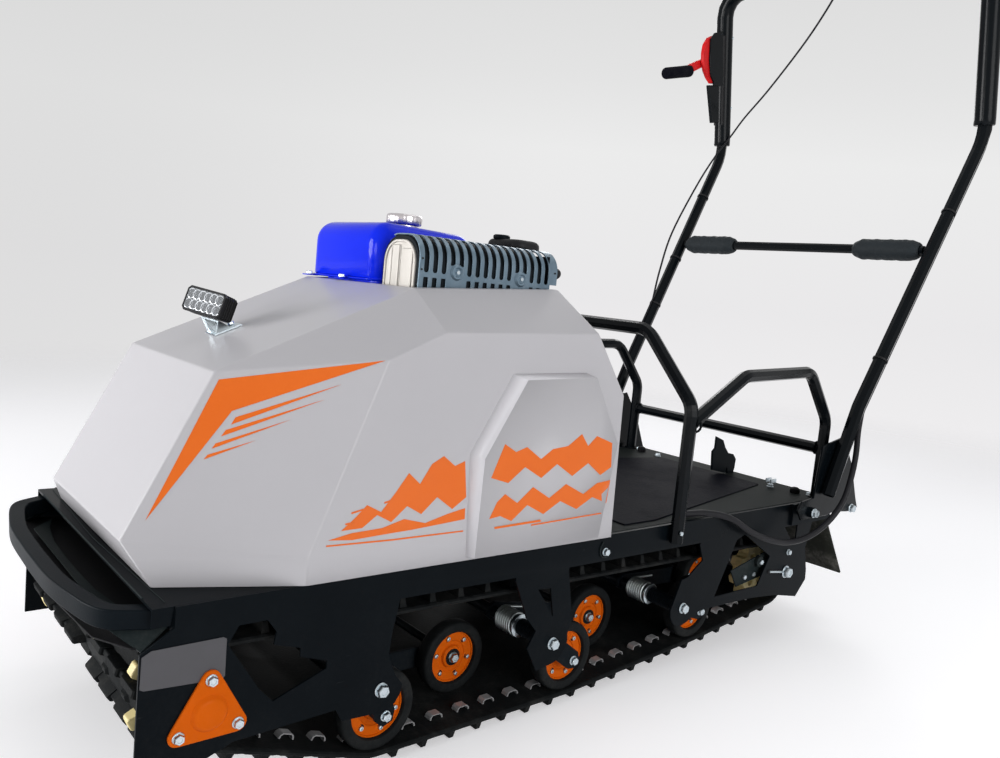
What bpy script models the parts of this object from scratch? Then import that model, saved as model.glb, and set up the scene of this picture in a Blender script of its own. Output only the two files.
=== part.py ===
"""Tracked snow tug: a walk-behind tractor on one wide rubber track.

Run in Blender. It builds every sub-part as its own solid, in metres, with +X to the
tug's left, +Y to its rear and +Z up. Stations are lengths measured rearward from the
front edge of the side plates.
"""

import math

import bmesh
import bpy
from mathutils import Matrix, Quaternion, Vector

# Fits and clearances
SEAT_GAP = 0.0003
TRACK_SEAT = 0.0008
PIN_CLEARANCE = 0.0005
CUT_OVERRUN = 0.004

# Side plates and deck
FRAME_LENGTH = 1.386
FRAME_WIDTH = 0.550
DECK_HEIGHT = 0.293
SIDE_SHEET = 0.003
DECK_SHEET = 0.003
DECK_SKIRT = 0.022
DECK_FRONT = 0.012
DECK_OVERHANG = 0.056
FRONT_PLATE_LENGTH = 0.334
REAR_PLATE_LENGTH = 0.464
BRACKET_WIDTH = 0.130
PIVOT_LOBE_RADIUS = 0.034
MAT_THICKNESS = 0.003
MAT_LENGTH = 0.560
MAT_WIDTH = 0.500
MAT_FRONT = 0.800

# Track
TRACK_SIDE_GAP = 0.022
BELT_THICKNESS = 0.008
LUG_HEIGHT = 0.015
LUG_PITCH = 0.0508
LUG_FOOT = 0.012
LUG_TIP_SHARE = 0.55
LUG_END_GAP = 0.006
BELT_STEP = 0.007

# Wheels that carry the track
FRONT_SHAFT_STATION = 0.082
FRONT_SHAFT_HEIGHT = 0.164
FRONT_SPROCKET_RADIUS = 0.056
REAR_SHAFT_STATION = 1.277
REAR_SHAFT_HEIGHT = 0.139
REAR_SPROCKET_RADIUS = 0.062
SPROCKET_TEETH = 9
SPROCKET_ROOT_SHARE = 0.80
SPROCKET_THICKNESS = 0.024
SPROCKET_EDGE_GAP = 0.045
SPROCKET_HOLES = 6
SPROCKET_HOLE_RADIUS = 0.009
SHAFT_RADIUS = 0.0125
BEARING_FLANGE_SIZE = 0.066
BEARING_FLANGE_THICKNESS = 0.006
BEARING_HUB_RADIUS = 0.021
BEARING_HUB_HEIGHT = 0.009
BEARING_CORNER_RADIUS = 0.012

# Roller suspension
PIVOT_STATIONS = {"front": 0.315, "middle": 0.629, "rear": 0.956}
PIVOT_HEIGHT = 0.130
OUTER_REACH = {"front": 0.020, "middle": 0.067, "rear": 0.075}
INNER_REACH = {"front": 0.212, "middle": 0.208, "rear": 0.206}
REAR_OUTER_RISE = 0.024
ROLLER_RADIUS = 0.058
ROLLER_WIDTH = 0.026
ROLLER_DISC_WIDTH = 0.012
ROLLER_DISC_RADIUS = 0.042
ROLLER_ARM_SPACING = 0.026
ROLLER_ROW_SPACING = 0.082
ROLLER_SIDES = 14
PIVOT_SHAFT_RADIUS = 0.010
AXLE_RADIUS = 0.007
ARM_THICKNESS = 0.006
ARM_RADIUS = 0.016
OUTER_ARM_GAP = 0.014
INNER_ARM_SPACING = 0.022
SPRING_WIRE_RADIUS = 0.0026
SPRING_RADIUS = 0.0165
SPRING_TURNS = 4.5
SPRING_LENGTH = 0.046
SPRING_STEPS_PER_TURN = 6
SPRING_LEG = 0.050

# Bumper
BUMPER_REACH = 0.058
BUMPER_HEIGHT = 0.025
BUMPER_DEPTH = 0.020
BUMPER_TOP = 0.303
BUMPER_ARM_GAP = 0.0125
BUMPER_CORNER_REACH = 0.040
BUMPER_BEND_RADIUS = 0.026

# Hood
HOOD_SHELL = 0.004
HOOD_EDGE_RADIUS = 0.007
HOOD_EDGE_ANGLE = math.radians(8.0)
HOOD_BELT_HEIGHT = 0.030
HOOD_NOSE_HEIGHT = 0.0445
HOOD_BROW_HEIGHT = 0.246
HOOD_BROW_STATION = 0.1085
HOOD_NOSE_STATION = 0.007
HOOD_NOSE_HALF_WIDTH = 0.161
HOOD_BASE_STATION = 0.030
HOOD_BASE_HALF_WIDTH = 0.209
HOOD_CHEEK_STATION = 0.190
HOOD_OVERHANG = 0.002
HOOD_SIDE_FLARE_SHARE = 0.0162
HOOD_SIDE_TAPER_SHARE = 0.0553
HOOD_SHOULDER_FRONT_STATION = 0.293
HOOD_SHOULDER_FRONT_HEIGHT = 0.277
HOOD_SHOULDER_MIDDLE_STATION = 0.379
HOOD_SHOULDER_MIDDLE_HEIGHT = 0.315
HOOD_SHOULDER_REAR_STATION = 0.668
HOOD_SHOULDER_REAR_HEIGHT = 0.325
HOOD_TOP_FRONT_STATION = 0.390
HOOD_TOP_FRONT_HEIGHT = 0.369
HOOD_TOP_FRONT_HALF_WIDTH = 0.165
HOOD_TOP_REAR_STATION = 0.682
HOOD_TOP_REAR_HEIGHT = 0.387
HOOD_TOP_REAR_HALF_WIDTH = 0.152
HOOD_TAIL_STATION = 0.727
HOOD_TAIL_LEAN_STATION = 0.734
HOOD_TAIL_LEAN_HEIGHT = 0.229
HOOD_RIM = 0.010
SCOOP_FRONT = 0.420
SCOOP_LENGTH = 0.290
SCOOP_HEIGHT = 0.262
SCOOP_BOTTOM = 0.006
SCOOP_DEPTH = 0.012
SCOOP_CHAMFER = 0.007
SCOOP_SLOT_WIDTH = 0.018
SCOOP_SLOT_HEIGHT = 0.060

# Engine, tank, muffler and air cleaner
ENGINE_FRONT = 0.405
ENGINE_LENGTH = 0.250
ENGINE_WIDTH = 0.270
ENGINE_HEIGHT = 0.345
TANK_LENGTH = 0.200
TANK_WIDTH = 0.176
TANK_HEIGHT = 0.114
TANK_EDGE_RADIUS = 0.018
TANK_CENTRE = -0.052
CAP_PLACE_SHARE = 0.55
CAP_RADIUS = 0.026
CAP_HEIGHT = 0.014
CAP_NECK_RADIUS = 0.021
GUARD_LENGTH = 0.262
GUARD_WIDTH = 0.100
GUARD_HEIGHT = 0.096
GUARD_SHEET = 0.002
GUARD_BEND_RADIUS = 0.028
GUARD_SIDE_GAP = 0.003
GUARD_SLOTS = 15
GUARD_SLOT_WIDTH = 0.0065
GUARD_SLOT_REACH_SHARE = 0.62
MUFFLER_CLEARANCE = 0.005
CLEANER_LENGTH = 0.084
CLEANER_WIDTH = 0.078
CLEANER_HEIGHT = 0.064
CLEANER_EDGE_RADIUS = 0.012
CLEANER_STEM_RADIUS = 0.022
CLEANER_LIFT = 0.050

# Lamp
LAMP_WIDTH = 0.140
LAMP_HEIGHT = 0.040
LAMP_DEPTH = 0.036
LAMP_STATION = 0.168
LAMP_LIFT = 0.030
LAMP_FIN_COUNT = 7
LAMP_FIN_GAP = 0.003
LAMP_FIN_DEPTH = 0.012
LAMP_BRACKET_SHEET = 0.003
LAMP_BRACKET_WIDTH = 0.030
LAMP_FOOT_LENGTH = 0.040

# Deck hoops
HOOP_TUBE_RADIUS = 0.012
HOOP_STATION = 0.897
HOOP_HEIGHT = 0.626
HOOP_SHOULDER_HEIGHT = 0.505
HOOP_TOP_HALF_WIDTH = 0.171
HOOP_FOOT_DROP = 0.030
HOOP_BEND_RADIUS = 0.045
HOOP_COPE_LENGTH = 0.072
SIDE_HOOP_FRONT_HEIGHT = 0.472
SIDE_HOOP_RISE_STATION = 1.043
SIDE_HOOP_RISE_HEIGHT = 0.557
SIDE_HOOP_TOP_STATION = 1.310
SIDE_HOOP_TOP_HEIGHT = 0.564
SIDE_HOOP_REAR_STATION = 1.398
SIDE_HOOP_REAR_HEIGHT = 0.462
SIDE_HOOP_REAR_GAP = 0.010
REAR_BAR_HEIGHT = 0.400

# Handlebar
HANDLE_TUBE_RADIUS = 0.014
HANDLE_TUBE_WALL = 0.002
HANDLE_PIVOT_STATION = 1.307
HANDLE_PIVOT_HEIGHT = 0.282
HANDLE_PIN_RADIUS = 0.006
HANDLE_PIN_HEAD_RADIUS = 0.011
HANDLE_PIN_HEAD_HEIGHT = 0.006
HANDLE_BOSS_RADIUS = 0.013
HANDLE_PLATE = 0.005
HANDLE_PLATE_HEIGHT = 0.044
HANDLE_BRACKET_LENGTH = 0.150
HANDLE_BRACKET_NOSE = 0.022
HANDLE_SPACING = 0.020
HANDLE_GUSSET_LENGTH = 0.136
HANDLE_GUSSET_RISE = 0.150
HANDLE_FOOT_REACH = 0.032
HANDLE_FOOT_STATION = HANDLE_PIVOT_STATION + HANDLE_FOOT_REACH
HANDLE_FOOT_HEIGHT = 0.318
HANDLE_KNEE_REACH = 0.108
HANDLE_KNEE_STATION = HANDLE_PIVOT_STATION + HANDLE_KNEE_REACH
HANDLE_KNEE_HEIGHT = 0.500
HANDLE_BEND_REACH = 0.445
HANDLE_BEND_STATION = HANDLE_PIVOT_STATION + HANDLE_BEND_REACH
HANDLE_BEND_HEIGHT = 1.110
HANDLE_UPPER_RISE = 0.416
HANDLE_TOP_REACH = 0.367
HANDLE_TOP_STATION = HANDLE_PIVOT_STATION + HANDLE_TOP_REACH
HANDLE_TOP_HEIGHT = HANDLE_BEND_HEIGHT + HANDLE_UPPER_RISE
HANDLE_BEND_OFFSET = 0.350
HANDLE_TOP_OFFSET = 0.343
HANDLE_BEND_RADIUS = 0.110
HANDLE_CORNER_RADIUS = 0.060
CROSSBAR_HEIGHT = 0.842
CROSSBAR_RADIUS = 0.011
GRIP_RADIUS = 0.024
GRIP_LENGTH = 0.150
GRIP_EDGE_RADIUS = 0.008
CLAMP_RADIUS = 0.024
CLAMP_LENGTH = 0.060
CONTROL_PLACE_SHARE = 0.4712
CONTROL_RISE = 0.044
CONTROL_LENGTH = 0.140
CONTROL_WIDTH = 0.030
CONTROL_DEPTH = 0.046
CONTROL_PLATE_LENGTH = 0.235
CONTROL_PLATE = 0.006
CONTROL_EDGE_RADIUS = 0.010
LEVER_THICKNESS = 0.008
LEVER_WIDTH = 0.020
LEVER_LENGTH = 0.075
LEVER_GRIP_SEAT = 0.018
LEVER_SLOPE = math.radians(33.0)
LEVER_GRIP_SLOPE = math.radians(10.0)
LEVER_GRIP_RADIUS = 0.0135
LEVER_GRIP_LENGTH = 0.095

# Tail
FLAP_THICKNESS = 0.005
FLAP_SIDE_GAP = 0.012
FLAP_DROP = 0.178
FLAP_SWEEP = 0.075
HITCH_STATION = 1.400
HITCH_OFFSET = 0.030
HITCH_THICKNESS = 0.008
HITCH_HEIGHT = 0.085
HITCH_LENGTH = 0.060

# Cables
BUNDLE_RADIUS = 0.006
THROTTLE_CABLE_RADIUS = 0.0025

# The bundle's route from its lower end: offset from the side plate's outer face, station and height
BUNDLE_ROUTE = (
    (-0.019, 0.952, 0.3003), (-0.005, 1.000, 0.3012), (0.013, 1.052, 0.291), (0.024, 1.112, 0.260),
    (0.031, 1.172, 0.239), (0.037, 1.232, 0.230), (0.047, 1.287, 0.240), (0.060, 1.325, 0.268),
    (0.069, 1.356, 0.308), (0.068, 1.378, 0.352), (0.060, 1.402, 0.400), (0.050, 1.418, 0.448),
)

# The throttle cable's route from its upper end: offset, station and height
THROTTLE_ROUTE = (
    (-0.020, 1.680, 1.460), (-0.100, 1.712, 1.380), (-0.220, 1.752, 1.280), (-0.305, 1.772, 1.215),
    (-0.328, 1.745, 1.160), (-0.333, 1.700, 1.100), (-0.338, 1.641, 1.009), (-0.338, 1.557, 0.868),
    (-0.334, 1.519, 0.763),
)
THROTTLE_TIE_SHARE = 0.30

# Tessellation
BEND_STEPS = 4
TUBE_RESOLUTION = 2
ROUND_SIDES = 16

# Outline tables, as shares of the sizes named where they are used
FRONT_PLATE_SHARES = (
    (1.000, 0.861), (0.976, 0.720), (0.967, 0.600), (1.005, 0.500),
)
FRONT_PLATE_FOOT_SHARES = (
    (0.775, 0.345), (0.745, 0.405), (0.335, 0.392), (0.180, 0.324), (0.0, 0.324),
)
FRONT_WINDOW_SHARES = (
    (0.296, 0.809), (0.332, 0.880), (0.437, 0.880), (0.476, 0.822), (0.467, 0.768),
    (0.575, 0.730), (0.575, 0.690), (0.689, 0.645), (0.689, 0.610), (0.479, 0.522), (0.425, 0.587),
)
BRACKET_FRONT_SHARES = (
    (-0.692, 0.853), (-0.692, 0.836), (-0.462, 0.621), (-0.292, 0.536), (-0.408, 0.450), (-0.223, 0.311),
)
BRACKET_REAR_SHARES = (
    (0.308, 0.549), (0.162, 0.829), (0.162, 0.853),
)
BRACKET_WINDOW_SHARES = (
    (-0.323, 0.765), (-0.115, 0.758), (-0.031, 0.594),
)
REAR_PLATE_FRONT_SHARES = (
    (-0.855, 0.846), (-0.861, 0.836), (-0.830, 0.727), (-0.914, 0.638), (-0.951, 0.628),
)
REAR_PLATE_REAR_SHARES = (
    (-0.808, 0.396), (-0.455, 0.382), (-0.259, 0.352), (-0.086, 0.297), (-0.017, 0.410),
    (-0.022, 0.485), (-0.056, 0.652),
)
REAR_WINDOW_SHARES = (
    (-0.610, 0.816), (-0.556, 0.846), (-0.343, 0.652), (-0.414, 0.457), (-0.722, 0.461),
)
REAR_SLOT_SHARES = (
    (-0.252, 0.840), (-0.147, 0.840), (-0.147, 0.741), (-0.190, 0.741),
)
SCOOP_SHARES = (
    (0.0, 0.0), (0.945, 0.0), (0.952, 0.160), (1.0, 0.575), (0.800, 0.965), (0.700, 1.0),
    (0.210, 0.985), (-0.004, 0.570),
)
GUSSET_SHARES = (
    (-0.16, -0.09), (0.98, -0.09), (1.0, 0.02), (0.86, 0.62), (0.74, 1.0), (0.56, 1.0),
    (0.30, 0.40), (-0.16, 0.12),
)
HITCH_SHARES = (
    (0.0, 0.0), (1.0, 0.0), (1.0, 0.12), (0.62, 0.30), (0.62, 0.62), (0.95, 0.80), (0.80, 1.0),
    (0.42, 0.88), (0.30, 0.55), (0.08, 0.42),
)

# Materials: colour, roughness, metallic value
FINISHES = {
    "black_paint": ((0.022, 0.026, 0.030), 0.42, 0.0),
    "mat_rubber": ((0.030, 0.032, 0.035), 0.85, 0.0),
    "track_rubber": ((0.025, 0.026, 0.027), 0.80, 0.0),
    "hood_plastic": ((0.50, 0.49, 0.51), 0.35, 0.0),
    "orange_paint": ((0.82, 0.15, 0.01), 0.40, 0.0),
    "zinc": ((0.60, 0.61, 0.60), 0.35, 1.0),
    "cream_plastic": ((0.80, 0.68, 0.30), 0.50, 0.0),
    "blue_paint": ((0.008, 0.015, 0.75), 0.15, 0.0),
    "guard_paint": ((0.11, 0.20, 0.25), 0.40, 0.3),
    "muffler_steel": ((0.72, 0.70, 0.63), 0.45, 0.4),
    "engine_metal": ((0.12, 0.12, 0.13), 0.55, 0.6),
    "black_plastic": ((0.02, 0.02, 0.02), 0.50, 0.0),
    "foam": ((0.018, 0.018, 0.019), 0.95, 0.0),
    "red_plastic": ((0.60, 0.02, 0.02), 0.40, 0.0),
}

part_collection = None
cutter_collection = None
tug_origin = None


def clear_scene():
    """Remove whatever the scene holds."""
    for scene_object in list(bpy.data.objects):
        bpy.data.objects.remove(scene_object, do_unlink=True)


def make_finish(name):
    """Return the Principled material of a named finish."""
    existing = bpy.data.materials.get(name)
    if existing:
        return existing
    colour, roughness, metallic = FINISHES[name]
    material = bpy.data.materials.new(name)
    material.use_nodes = True
    shader = material.node_tree.nodes["Principled BSDF"]
    shader.inputs["Base Color"].default_value = (*colour, 1.0)
    shader.inputs["Roughness"].default_value = roughness
    shader.inputs["Metallic"].default_value = metallic
    material.diffuse_color = (*colour, 1.0)
    return material


def start_collections():
    """Make the part's collection, the cutters' collection and the origin empty."""
    global part_collection, cutter_collection, tug_origin
    part_collection = bpy.data.collections.new("snow_tug")
    cutter_collection = bpy.data.collections.new("snow_tug_cutters")
    for collection in (part_collection, cutter_collection):
        bpy.context.scene.collection.children.link(collection)
    tug_origin = bpy.data.objects.new("tug_origin", None)
    part_collection.objects.link(tug_origin)


def adopt(node, finish, parent=None):
    """Give an object its finish, its collection and its parent."""
    node.data.materials.clear()
    node.data.materials.append(make_finish(finish))
    part_collection.objects.link(node)
    node.parent = parent or tug_origin
    return node


def smooth(node, angle=math.radians(35.0)):
    """Shade a mesh smooth, with sharp edges past an angle."""
    node.data.shade_smooth()
    node.data.set_sharp_from_angle(angle=angle)
    return node


def mesh_node(name, shape, finish, location=(0.0, 0.0, 0.0), parent=None):
    """Make an object of a bmesh."""
    bmesh.ops.recalc_face_normals(shape, faces=shape.faces)
    mesh = bpy.data.meshes.new(name)
    shape.to_mesh(mesh)
    shape.free()
    node = bpy.data.objects.new(name, mesh)
    node.location = location
    return adopt(node, finish, parent)


def box_shape(size):
    """A box of the given size about its own centre."""
    shape = bmesh.new()
    bmesh.ops.create_cube(shape, size=1.0, matrix=Matrix.Diagonal((*size, 1.0)))
    return shape


def box(name, size, centre, finish, parent=None):
    """A box node."""
    return mesh_node(name, box_shape(size), finish, centre, parent)


def rod_shape(radius, length, sides=ROUND_SIDES):
    """A cylinder along X about its own centre."""
    shape = bmesh.new()
    turn = Matrix.Rotation(math.pi / 2, 4, "Y")
    bmesh.ops.create_cone(
        shape, cap_ends=True, segments=sides, radius1=radius, radius2=radius, depth=length, matrix=turn)
    return shape


def rod(name, radius, start, end, station, height, finish, sides=ROUND_SIDES, parent=None):
    """A cylinder node along X between two offsets."""
    centre = ((start + end) / 2, station, height)
    return smooth(mesh_node(name, rod_shape(radius, abs(end - start), sides), finish, centre, parent))


def scaled(shares, size, origin=(0.0, 0.0)):
    """Turn a table of shares into points of a given size, from an origin."""
    return [(origin[0] + along * size[0], origin[1] + up * size[1]) for along, up in shares]


def arc_points(centre, radius, start, end, steps):
    """Points of an arc, from one angle to another."""
    angles = [start + (end - start) * step / steps for step in range(steps + 1)]
    return [(centre[0] + radius * math.cos(a), centre[1] + radius * math.sin(a)) for a in angles]


def curve_to_mesh(node, flat_caps=False):
    """Turn a curve object into a welded mesh object of the same name, finish and parent."""
    bpy.context.view_layer.update()
    evaluated = node.evaluated_get(bpy.context.evaluated_depsgraph_get())
    mesh = bpy.data.meshes.new_from_object(evaluated)
    shape = bmesh.new()
    shape.from_mesh(mesh)
    bmesh.ops.remove_doubles(shape, verts=shape.verts, dist=0.0001)
    if flat_caps:
        bmesh.ops.dissolve_limit(
            shape, angle_limit=math.radians(0.1), verts=shape.verts, edges=shape.edges)
    bmesh.ops.recalc_face_normals(shape, faces=shape.faces)
    shape.to_mesh(mesh)
    shape.free()
    name = node.name
    matrix = node.matrix_world.copy()
    finish = node.data.materials[0].name
    parent = node.parent
    bpy.data.objects.remove(node, do_unlink=True)
    mesh.name = name
    solid = bpy.data.objects.new(name, mesh)
    adopt(solid, finish, parent)
    solid.matrix_world = matrix
    return solid


def plate(name, outline, thickness, offset, finish, parent=None):
    """A flat outline in the station-height plane, extruded along X from its inner face."""
    curve = bpy.data.curves.new(name, "CURVE")
    curve.dimensions = "2D"
    curve.fill_mode = "BOTH"
    curve.extrude = thickness / 2
    spline = curve.splines.new("POLY")
    spline.points.add(len(outline[1:]))
    for point, (along, up) in zip(spline.points, outline):
        point.co = (along, up, 0.0, 1.0)
    spline.use_cyclic_u = True
    node = bpy.data.objects.new(name, curve)
    node.rotation_euler = (math.pi / 2, 0.0, math.pi / 2)
    node.location = (offset + thickness / 2, 0.0, 0.0)
    adopt(node, finish, parent)
    return curve_to_mesh(node, True)


def bent_path(corners, bend_radii, steps=BEND_STEPS):
    """A tube's centre line through its corners, each inner corner rounded to its bend radius."""
    points = [Vector(corners[0])]
    for before, corner, after, bend_radius in zip(corners, corners[1:], corners[2:], bend_radii):
        corner = Vector(corner)
        incoming = (Vector(before) - corner).normalized()
        outgoing = (Vector(after) - corner).normalized()
        half_angle = incoming.angle(outgoing) / 2
        reach = bend_radius / math.tan(half_angle)
        centre = corner + (incoming + outgoing).normalized() * (bend_radius / math.sin(half_angle))
        start = corner + incoming * reach - centre
        end = corner + outgoing * reach - centre
        turn = start.rotation_difference(end)
        for step in range(steps + 1):
            points.append(centre + Quaternion().slerp(turn, step / steps) @ start)
    points.append(Vector(corners[-1]))
    return points


def tube(name, points, radius, finish, parent=None, resolution=TUBE_RESOLUTION):
    """A round tube along a path, with filled caps."""
    curve = bpy.data.curves.new(name, "CURVE")
    curve.dimensions = "3D"
    curve.bevel_depth = radius
    curve.bevel_resolution = resolution
    curve.use_fill_caps = True
    spline = curve.splines.new("POLY")
    spline.points.add(len(points[1:]))
    for point, place in zip(spline.points, points):
        point.co = (*place, 1.0)
    node = bpy.data.objects.new(name, curve)
    return adopt(node, finish, parent)


def as_cutter(node):
    """Hide a solid that only cuts or joins another."""
    part_collection.objects.unlink(node)
    cutter_collection.objects.link(node)
    node.hide_render = True
    node.display_type = "WIRE"
    return node


def combine(target, other, operation):
    """Cut one solid from another, or join it on, and keep the result on the target."""
    as_cutter(other)
    modifier = target.modifiers.new(other.name, "BOOLEAN")
    modifier.operation = operation
    modifier.solver = "EXACT"
    modifier.object = other
    return target


def bevel(node, width, segments=2, angle=math.radians(30.0)):
    """Round a node's edges."""
    modifier = node.modifiers.new("round_edges", "BEVEL")
    modifier.width = width
    modifier.segments = segments
    modifier.limit_method = "ANGLE"
    modifier.angle_limit = angle
    return node


def mirrored(sides=(("left", 1.0), ("right", -1.0))):
    """The names and signs of the tug's two sides."""
    return sides


# Side plates, deck and mat

def plate_inner_face():
    """Offset of a side plate's inner face."""
    return FRAME_WIDTH / 2 - SIDE_SHEET


def pivot_centre(axle):
    """Station and height of a suspension pivot."""
    return PIVOT_STATIONS[axle], PIVOT_HEIGHT


def side_plate_outline():
    """The laser-cut side plate: front plate, middle bracket and rear plate under one beam."""
    front = scaled(FRONT_PLATE_SHARES, (FRONT_PLATE_LENGTH, DECK_HEIGHT))
    front_lobe = arc_points(pivot_centre("front"), PIVOT_LOBE_RADIUS, 0.0, -math.pi * 0.62, 5)
    foot = scaled(FRONT_PLATE_FOOT_SHARES, (FRONT_PLATE_LENGTH, DECK_HEIGHT))
    middle = (PIVOT_STATIONS["middle"], 0.0)
    bracket_front = scaled(BRACKET_FRONT_SHARES, (BRACKET_WIDTH, DECK_HEIGHT), middle)
    bracket_lobe = arc_points(
        pivot_centre("middle"), PIVOT_LOBE_RADIUS, -math.pi * 0.45, math.pi * 0.10, 5)
    bracket_rear = scaled(BRACKET_REAR_SHARES, (BRACKET_WIDTH, DECK_HEIGHT), middle)
    tail = (FRAME_LENGTH, 0.0)
    rear_front = scaled(REAR_PLATE_FRONT_SHARES, (REAR_PLATE_LENGTH, DECK_HEIGHT), tail)
    rear_lobe = arc_points(pivot_centre("rear"), PIVOT_LOBE_RADIUS, -math.pi, -math.pi * 0.35, 6)
    rear_rear = scaled(REAR_PLATE_REAR_SHARES, (REAR_PLATE_LENGTH, DECK_HEIGHT), tail)
    outline = [(0.0, DECK_HEIGHT)]
    outline += foot[::-1]
    outline += front_lobe[::-1]
    outline += front[::-1]
    outline += bracket_front
    outline += bracket_lobe
    outline += bracket_rear
    outline += rear_front
    outline += rear_lobe
    outline += rear_rear
    outline += [(FRAME_LENGTH, DECK_HEIGHT)]
    return outline


def make_side_plates():
    """Two side plates with their windows."""
    middle = (PIVOT_STATIONS["middle"], 0.0)
    tail = (FRAME_LENGTH, 0.0)
    windows = {
        "front_window": scaled(FRONT_WINDOW_SHARES, (FRONT_PLATE_LENGTH, DECK_HEIGHT)),
        "bracket_window": scaled(BRACKET_WINDOW_SHARES, (BRACKET_WIDTH, DECK_HEIGHT), middle),
        "rear_window": scaled(REAR_WINDOW_SHARES, (REAR_PLATE_LENGTH, DECK_HEIGHT), tail),
        "rear_slot": scaled(REAR_SLOT_SHARES, (REAR_PLATE_LENGTH, DECK_HEIGHT), tail),
    }
    for side, sign in mirrored():
        offset = plate_inner_face() if sign > 0 else -FRAME_WIDTH / 2
        side_plate = plate(f"side_plate_{side}", side_plate_outline(), SIDE_SHEET, offset, "black_paint")
        for name, outline in windows.items():
            cutter = plate(
                f"{name}_{side}", outline, SIDE_SHEET + 2 * CUT_OVERRUN, offset - CUT_OVERRUN, "black_paint")
            combine(side_plate, cutter, "DIFFERENCE")


def deck_rear():
    """Station of the deck's rear edge."""
    return FRAME_LENGTH + DECK_OVERHANG


def deck_half_width():
    """Half the deck's width, between the side plates."""
    return plate_inner_face() - SEAT_GAP


def make_deck():
    """The folded deck sheet with its skirts, and the rubber mat behind the hood."""
    half = deck_half_width()
    bottom = DECK_HEIGHT - DECK_SKIRT
    profile = [
        (-half, bottom), (-half, DECK_HEIGHT), (half, DECK_HEIGHT), (half, bottom),
        (half - DECK_SHEET, bottom), (half - DECK_SHEET, DECK_HEIGHT - DECK_SHEET),
        (DECK_SHEET - half, DECK_HEIGHT - DECK_SHEET), (DECK_SHEET - half, bottom),
    ]
    shape = bmesh.new()
    edge = [shape.verts.new((across, DECK_FRONT, up)) for across, up in profile]
    section = shape.faces.new(edge)
    swept = bmesh.ops.extrude_face_region(shape, geom=[section])
    moved = [element for element in swept["geom"] if isinstance(element, bmesh.types.BMVert)]
    bmesh.ops.translate(shape, verts=moved, vec=(0.0, deck_rear() - DECK_FRONT, 0.0))
    mesh_node("deck", shape, "black_paint")
    centre = (0.0, MAT_FRONT + MAT_LENGTH / 2, DECK_HEIGHT + SEAT_GAP + MAT_THICKNESS / 2)
    box("deck_mat", (MAT_WIDTH, MAT_LENGTH, MAT_THICKNESS), centre, "mat_rubber")


# Track

def track_half_width():
    """Half the track's width, between the side plates."""
    return plate_inner_face() - TRACK_SIDE_GAP


def outer_centres():
    """Station and height of each outer roller."""
    low = LUG_HEIGHT + BELT_THICKNESS + TRACK_SEAT + ROLLER_RADIUS
    rises = {"front": 0.0, "middle": 0.0, "rear": REAR_OUTER_RISE}
    return {axle: (PIVOT_STATIONS[axle] + OUTER_REACH[axle], low + rises[axle]) for axle in PIVOT_STATIONS}


def inner_centres():
    """Station and height of each inner roller's axle, where the roller rides on the lower run."""
    centres = {}
    for axle, pivot in PIVOT_STATIONS.items():
        station = pivot + INNER_REACH[axle]
        for kind, start, end, outward, _, _ in track_runs():
            if kind == "line" and start.x <= station <= end.x:
                share = (station - start.x) / (end.x - start.x)
                height = start.y + (end.y - start.y) * share
                height += (ROLLER_RADIUS + TRACK_SEAT) / abs(outward.y)
                centres[axle] = (station, height)
    return centres


def track_wheels():
    """The circles that the belt's inner face wraps, in order along the ground and back."""
    outer = outer_centres()
    wheels = [((FRONT_SHAFT_STATION, FRONT_SHAFT_HEIGHT), FRONT_SPROCKET_RADIUS + TRACK_SEAT)]
    wheels += [(outer[axle], ROLLER_RADIUS + TRACK_SEAT) for axle in ("front", "middle", "rear")]
    wheels += [((REAR_SHAFT_STATION, REAR_SHAFT_HEIGHT), REAR_SPROCKET_RADIUS + TRACK_SEAT)]
    return wheels


def track_runs():
    """The loop's straight runs and arcs, each with its length."""
    wheels = [(Vector(centre), radius) for centre, radius in track_wheels()]
    normals = []
    for (here, radius), (there, next_radius) in zip(wheels, wheels[1:] + wheels[:1]):
        along = there - here
        distance = along.length
        along.normalize()
        lean = (radius - next_radius) / distance
        outward = Vector((along.y, -along.x)) * math.sqrt(1.0 - lean * lean) + along * lean
        normals.append(outward)
    runs = []
    for index, (centre, radius) in enumerate(wheels):
        start = math.atan2(normals[index - 1].y, normals[index - 1].x)
        end = math.atan2(normals[index].y, normals[index].x)
        sweep = (end - start) % (2 * math.pi)
        runs.append(("arc", centre, radius, start, sweep, radius * sweep))
        following, next_radius = wheels[(index + 1) % len(wheels)]
        leave = centre + normals[index] * radius
        arrive = following + normals[index] * next_radius
        runs.append(("line", leave, arrive, normals[index], 0.0, (arrive - leave).length))
    return runs


def track_point(runs, distance):
    """Place and outward direction at a distance round the loop."""
    for run in runs:
        length = run[5]
        if distance <= length:
            break
        distance -= length
    share = min(distance / length, 1.0)
    if run[0] == "arc":
        angle = run[3] + run[4] * share
        outward = Vector((math.cos(angle), math.sin(angle)))
        return run[1] + outward * run[2], outward
    return run[1].lerp(run[2], share), run[3]


def on_an_arc(runs, distance):
    """Whether the loop bends at a distance."""
    for run in runs:
        if distance <= run[5]:
            return run[0] == "arc"
        distance -= run[5]
    return False


def track_stations(runs, total, half_pitch):
    """Distances round the loop where the belt has a cross-section, with the lug that starts there."""
    stations = []
    for row in range(round(total / half_pitch)):
        middle = row * half_pitch
        stations.append((middle - LUG_FOOT / 2, row))
        first = middle + LUG_FOOT / 2
        last = middle + half_pitch - LUG_FOOT / 2
        bends = on_an_arc(runs, first % total) or on_an_arc(runs, last % total)
        steps = math.ceil((last - first) / BELT_STEP) if bends else 1
        for step in range(steps):
            stations.append((first + (last - first) * step / steps, None))
    return stations


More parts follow.
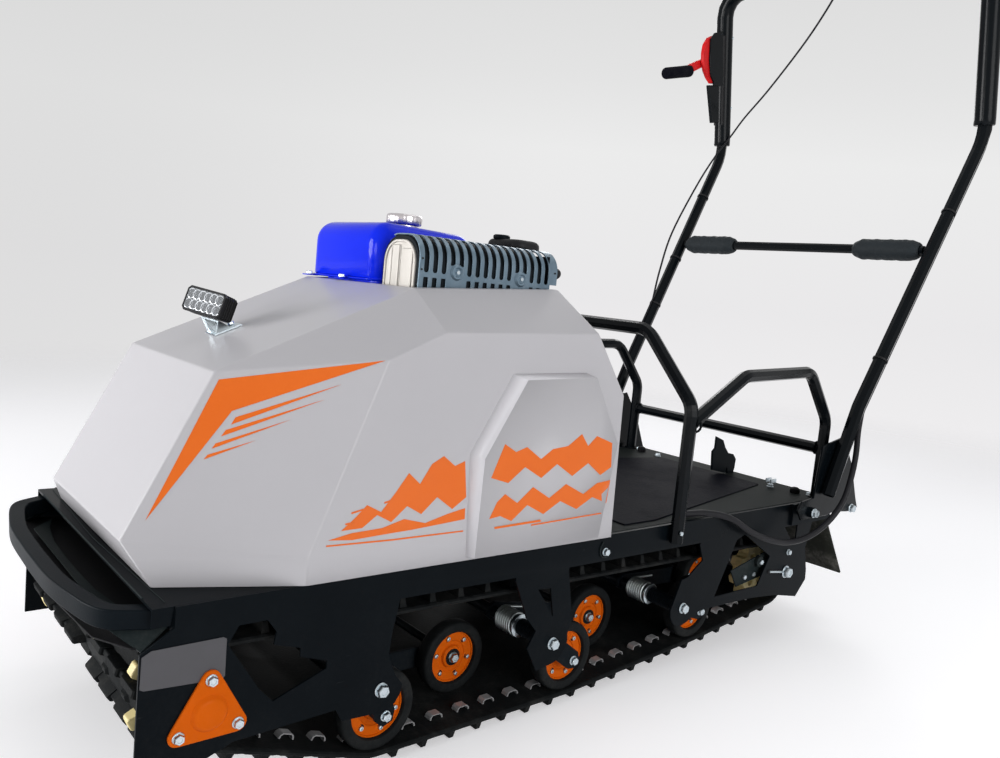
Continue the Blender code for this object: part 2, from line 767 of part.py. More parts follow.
def make_track():
    """One rubber loop: its belt is a ring of cross-sections, and its lugs are pulled out of the belt."""
    runs = track_runs()
    total = sum(run[5] for run in runs)
    half_pitch = total / round(total / LUG_PITCH) / 2
    stations = track_stations(runs, total, half_pitch)
    half = track_half_width()
    shape = bmesh.new()
    rings = []
    for distance, row in stations:
        place, outward = track_point(runs, distance % total)
        face = place + outward * BELT_THICKNESS
        ring = [(-half, place), (-half, face), (0.0, face), (half, face), (half, place)]
        rings.append([shape.verts.new((across, spot.x, spot.y)) for across, spot in ring])
    lugs = []
    for index, ring in enumerate(rings):
        following = rings[(index + 1) % len(rings)]
        row = stations[index][1]
        for edge in range(len(ring)):
            beside = (edge + 1) % len(ring)
            quad = shape.faces.new((ring[edge], ring[beside], following[beside], following[edge]))
            if row is not None and edge == 1 + row % 2:
                lugs.append((quad, stations[index][0] + LUG_FOOT / 2))
    bmesh.ops.recalc_face_normals(shape, faces=shape.faces)
    for quad, middle in lugs:
        pull_lug(shape, quad, track_point(runs, middle % total)[1])
    return smooth(mesh_node("track", shape, "track_rubber"))


def pull_lug(shape, quad, outward):
    """Pull one belt face out into a tapered lug."""
    centre = quad.calc_center_median()
    pulled = bmesh.ops.extrude_discrete_faces(shape, faces=[quad])["faces"][0]
    rise = Vector((0.0, outward.x, outward.y))
    ahead = Vector((0.0, -outward.y, outward.x))
    for corner in pulled.verts:
        away = corner.co - centre
        inward = -1.0 if away.x > 0.0 else 1.0
        corner.co += rise * LUG_HEIGHT - ahead * away.dot(ahead) * (1.0 - LUG_TIP_SHARE)
        corner.co.x += inward * LUG_END_GAP


# Shafts, sprockets and bearing flanges

def sprocket_outline(radius):
    """A sprocket's outline: teeth with flat tips and rounded roots."""
    points = []
    root = radius * SPROCKET_ROOT_SHARE
    pitch_angle = 2 * math.pi / SPROCKET_TEETH
    tooth_shares = ((-0.36, root), (-0.17, radius), (0.17, radius), (0.36, root))
    for tooth in range(SPROCKET_TEETH):
        for share, reach in tooth_shares:
            angle = (tooth + share) * pitch_angle
            points.append((reach * math.cos(angle), reach * math.sin(angle)))
    return points


def make_sprocket_shaft(name, radius, station, height, finish):
    """A shaft across the frame with two toothed wheels joined to it."""
    end = deck_half_width()
    shaft = rod(name, SHAFT_RADIUS, -end, end, station, height, finish, 12)
    for side, sign in mirrored():
        offset = sign * (track_half_width() - SPROCKET_EDGE_GAP) - SPROCKET_THICKNESS / 2
        outline = [(station + along, height + up) for along, up in sprocket_outline(radius)]
        wheel = plate(f"{name}_wheel_{side}", outline, SPROCKET_THICKNESS, offset, finish)
        for hole in range(SPROCKET_HOLES):
            angle = 2 * math.pi * hole / SPROCKET_HOLES
            reach = (radius * SPROCKET_ROOT_SHARE + SHAFT_RADIUS) / 2
            cutter = rod(
                f"{name}_hole_{side}_{hole}", SPROCKET_HOLE_RADIUS, offset - CUT_OVERRUN,
                offset + SPROCKET_THICKNESS + CUT_OVERRUN, station + reach * math.cos(angle),
                height + reach * math.sin(angle), finish, 8)
            combine(wheel, cutter, "DIFFERENCE")
        combine(shaft, wheel, "UNION")


def make_bearing_flanges():
    """Triangular flanges that hold the front shaft's bearings, outside the side plates."""
    reach = BEARING_FLANGE_SIZE / math.sqrt(3.0)
    for side, sign in mirrored():
        outline = []
        for corner in range(3):
            angle = math.pi / 2 + corner * 2 * math.pi / 3
            centre = (FRONT_SHAFT_STATION + reach * math.cos(angle),
                      FRONT_SHAFT_HEIGHT + reach * math.sin(angle))
            outline += arc_points(centre, BEARING_CORNER_RADIUS, angle - math.pi / 3, angle + math.pi / 3, 3)
        inner = sign * (FRAME_WIDTH / 2 + SEAT_GAP)
        outer = inner + sign * BEARING_FLANGE_THICKNESS
        flange = plate(
            f"bearing_flange_{side}", outline, BEARING_FLANGE_THICKNESS, min(inner, outer), "orange_paint")
        hub_end = outer + sign * BEARING_HUB_HEIGHT
        hub = rod(
            f"bearing_hub_{side}", BEARING_HUB_RADIUS, inner, hub_end,
            FRONT_SHAFT_STATION, FRONT_SHAFT_HEIGHT, "orange_paint")
        combine(flange, hub, "UNION")


# Roller suspension

def outer_arm_offset():
    """Offset of an outer arm's middle, inside the side plate."""
    return plate_inner_face() - OUTER_ARM_GAP


def outer_roller_offset():
    """Offset of an outer roller's middle, inside its arm."""
    return outer_arm_offset() - ROLLER_ARM_SPACING


def inner_roller_offset():
    """Offset of an inner roller's middle."""
    return outer_roller_offset() - ROLLER_ROW_SPACING


def inner_arm_offset():
    """Offset of an inner arm's middle, beside its roller."""
    return inner_roller_offset() - INNER_ARM_SPACING


def link_outline(start, end, radius, steps=3):
    """An arm's outline: two round ends and the straight sides between them."""
    along = math.atan2(end[1] - start[1], end[0] - start[0])
    points = arc_points(start, radius, along + math.pi / 2, along + 3 * math.pi / 2, steps)
    points += arc_points(end, radius, along - math.pi / 2, along + math.pi / 2, steps)
    return points


def make_suspension(axle):
    """One cross shaft with its four arms and two stubs, as one solid.

    The front shaft is the outer rollers' own axle, hung from stubs in the side plates. The
    other two turn in the side plates and carry the outer rollers on stubs.
    """
    pivot = pivot_centre(axle)
    outer = outer_centres()[axle]
    inner = inner_centres()[axle]
    name = f"suspension_{axle}"
    arm_middle = outer_arm_offset()
    outer_arm_face = arm_middle + ARM_THICKNESS / 2
    if axle == "front":
        centre, radius, reach = outer, AXLE_RADIUS, outer_arm_face
        stub = (PIVOT_SHAFT_RADIUS, arm_middle, deck_half_width(), *pivot)
    else:
        centre, radius, reach = pivot, PIVOT_SHAFT_RADIUS, deck_half_width()
        stub = (AXLE_RADIUS, outer_roller_offset() - ROLLER_WIDTH / 2, arm_middle, *outer)
    shaft = rod(name, radius, -reach, reach, *centre, "black_paint", 12)
    for side, sign in mirrored():
        arms = (("outer", pivot, outer, arm_middle), ("inner", centre, inner, inner_arm_offset()))
        for row, start, hub, arm_offset in arms:
            arm = plate(
                f"{name}_arm_{row}_{side}", link_outline(start, hub, ARM_RADIUS), ARM_THICKNESS,
                sign * arm_offset - ARM_THICKNESS / 2, "black_paint")
            combine(shaft, arm, "UNION")
        stub_radius, stub_start, stub_end, station, height = stub
        stub_rod = rod(f"{name}_stub_{side}", stub_radius, sign * stub_start, sign * stub_end,
                       station, height, "black_paint", 12)
        combine(shaft, stub_rod, "UNION")
        hole_middle = sign * inner_arm_offset()
        reach = ARM_THICKNESS / 2 + CUT_OVERRUN
        hole = rod(f"{name}_hole_{side}", AXLE_RADIUS + PIN_CLEARANCE, hole_middle - reach,
                   hole_middle + reach, *inner, "black_paint", 12)
        combine(shaft, hole, "DIFFERENCE")


def spin_profile(profile, sides, closed=True):
    """An outline of radius and offset turned about X: a ring, or a solid where its ends are on the axis."""
    shape = bmesh.new()
    rim = [shape.verts.new((reach, 0.0, across)) for reach, across in profile]
    following = rim[1:] + rim[:1] if closed else rim[1:]
    edges = [shape.edges.new(pair) for pair in zip(rim, following)]
    bmesh.ops.spin(
        shape, geom=rim + edges, cent=(0.0, 0.0, 0.0), axis=(0.0, 0.0, 1.0), angle=2 * math.pi,
        steps=sides, use_merge=True)
    bmesh.ops.remove_doubles(shape, verts=shape.verts, dist=0.0001)
    turn = Matrix.Rotation(math.pi / 2, 3, "Y")
    bmesh.ops.rotate(shape, verts=shape.verts, cent=(0.0, 0.0, 0.0), matrix=turn)
    return shape


def make_roller(name, offset, station, height):
    """A roller turned from one profile: a rubber tyre round a thinner steel disc with a bore."""
    half = ROLLER_WIDTH / 2
    disc = ROLLER_DISC_WIDTH / 2
    bore = AXLE_RADIUS + PIN_CLEARANCE
    profile = [
        (bore, disc), (ROLLER_DISC_RADIUS, disc), (ROLLER_DISC_RADIUS, half), (ROLLER_RADIUS, half),
        (ROLLER_RADIUS, -half), (ROLLER_DISC_RADIUS, -half), (ROLLER_DISC_RADIUS, -disc), (bore, -disc),
    ]
    shape = spin_profile(profile, ROLLER_SIDES)
    return smooth(mesh_node(name, shape, "orange_paint", (offset, station, height)))


def make_inner_rollers(axle):
    """Two inner rollers on one axle, turned from one profile."""
    half = ROLLER_WIDTH / 2
    disc = ROLLER_DISC_WIDTH / 2
    middle = inner_roller_offset()
    inner = middle - half
    outer = middle + half
    right = [
        (0.0, middle + disc), (ROLLER_DISC_RADIUS, middle + disc),
        (ROLLER_DISC_RADIUS, outer), (ROLLER_RADIUS, outer), (ROLLER_RADIUS, inner),
        (ROLLER_DISC_RADIUS, inner), (ROLLER_DISC_RADIUS, middle - disc),
        (AXLE_RADIUS, middle - disc),
    ]
    left = [(reach, -across) for reach, across in reversed(right)]
    station, height = inner_centres()[axle]
    shape = spin_profile(right + left, ROLLER_SIDES, False)
    return smooth(mesh_node(f"inner_rollers_{axle}", shape, "orange_paint", (0.0, station, height)))


def make_spring(axle, side, sign):
    """A torsion spring round a pivot shaft, with one leg along the inner arm."""
    station, height = pivot_centre(axle)
    inner = inner_centres()[axle]
    lean = math.atan2(inner[1] - height, inner[0] - station)
    steps = round(SPRING_TURNS * SPRING_STEPS_PER_TURN)
    coil_start = inner_arm_offset() + ARM_THICKNESS / 2 + SPRING_WIRE_RADIUS + SEAT_GAP
    points = []
    for step in range(steps + 1):
        angle = lean + math.pi / 2 + 2 * math.pi * SPRING_TURNS * step / steps
        across = coil_start + SPRING_LENGTH * step / steps
        points.append((sign * across, station + SPRING_RADIUS * math.cos(angle),
                       height + SPRING_RADIUS * math.sin(angle)))
    leg_end = (points[0][0], points[0][1] + SPRING_LEG * math.cos(lean),
               points[0][2] + SPRING_LEG * math.sin(lean))
    return smooth(tube_mesh(f"torsion_spring_{axle}_{side}", [leg_end] + points, SPRING_WIRE_RADIUS, "zinc",
                            resolution=1))


def tube_mesh(name, points, radius, finish, parent=None, resolution=TUBE_RESOLUTION):
    """A tube as a welded mesh."""
    return curve_to_mesh(tube(name, points, radius, finish, parent, resolution))


def make_running_gear():
    """Suspension units, rollers and springs."""
    for axle in PIVOT_STATIONS:
        make_suspension(axle)
        make_inner_rollers(axle)
        for side, sign in mirrored():
            station, height = outer_centres()[axle]
            make_roller(f"outer_roller_{axle}_{side}", sign * outer_roller_offset(), station, height)
            if axle != "front":
                make_spring(axle, side, sign)


# Bumper

def make_bumper():
    """A bent box-section bar round the nose, at the deck's height."""
    start = DECK_FRONT - SEAT_GAP
    nose = BUMPER_DEPTH / 2 - BUMPER_REACH
    arm = plate_inner_face() - BUMPER_ARM_GAP
    corner = arm - BUMPER_CORNER_REACH
    height = BUMPER_TOP - BUMPER_HEIGHT / 2
    shoulder = -BUMPER_REACH / 3
    corners = [(arm, start, height), (arm, shoulder, height), (corner, nose, height),
               (-corner, nose, height), (-arm, shoulder, height), (-arm, start, height)]
    path = bent_path(corners, [BUMPER_BEND_RADIUS] * 4)
    shape = bmesh.new()
    rings = []
    for index, place in enumerate(path):
        before = path[max(index - 1, 0)]
        after = path[min(index + 1, len(path) - 1)]
        along = (after - before).normalized()
        across = Vector((along.y, -along.x, 0.0)) * (BUMPER_DEPTH / 2)
        lift = Vector((0.0, 0.0, BUMPER_HEIGHT / 2))
        ring = [place + across + lift, place - across + lift, place - across - lift, place + across - lift]
        rings.append([shape.verts.new(corner_place) for corner_place in ring])
    for ring, following in zip(rings, rings[1:]):
        for edge in range(4):
            beside = (edge + 1) % 4
            shape.faces.new((ring[edge], ring[beside], following[beside], following[edge]))
    shape.faces.new(rings[0])
    shape.faces.new(rings[-1])
    return mesh_node("front_bumper", shape, "black_paint")


# Hood

def hood_side_offset(station, height):
    """Half width of the hood's flat side at a station and a height above the deck."""
    flare = (station - HOOD_CHEEK_STATION) * HOOD_SIDE_FLARE_SHARE
    taper = (height - HOOD_BELT_HEIGHT) * HOOD_SIDE_TAPER_SHARE
    return FRAME_WIDTH / 2 + HOOD_OVERHANG + flare - taper


def hood_corner_points():
    """The corners of the hood's left half, by name."""
    def side(station, height):
        return (hood_side_offset(station, height), station, DECK_HEIGHT + height)

    def centre(point):
        return (0.0, point[1], point[2])

    corners = {
        "nose": (HOOD_NOSE_HALF_WIDTH, HOOD_NOSE_STATION, DECK_HEIGHT + HOOD_NOSE_HEIGHT),
        "brow": (HOOD_NOSE_HALF_WIDTH, HOOD_BROW_STATION, DECK_HEIGHT + HOOD_BROW_HEIGHT),
        "base": (HOOD_BASE_HALF_WIDTH, HOOD_BASE_STATION, DECK_HEIGHT + SEAT_GAP),
        "belt": (HOOD_BASE_HALF_WIDTH, HOOD_BASE_STATION, DECK_HEIGHT + HOOD_BELT_HEIGHT),
        "cheek_base": side(HOOD_CHEEK_STATION, SEAT_GAP),
        "cheek": side(HOOD_CHEEK_STATION, HOOD_BELT_HEIGHT),
        "shoulder_front": side(HOOD_SHOULDER_FRONT_STATION, HOOD_SHOULDER_FRONT_HEIGHT),
        "shoulder_middle": side(HOOD_SHOULDER_MIDDLE_STATION, HOOD_SHOULDER_MIDDLE_HEIGHT),
        "shoulder_rear": side(HOOD_SHOULDER_REAR_STATION, HOOD_SHOULDER_REAR_HEIGHT),
        "top_front": (HOOD_TOP_FRONT_HALF_WIDTH, HOOD_TOP_FRONT_STATION, DECK_HEIGHT + HOOD_TOP_FRONT_HEIGHT),
        "top_rear": (HOOD_TOP_REAR_HALF_WIDTH, HOOD_TOP_REAR_STATION, DECK_HEIGHT + HOOD_TOP_REAR_HEIGHT),
        "tail_lean": side(HOOD_TAIL_LEAN_STATION, HOOD_TAIL_LEAN_HEIGHT),
        "tail_belt": side(HOOD_TAIL_STATION, HOOD_BELT_HEIGHT),
        "tail_base": side(HOOD_TAIL_STATION, SEAT_GAP),
    }
    for name in ("nose", "brow", "base", "top_front", "top_rear", "tail_lean", "tail_base"):
        corners["middle_" + name] = centre(corners[name])
    return corners


HOOD_FACETS = (
    ("middle_nose", "nose", "brow", "middle_brow"),
    ("middle_base", "base", "nose", "middle_nose"),
    ("base", "belt", "nose"),
    ("base", "cheek_base", "cheek", "belt"),
    ("nose", "belt", "cheek"),
    ("nose", "cheek", "shoulder_front", "brow"),
    ("cheek_base", "tail_base", "tail_belt", "cheek"),
    ("cheek", "tail_belt", "tail_lean", "shoulder_rear", "shoulder_middle", "shoulder_front"),
    ("brow", "shoulder_front", "top_front"),
    ("shoulder_front", "shoulder_middle", "top_front"),
    ("middle_brow", "brow", "top_front", "middle_top_front"),
    ("shoulder_middle", "shoulder_rear", "top_rear", "top_front"),
    ("middle_top_front", "top_front", "top_rear", "middle_top_rear"),
    ("middle_top_rear", "top_rear", "shoulder_rear", "tail_lean", "middle_tail_lean"),
    ("middle_tail_lean", "tail_lean", "tail_belt", "tail_base", "middle_tail_base"),
)


def engine_bay_opening():
    """Half width, front and rear station of the hole in the hood's top."""
    half = HOOD_TOP_REAR_HALF_WIDTH - HOOD_RIM
    return half, HOOD_TOP_FRONT_STATION + HOOD_RIM, HOOD_TOP_REAR_STATION - HOOD_RIM


def make_hood():
    """A faceted moulded shell: half of its facets, mirrored, thickened inward and rounded."""
    corners = hood_corner_points()
    shape = bmesh.new()
    points = {name: shape.verts.new(place) for name, place in corners.items()}
    for facet in HOOD_FACETS:
        shape.faces.new([points[name] for name in facet])
    hood = mesh_node("hood", shape, "hood_plastic")
    mirror = hood.modifiers.new("right_half", "MIRROR")
    mirror.merge_threshold = 0.0001
    mirror.use_clip = True
    bevel(hood, HOOD_EDGE_RADIUS, 1, HOOD_EDGE_ANGLE)
    shell = hood.modifiers.new("shell", "SOLIDIFY")
    shell.thickness = HOOD_SHELL
    shell.offset = -1.0
    shell.use_quality_normals = True
    half, front, rear = engine_bay_opening()
    size = (2 * half, rear - front, 2 * HOOD_RIM + HOOD_TOP_REAR_HEIGHT - HOOD_TOP_FRONT_HEIGHT)
    height = DECK_HEIGHT + (HOOD_TOP_FRONT_HEIGHT + HOOD_TOP_REAR_HEIGHT) / 2
    opening = box("engine_bay_opening", size, (0.0, (front + rear) / 2, height), "hood_plastic")
    combine(hood, opening, "DIFFERENCE")
    rim = DECK_HEIGHT + SEAT_GAP
    width = 2 * (hood_side_offset(HOOD_TAIL_LEAN_STATION, 0.0) + HOOD_SHELL + CUT_OVERRUN)
    length = HOOD_TAIL_LEAN_STATION + 2 * (HOOD_SHELL + CUT_OVERRUN)
    trim = box("hood_rim_trim", (width, length, HOOD_BELT_HEIGHT),
               (0.0, HOOD_TAIL_LEAN_STATION / 2, rim - HOOD_BELT_HEIGHT / 2), "hood_plastic")
    combine(hood, trim, "DIFFERENCE")


def make_scoops():
    """Raised air-scoop panels on the hood's flat sides, each with a slot at its rear."""
    origin = (SCOOP_FRONT, DECK_HEIGHT + HOOD_BELT_HEIGHT)
    outline = scaled(SCOOP_SHARES, (SCOOP_LENGTH, SCOOP_HEIGHT), (SCOOP_FRONT, DECK_HEIGHT + SCOOP_BOTTOM))
    for side, sign in mirrored():
        panel = plate(f"scoop_{side}", outline, SCOOP_DEPTH, 0.0, "hood_plastic")
        for corner in panel.data.vertices:
            place = panel.matrix_world @ corner.co
            height = place.z - DECK_HEIGHT
            shift = hood_side_offset(place.y, height) + SEAT_GAP
            across = sign * (shift + place.x)
            corner.co = panel.matrix_world.inverted() @ Vector((across, place.y, place.z))
        if sign < 0:
            panel.data.flip_normals()
        slot_station = origin[0] + SCOOP_LENGTH - SCOOP_SLOT_WIDTH / 2
        slot_height = DECK_HEIGHT + SCOOP_BOTTOM + SCOOP_SLOT_HEIGHT / 2
        reach = hood_side_offset(slot_station, 0.0) + SCOOP_DEPTH
        size = (SCOOP_DEPTH, 2 * SCOOP_SLOT_WIDTH, SCOOP_SLOT_HEIGHT)
        slot = box(f"scoop_slot_{side}", size, (sign * reach, slot_station, slot_height), "hood_plastic")
        combine(panel, slot, "DIFFERENCE")
        bevel(panel, SCOOP_CHAMFER / 2, 1)


# Engine group

def engine_top():
    """Height of the engine block's top."""
    return DECK_HEIGHT + SEAT_GAP + ENGINE_HEIGHT


def make_engine():
    """The engine block, and the tank with its cap on top of it."""
    centre = (0.0, ENGINE_FRONT + ENGINE_LENGTH / 2, DECK_HEIGHT + SEAT_GAP + ENGINE_HEIGHT / 2)
    box("engine_block", (ENGINE_WIDTH, ENGINE_LENGTH, ENGINE_HEIGHT), centre, "engine_metal")
    floor = engine_top() + SEAT_GAP
    centre = (TANK_CENTRE, ENGINE_FRONT + TANK_LENGTH / 2, floor + TANK_HEIGHT / 2)
    tank = box("fuel_tank", (TANK_WIDTH, TANK_LENGTH, TANK_HEIGHT), centre, "blue_paint")
    bevel(tank, TANK_EDGE_RADIUS, 3)
    cap_floor = floor + TANK_HEIGHT + SEAT_GAP
    shape = bmesh.new()
    bmesh.ops.create_cone(
        shape, cap_ends=True, segments=20, radius1=CAP_NECK_RADIUS, radius2=CAP_RADIUS,
        depth=CAP_HEIGHT)
    cap_place = (TANK_CENTRE, ENGINE_FRONT + TANK_LENGTH * CAP_PLACE_SHARE, cap_floor + CAP_HEIGHT / 2)
    smooth(mesh_node("tank_cap", shape, "zinc", cap_place))


def guard_profile(inset):
    """The muffler guard's arch in the offset-height plane, moved inward by an inset."""
    left = guard_left()
    right = left - GUARD_WIDTH
    bottom = engine_top() + SEAT_GAP
    top = bottom + GUARD_HEIGHT - inset
    bend = GUARD_BEND_RADIUS - inset
    low = bottom if inset == 0.0 else bottom - CUT_OVERRUN
    outer = left - inset
    far = right + inset
    near_corner = (outer - bend, top - bend)
    far_corner = (far + bend, top - bend)
    points = [(outer, low)]
    points += arc_points(near_corner, bend, 0.0, math.pi / 2, 4)
    points += arc_points(far_corner, bend, math.pi / 2, math.pi, 4)
    points.append((far, low))
    return points


def guard_left():
    """Offset of the guard's left face, inside the hood's opening."""
    return engine_bay_opening()[0] - GUARD_SIDE_GAP


def arch(name, profile, front, length, finish):
    """A profile in the offset-height plane, extruded rearward."""
    shape = bmesh.new()
    section = shape.faces.new([shape.verts.new((across, front, up)) for across, up in profile])
    swept = bmesh.ops.extrude_face_region(shape, geom=[section])
    moved = [element for element in swept["geom"] if isinstance(element, bmesh.types.BMVert)]
    bmesh.ops.translate(shape, verts=moved, vec=(0.0, length, 0.0))
    return mesh_node(name, shape, finish)


def make_muffler():
    """The muffler body and the slotted guard over it."""
    guard = arch("muffler_guard", guard_profile(0.0), ENGINE_FRONT, GUARD_LENGTH, "guard_paint")
    hollow = arch(
        "guard_hollow", guard_profile(GUARD_SHEET), ENGINE_FRONT - CUT_OVERRUN,
        GUARD_LENGTH + 2 * CUT_OVERRUN, "guard_paint")
    combine(guard, hollow, "DIFFERENCE")
    pitch = GUARD_LENGTH / (GUARD_SLOTS + 1)
    top = engine_top() + SEAT_GAP + GUARD_HEIGHT
    slot_height = GUARD_BEND_RADIUS * 2
    for slot in range(GUARD_SLOTS):
        station = ENGINE_FRONT + pitch * (slot + 1)
        cutter = box(
            f"guard_slot_{slot}", (GUARD_WIDTH * GUARD_SLOT_REACH_SHARE, GUARD_SLOT_WIDTH, slot_height),
            (guard_left(), station, top), "guard_paint")
        combine(guard, cutter, "DIFFERENCE")
    body = arch(
        "muffler", muffler_profile(), ENGINE_FRONT + MUFFLER_CLEARANCE,
        GUARD_LENGTH - 3 * MUFFLER_CLEARANCE, "muffler_steel")
    return smooth(body)


def muffler_profile():
    """The muffler body's arch, inside the guard by a clearance."""
    inset = GUARD_SHEET + MUFFLER_CLEARANCE
    points = guard_profile(inset)
    bottom = engine_top() + SEAT_GAP
    return [(across, max(up, bottom)) for across, up in points]


def make_air_cleaner():
    """The air cleaner behind the tank: a body on a stem."""
    floor = engine_top() + SEAT_GAP
    station = ENGINE_FRONT + TANK_LENGTH + SEAT_GAP + CLEANER_LENGTH / 2
    offset = guard_left() - GUARD_WIDTH - SEAT_GAP - CLEANER_WIDTH / 2
    centre = (offset, station, floor + CLEANER_LIFT + CLEANER_HEIGHT / 2)
    body = box("air_cleaner", (CLEANER_WIDTH, CLEANER_LENGTH, CLEANER_HEIGHT), centre, "black_plastic")
    bevel(body, CLEANER_EDGE_RADIUS, 2)
    shape = bmesh.new()
    bmesh.ops.create_cone(
        shape, cap_ends=True, segments=12, radius1=CLEANER_STEM_RADIUS, radius2=CLEANER_STEM_RADIUS,
        depth=CLEANER_LIFT + CLEANER_HEIGHT / 2)
    stem_station = ENGINE_FRONT + ENGINE_LENGTH - CLEANER_STEM_RADIUS
    stem_place = (offset, stem_station, floor + (CLEANER_LIFT + CLEANER_HEIGHT / 2) / 2)
    stem = mesh_node("cleaner_stem", shape, "black_plastic", stem_place)
    combine(body, stem, "UNION")


# Lamp

def hood_slope_height(station):
    """Height of the hood's sloping top at a station, on its centre line."""
    rise = HOOD_TOP_FRONT_HEIGHT - HOOD_BROW_HEIGHT
    run = HOOD_TOP_FRONT_STATION - HOOD_BROW_STATION
    return DECK_HEIGHT + HOOD_BROW_HEIGHT + (station - HOOD_BROW_STATION) * rise / run


def make_lamp():
    """A finned bar lamp on a folded foot that is screwed to the hood."""
    rise = HOOD_TOP_FRONT_HEIGHT - HOOD_BROW_HEIGHT
    run = HOOD_TOP_FRONT_STATION - HOOD_BROW_STATION
    slope = math.atan2(rise, run)
    foot_station = LAMP_STATION + LAMP_FOOT_LENGTH / 2
    normal = Vector((0.0, -math.sin(slope), math.cos(slope)))
    foot_place = Vector((0.0, foot_station, hood_slope_height(foot_station)))
    foot_place += normal * (SEAT_GAP + LAMP_BRACKET_SHEET / 2)
    foot = box(
        "lamp_bracket", (LAMP_BRACKET_WIDTH, LAMP_FOOT_LENGTH, LAMP_BRACKET_SHEET), foot_place, "zinc")
    foot.rotation_euler = (slope, 0.0, 0.0)
    lamp_bottom = hood_slope_height(foot_station) + LAMP_LIFT
    upright_bottom = foot_place.z
    upright_top = lamp_bottom - SEAT_GAP
    upright = box(
        "lamp_upright", (LAMP_BRACKET_WIDTH, LAMP_BRACKET_SHEET, upright_top - upright_bottom),
        (0.0, foot_station, (upright_top + upright_bottom) / 2), "zinc")
    combine(foot, upright, "UNION")
    centre = (0.0, foot_station - LAMP_DEPTH / 3, lamp_bottom + LAMP_HEIGHT / 2)
    lamp = box("lamp", (LAMP_WIDTH, LAMP_DEPTH, LAMP_HEIGHT), centre, "black_plastic")
    pitch = LAMP_HEIGHT / LAMP_FIN_COUNT
    for fin in range(1, LAMP_FIN_COUNT):
        height = lamp_bottom + pitch * fin
        groove = box(
            f"lamp_groove_{fin}", (LAMP_WIDTH + 2 * CUT_OVERRUN, LAMP_FIN_DEPTH * 2, LAMP_FIN_GAP),
            (0.0, centre[1] + LAMP_DEPTH / 2, height), "black_plastic")
        combine(lamp, groove, "DIFFERENCE")


# Deck hoops

def hoop_offset():
    """Offset of a hoop leg that is bolted flat against a side plate."""
    return FRAME_WIDTH / 2 + SEAT_GAP + HOOP_TUBE_RADIUS


def make_hoops():
    """The hoop behind the hood, the two side hoops and the bar between them."""
    leg = hoop_offset()
    rear_leg = plate_inner_face() - SIDE_HOOP_REAR_GAP
    foot = DECK_HEIGHT - HOOP_FOOT_DROP
    corners = [(leg, HOOP_STATION, foot), (leg, HOOP_STATION, HOOP_SHOULDER_HEIGHT),
               (HOOP_TOP_HALF_WIDTH, HOOP_STATION, HOOP_HEIGHT),
               (-HOOP_TOP_HALF_WIDTH, HOOP_STATION, HOOP_HEIGHT),
               (-leg, HOOP_STATION, HOOP_SHOULDER_HEIGHT), (-leg, HOOP_STATION, foot)]
    smooth(tube_mesh("hoop_front", bent_path(corners, [HOOP_BEND_RADIUS] * 4), HOOP_TUBE_RADIUS, "black_paint"))
    for side, sign in mirrored():
        rear = sign * rear_leg
        corners = [(sign * leg, HOOP_STATION, SIDE_HOOP_FRONT_HEIGHT),
                   (sign * leg, SIDE_HOOP_RISE_STATION, SIDE_HOOP_RISE_HEIGHT),
                   (rear, SIDE_HOOP_TOP_STATION, SIDE_HOOP_TOP_HEIGHT),
                   (rear, SIDE_HOOP_REAR_STATION, SIDE_HOOP_REAR_HEIGHT),
                   (rear, SIDE_HOOP_REAR_STATION, DECK_HEIGHT + SEAT_GAP)]
        hoop = smooth(tube_mesh(
            f"side_hoop_{side}", bent_path(corners, [HOOP_BEND_RADIUS] * 3), HOOP_TUBE_RADIUS,
            "black_paint"))
        shape = bmesh.new()
        cope_radius = (HOOP_TUBE_RADIUS + SEAT_GAP) / math.cos(math.pi / ROUND_SIDES)
        bmesh.ops.create_cone(
            shape, cap_ends=True, segments=ROUND_SIDES, radius1=cope_radius, radius2=cope_radius,
            depth=HOOP_COPE_LENGTH)
        place = (sign * leg, HOOP_STATION, SIDE_HOOP_FRONT_HEIGHT)
        combine(hoop, mesh_node(f"hoop_cope_{side}", shape, "black_paint", place), "DIFFERENCE")
    reach = rear_leg - HOOP_TUBE_RADIUS - SEAT_GAP
    rod("rear_bar", HOOP_TUBE_RADIUS, -reach, reach, SIDE_HOOP_REAR_STATION, REAR_BAR_HEIGHT,
        "black_paint", 8)


# Handlebar

def handle_bracket_face():
    """Offset of the handle bracket's inner face."""
    return FRAME_WIDTH / 2 + SEAT_GAP


def handle_gusset_face():
    """Offset of the handle gusset's inner face."""
    return handle_bracket_face() + HANDLE_PLATE + HANDLE_SPACING


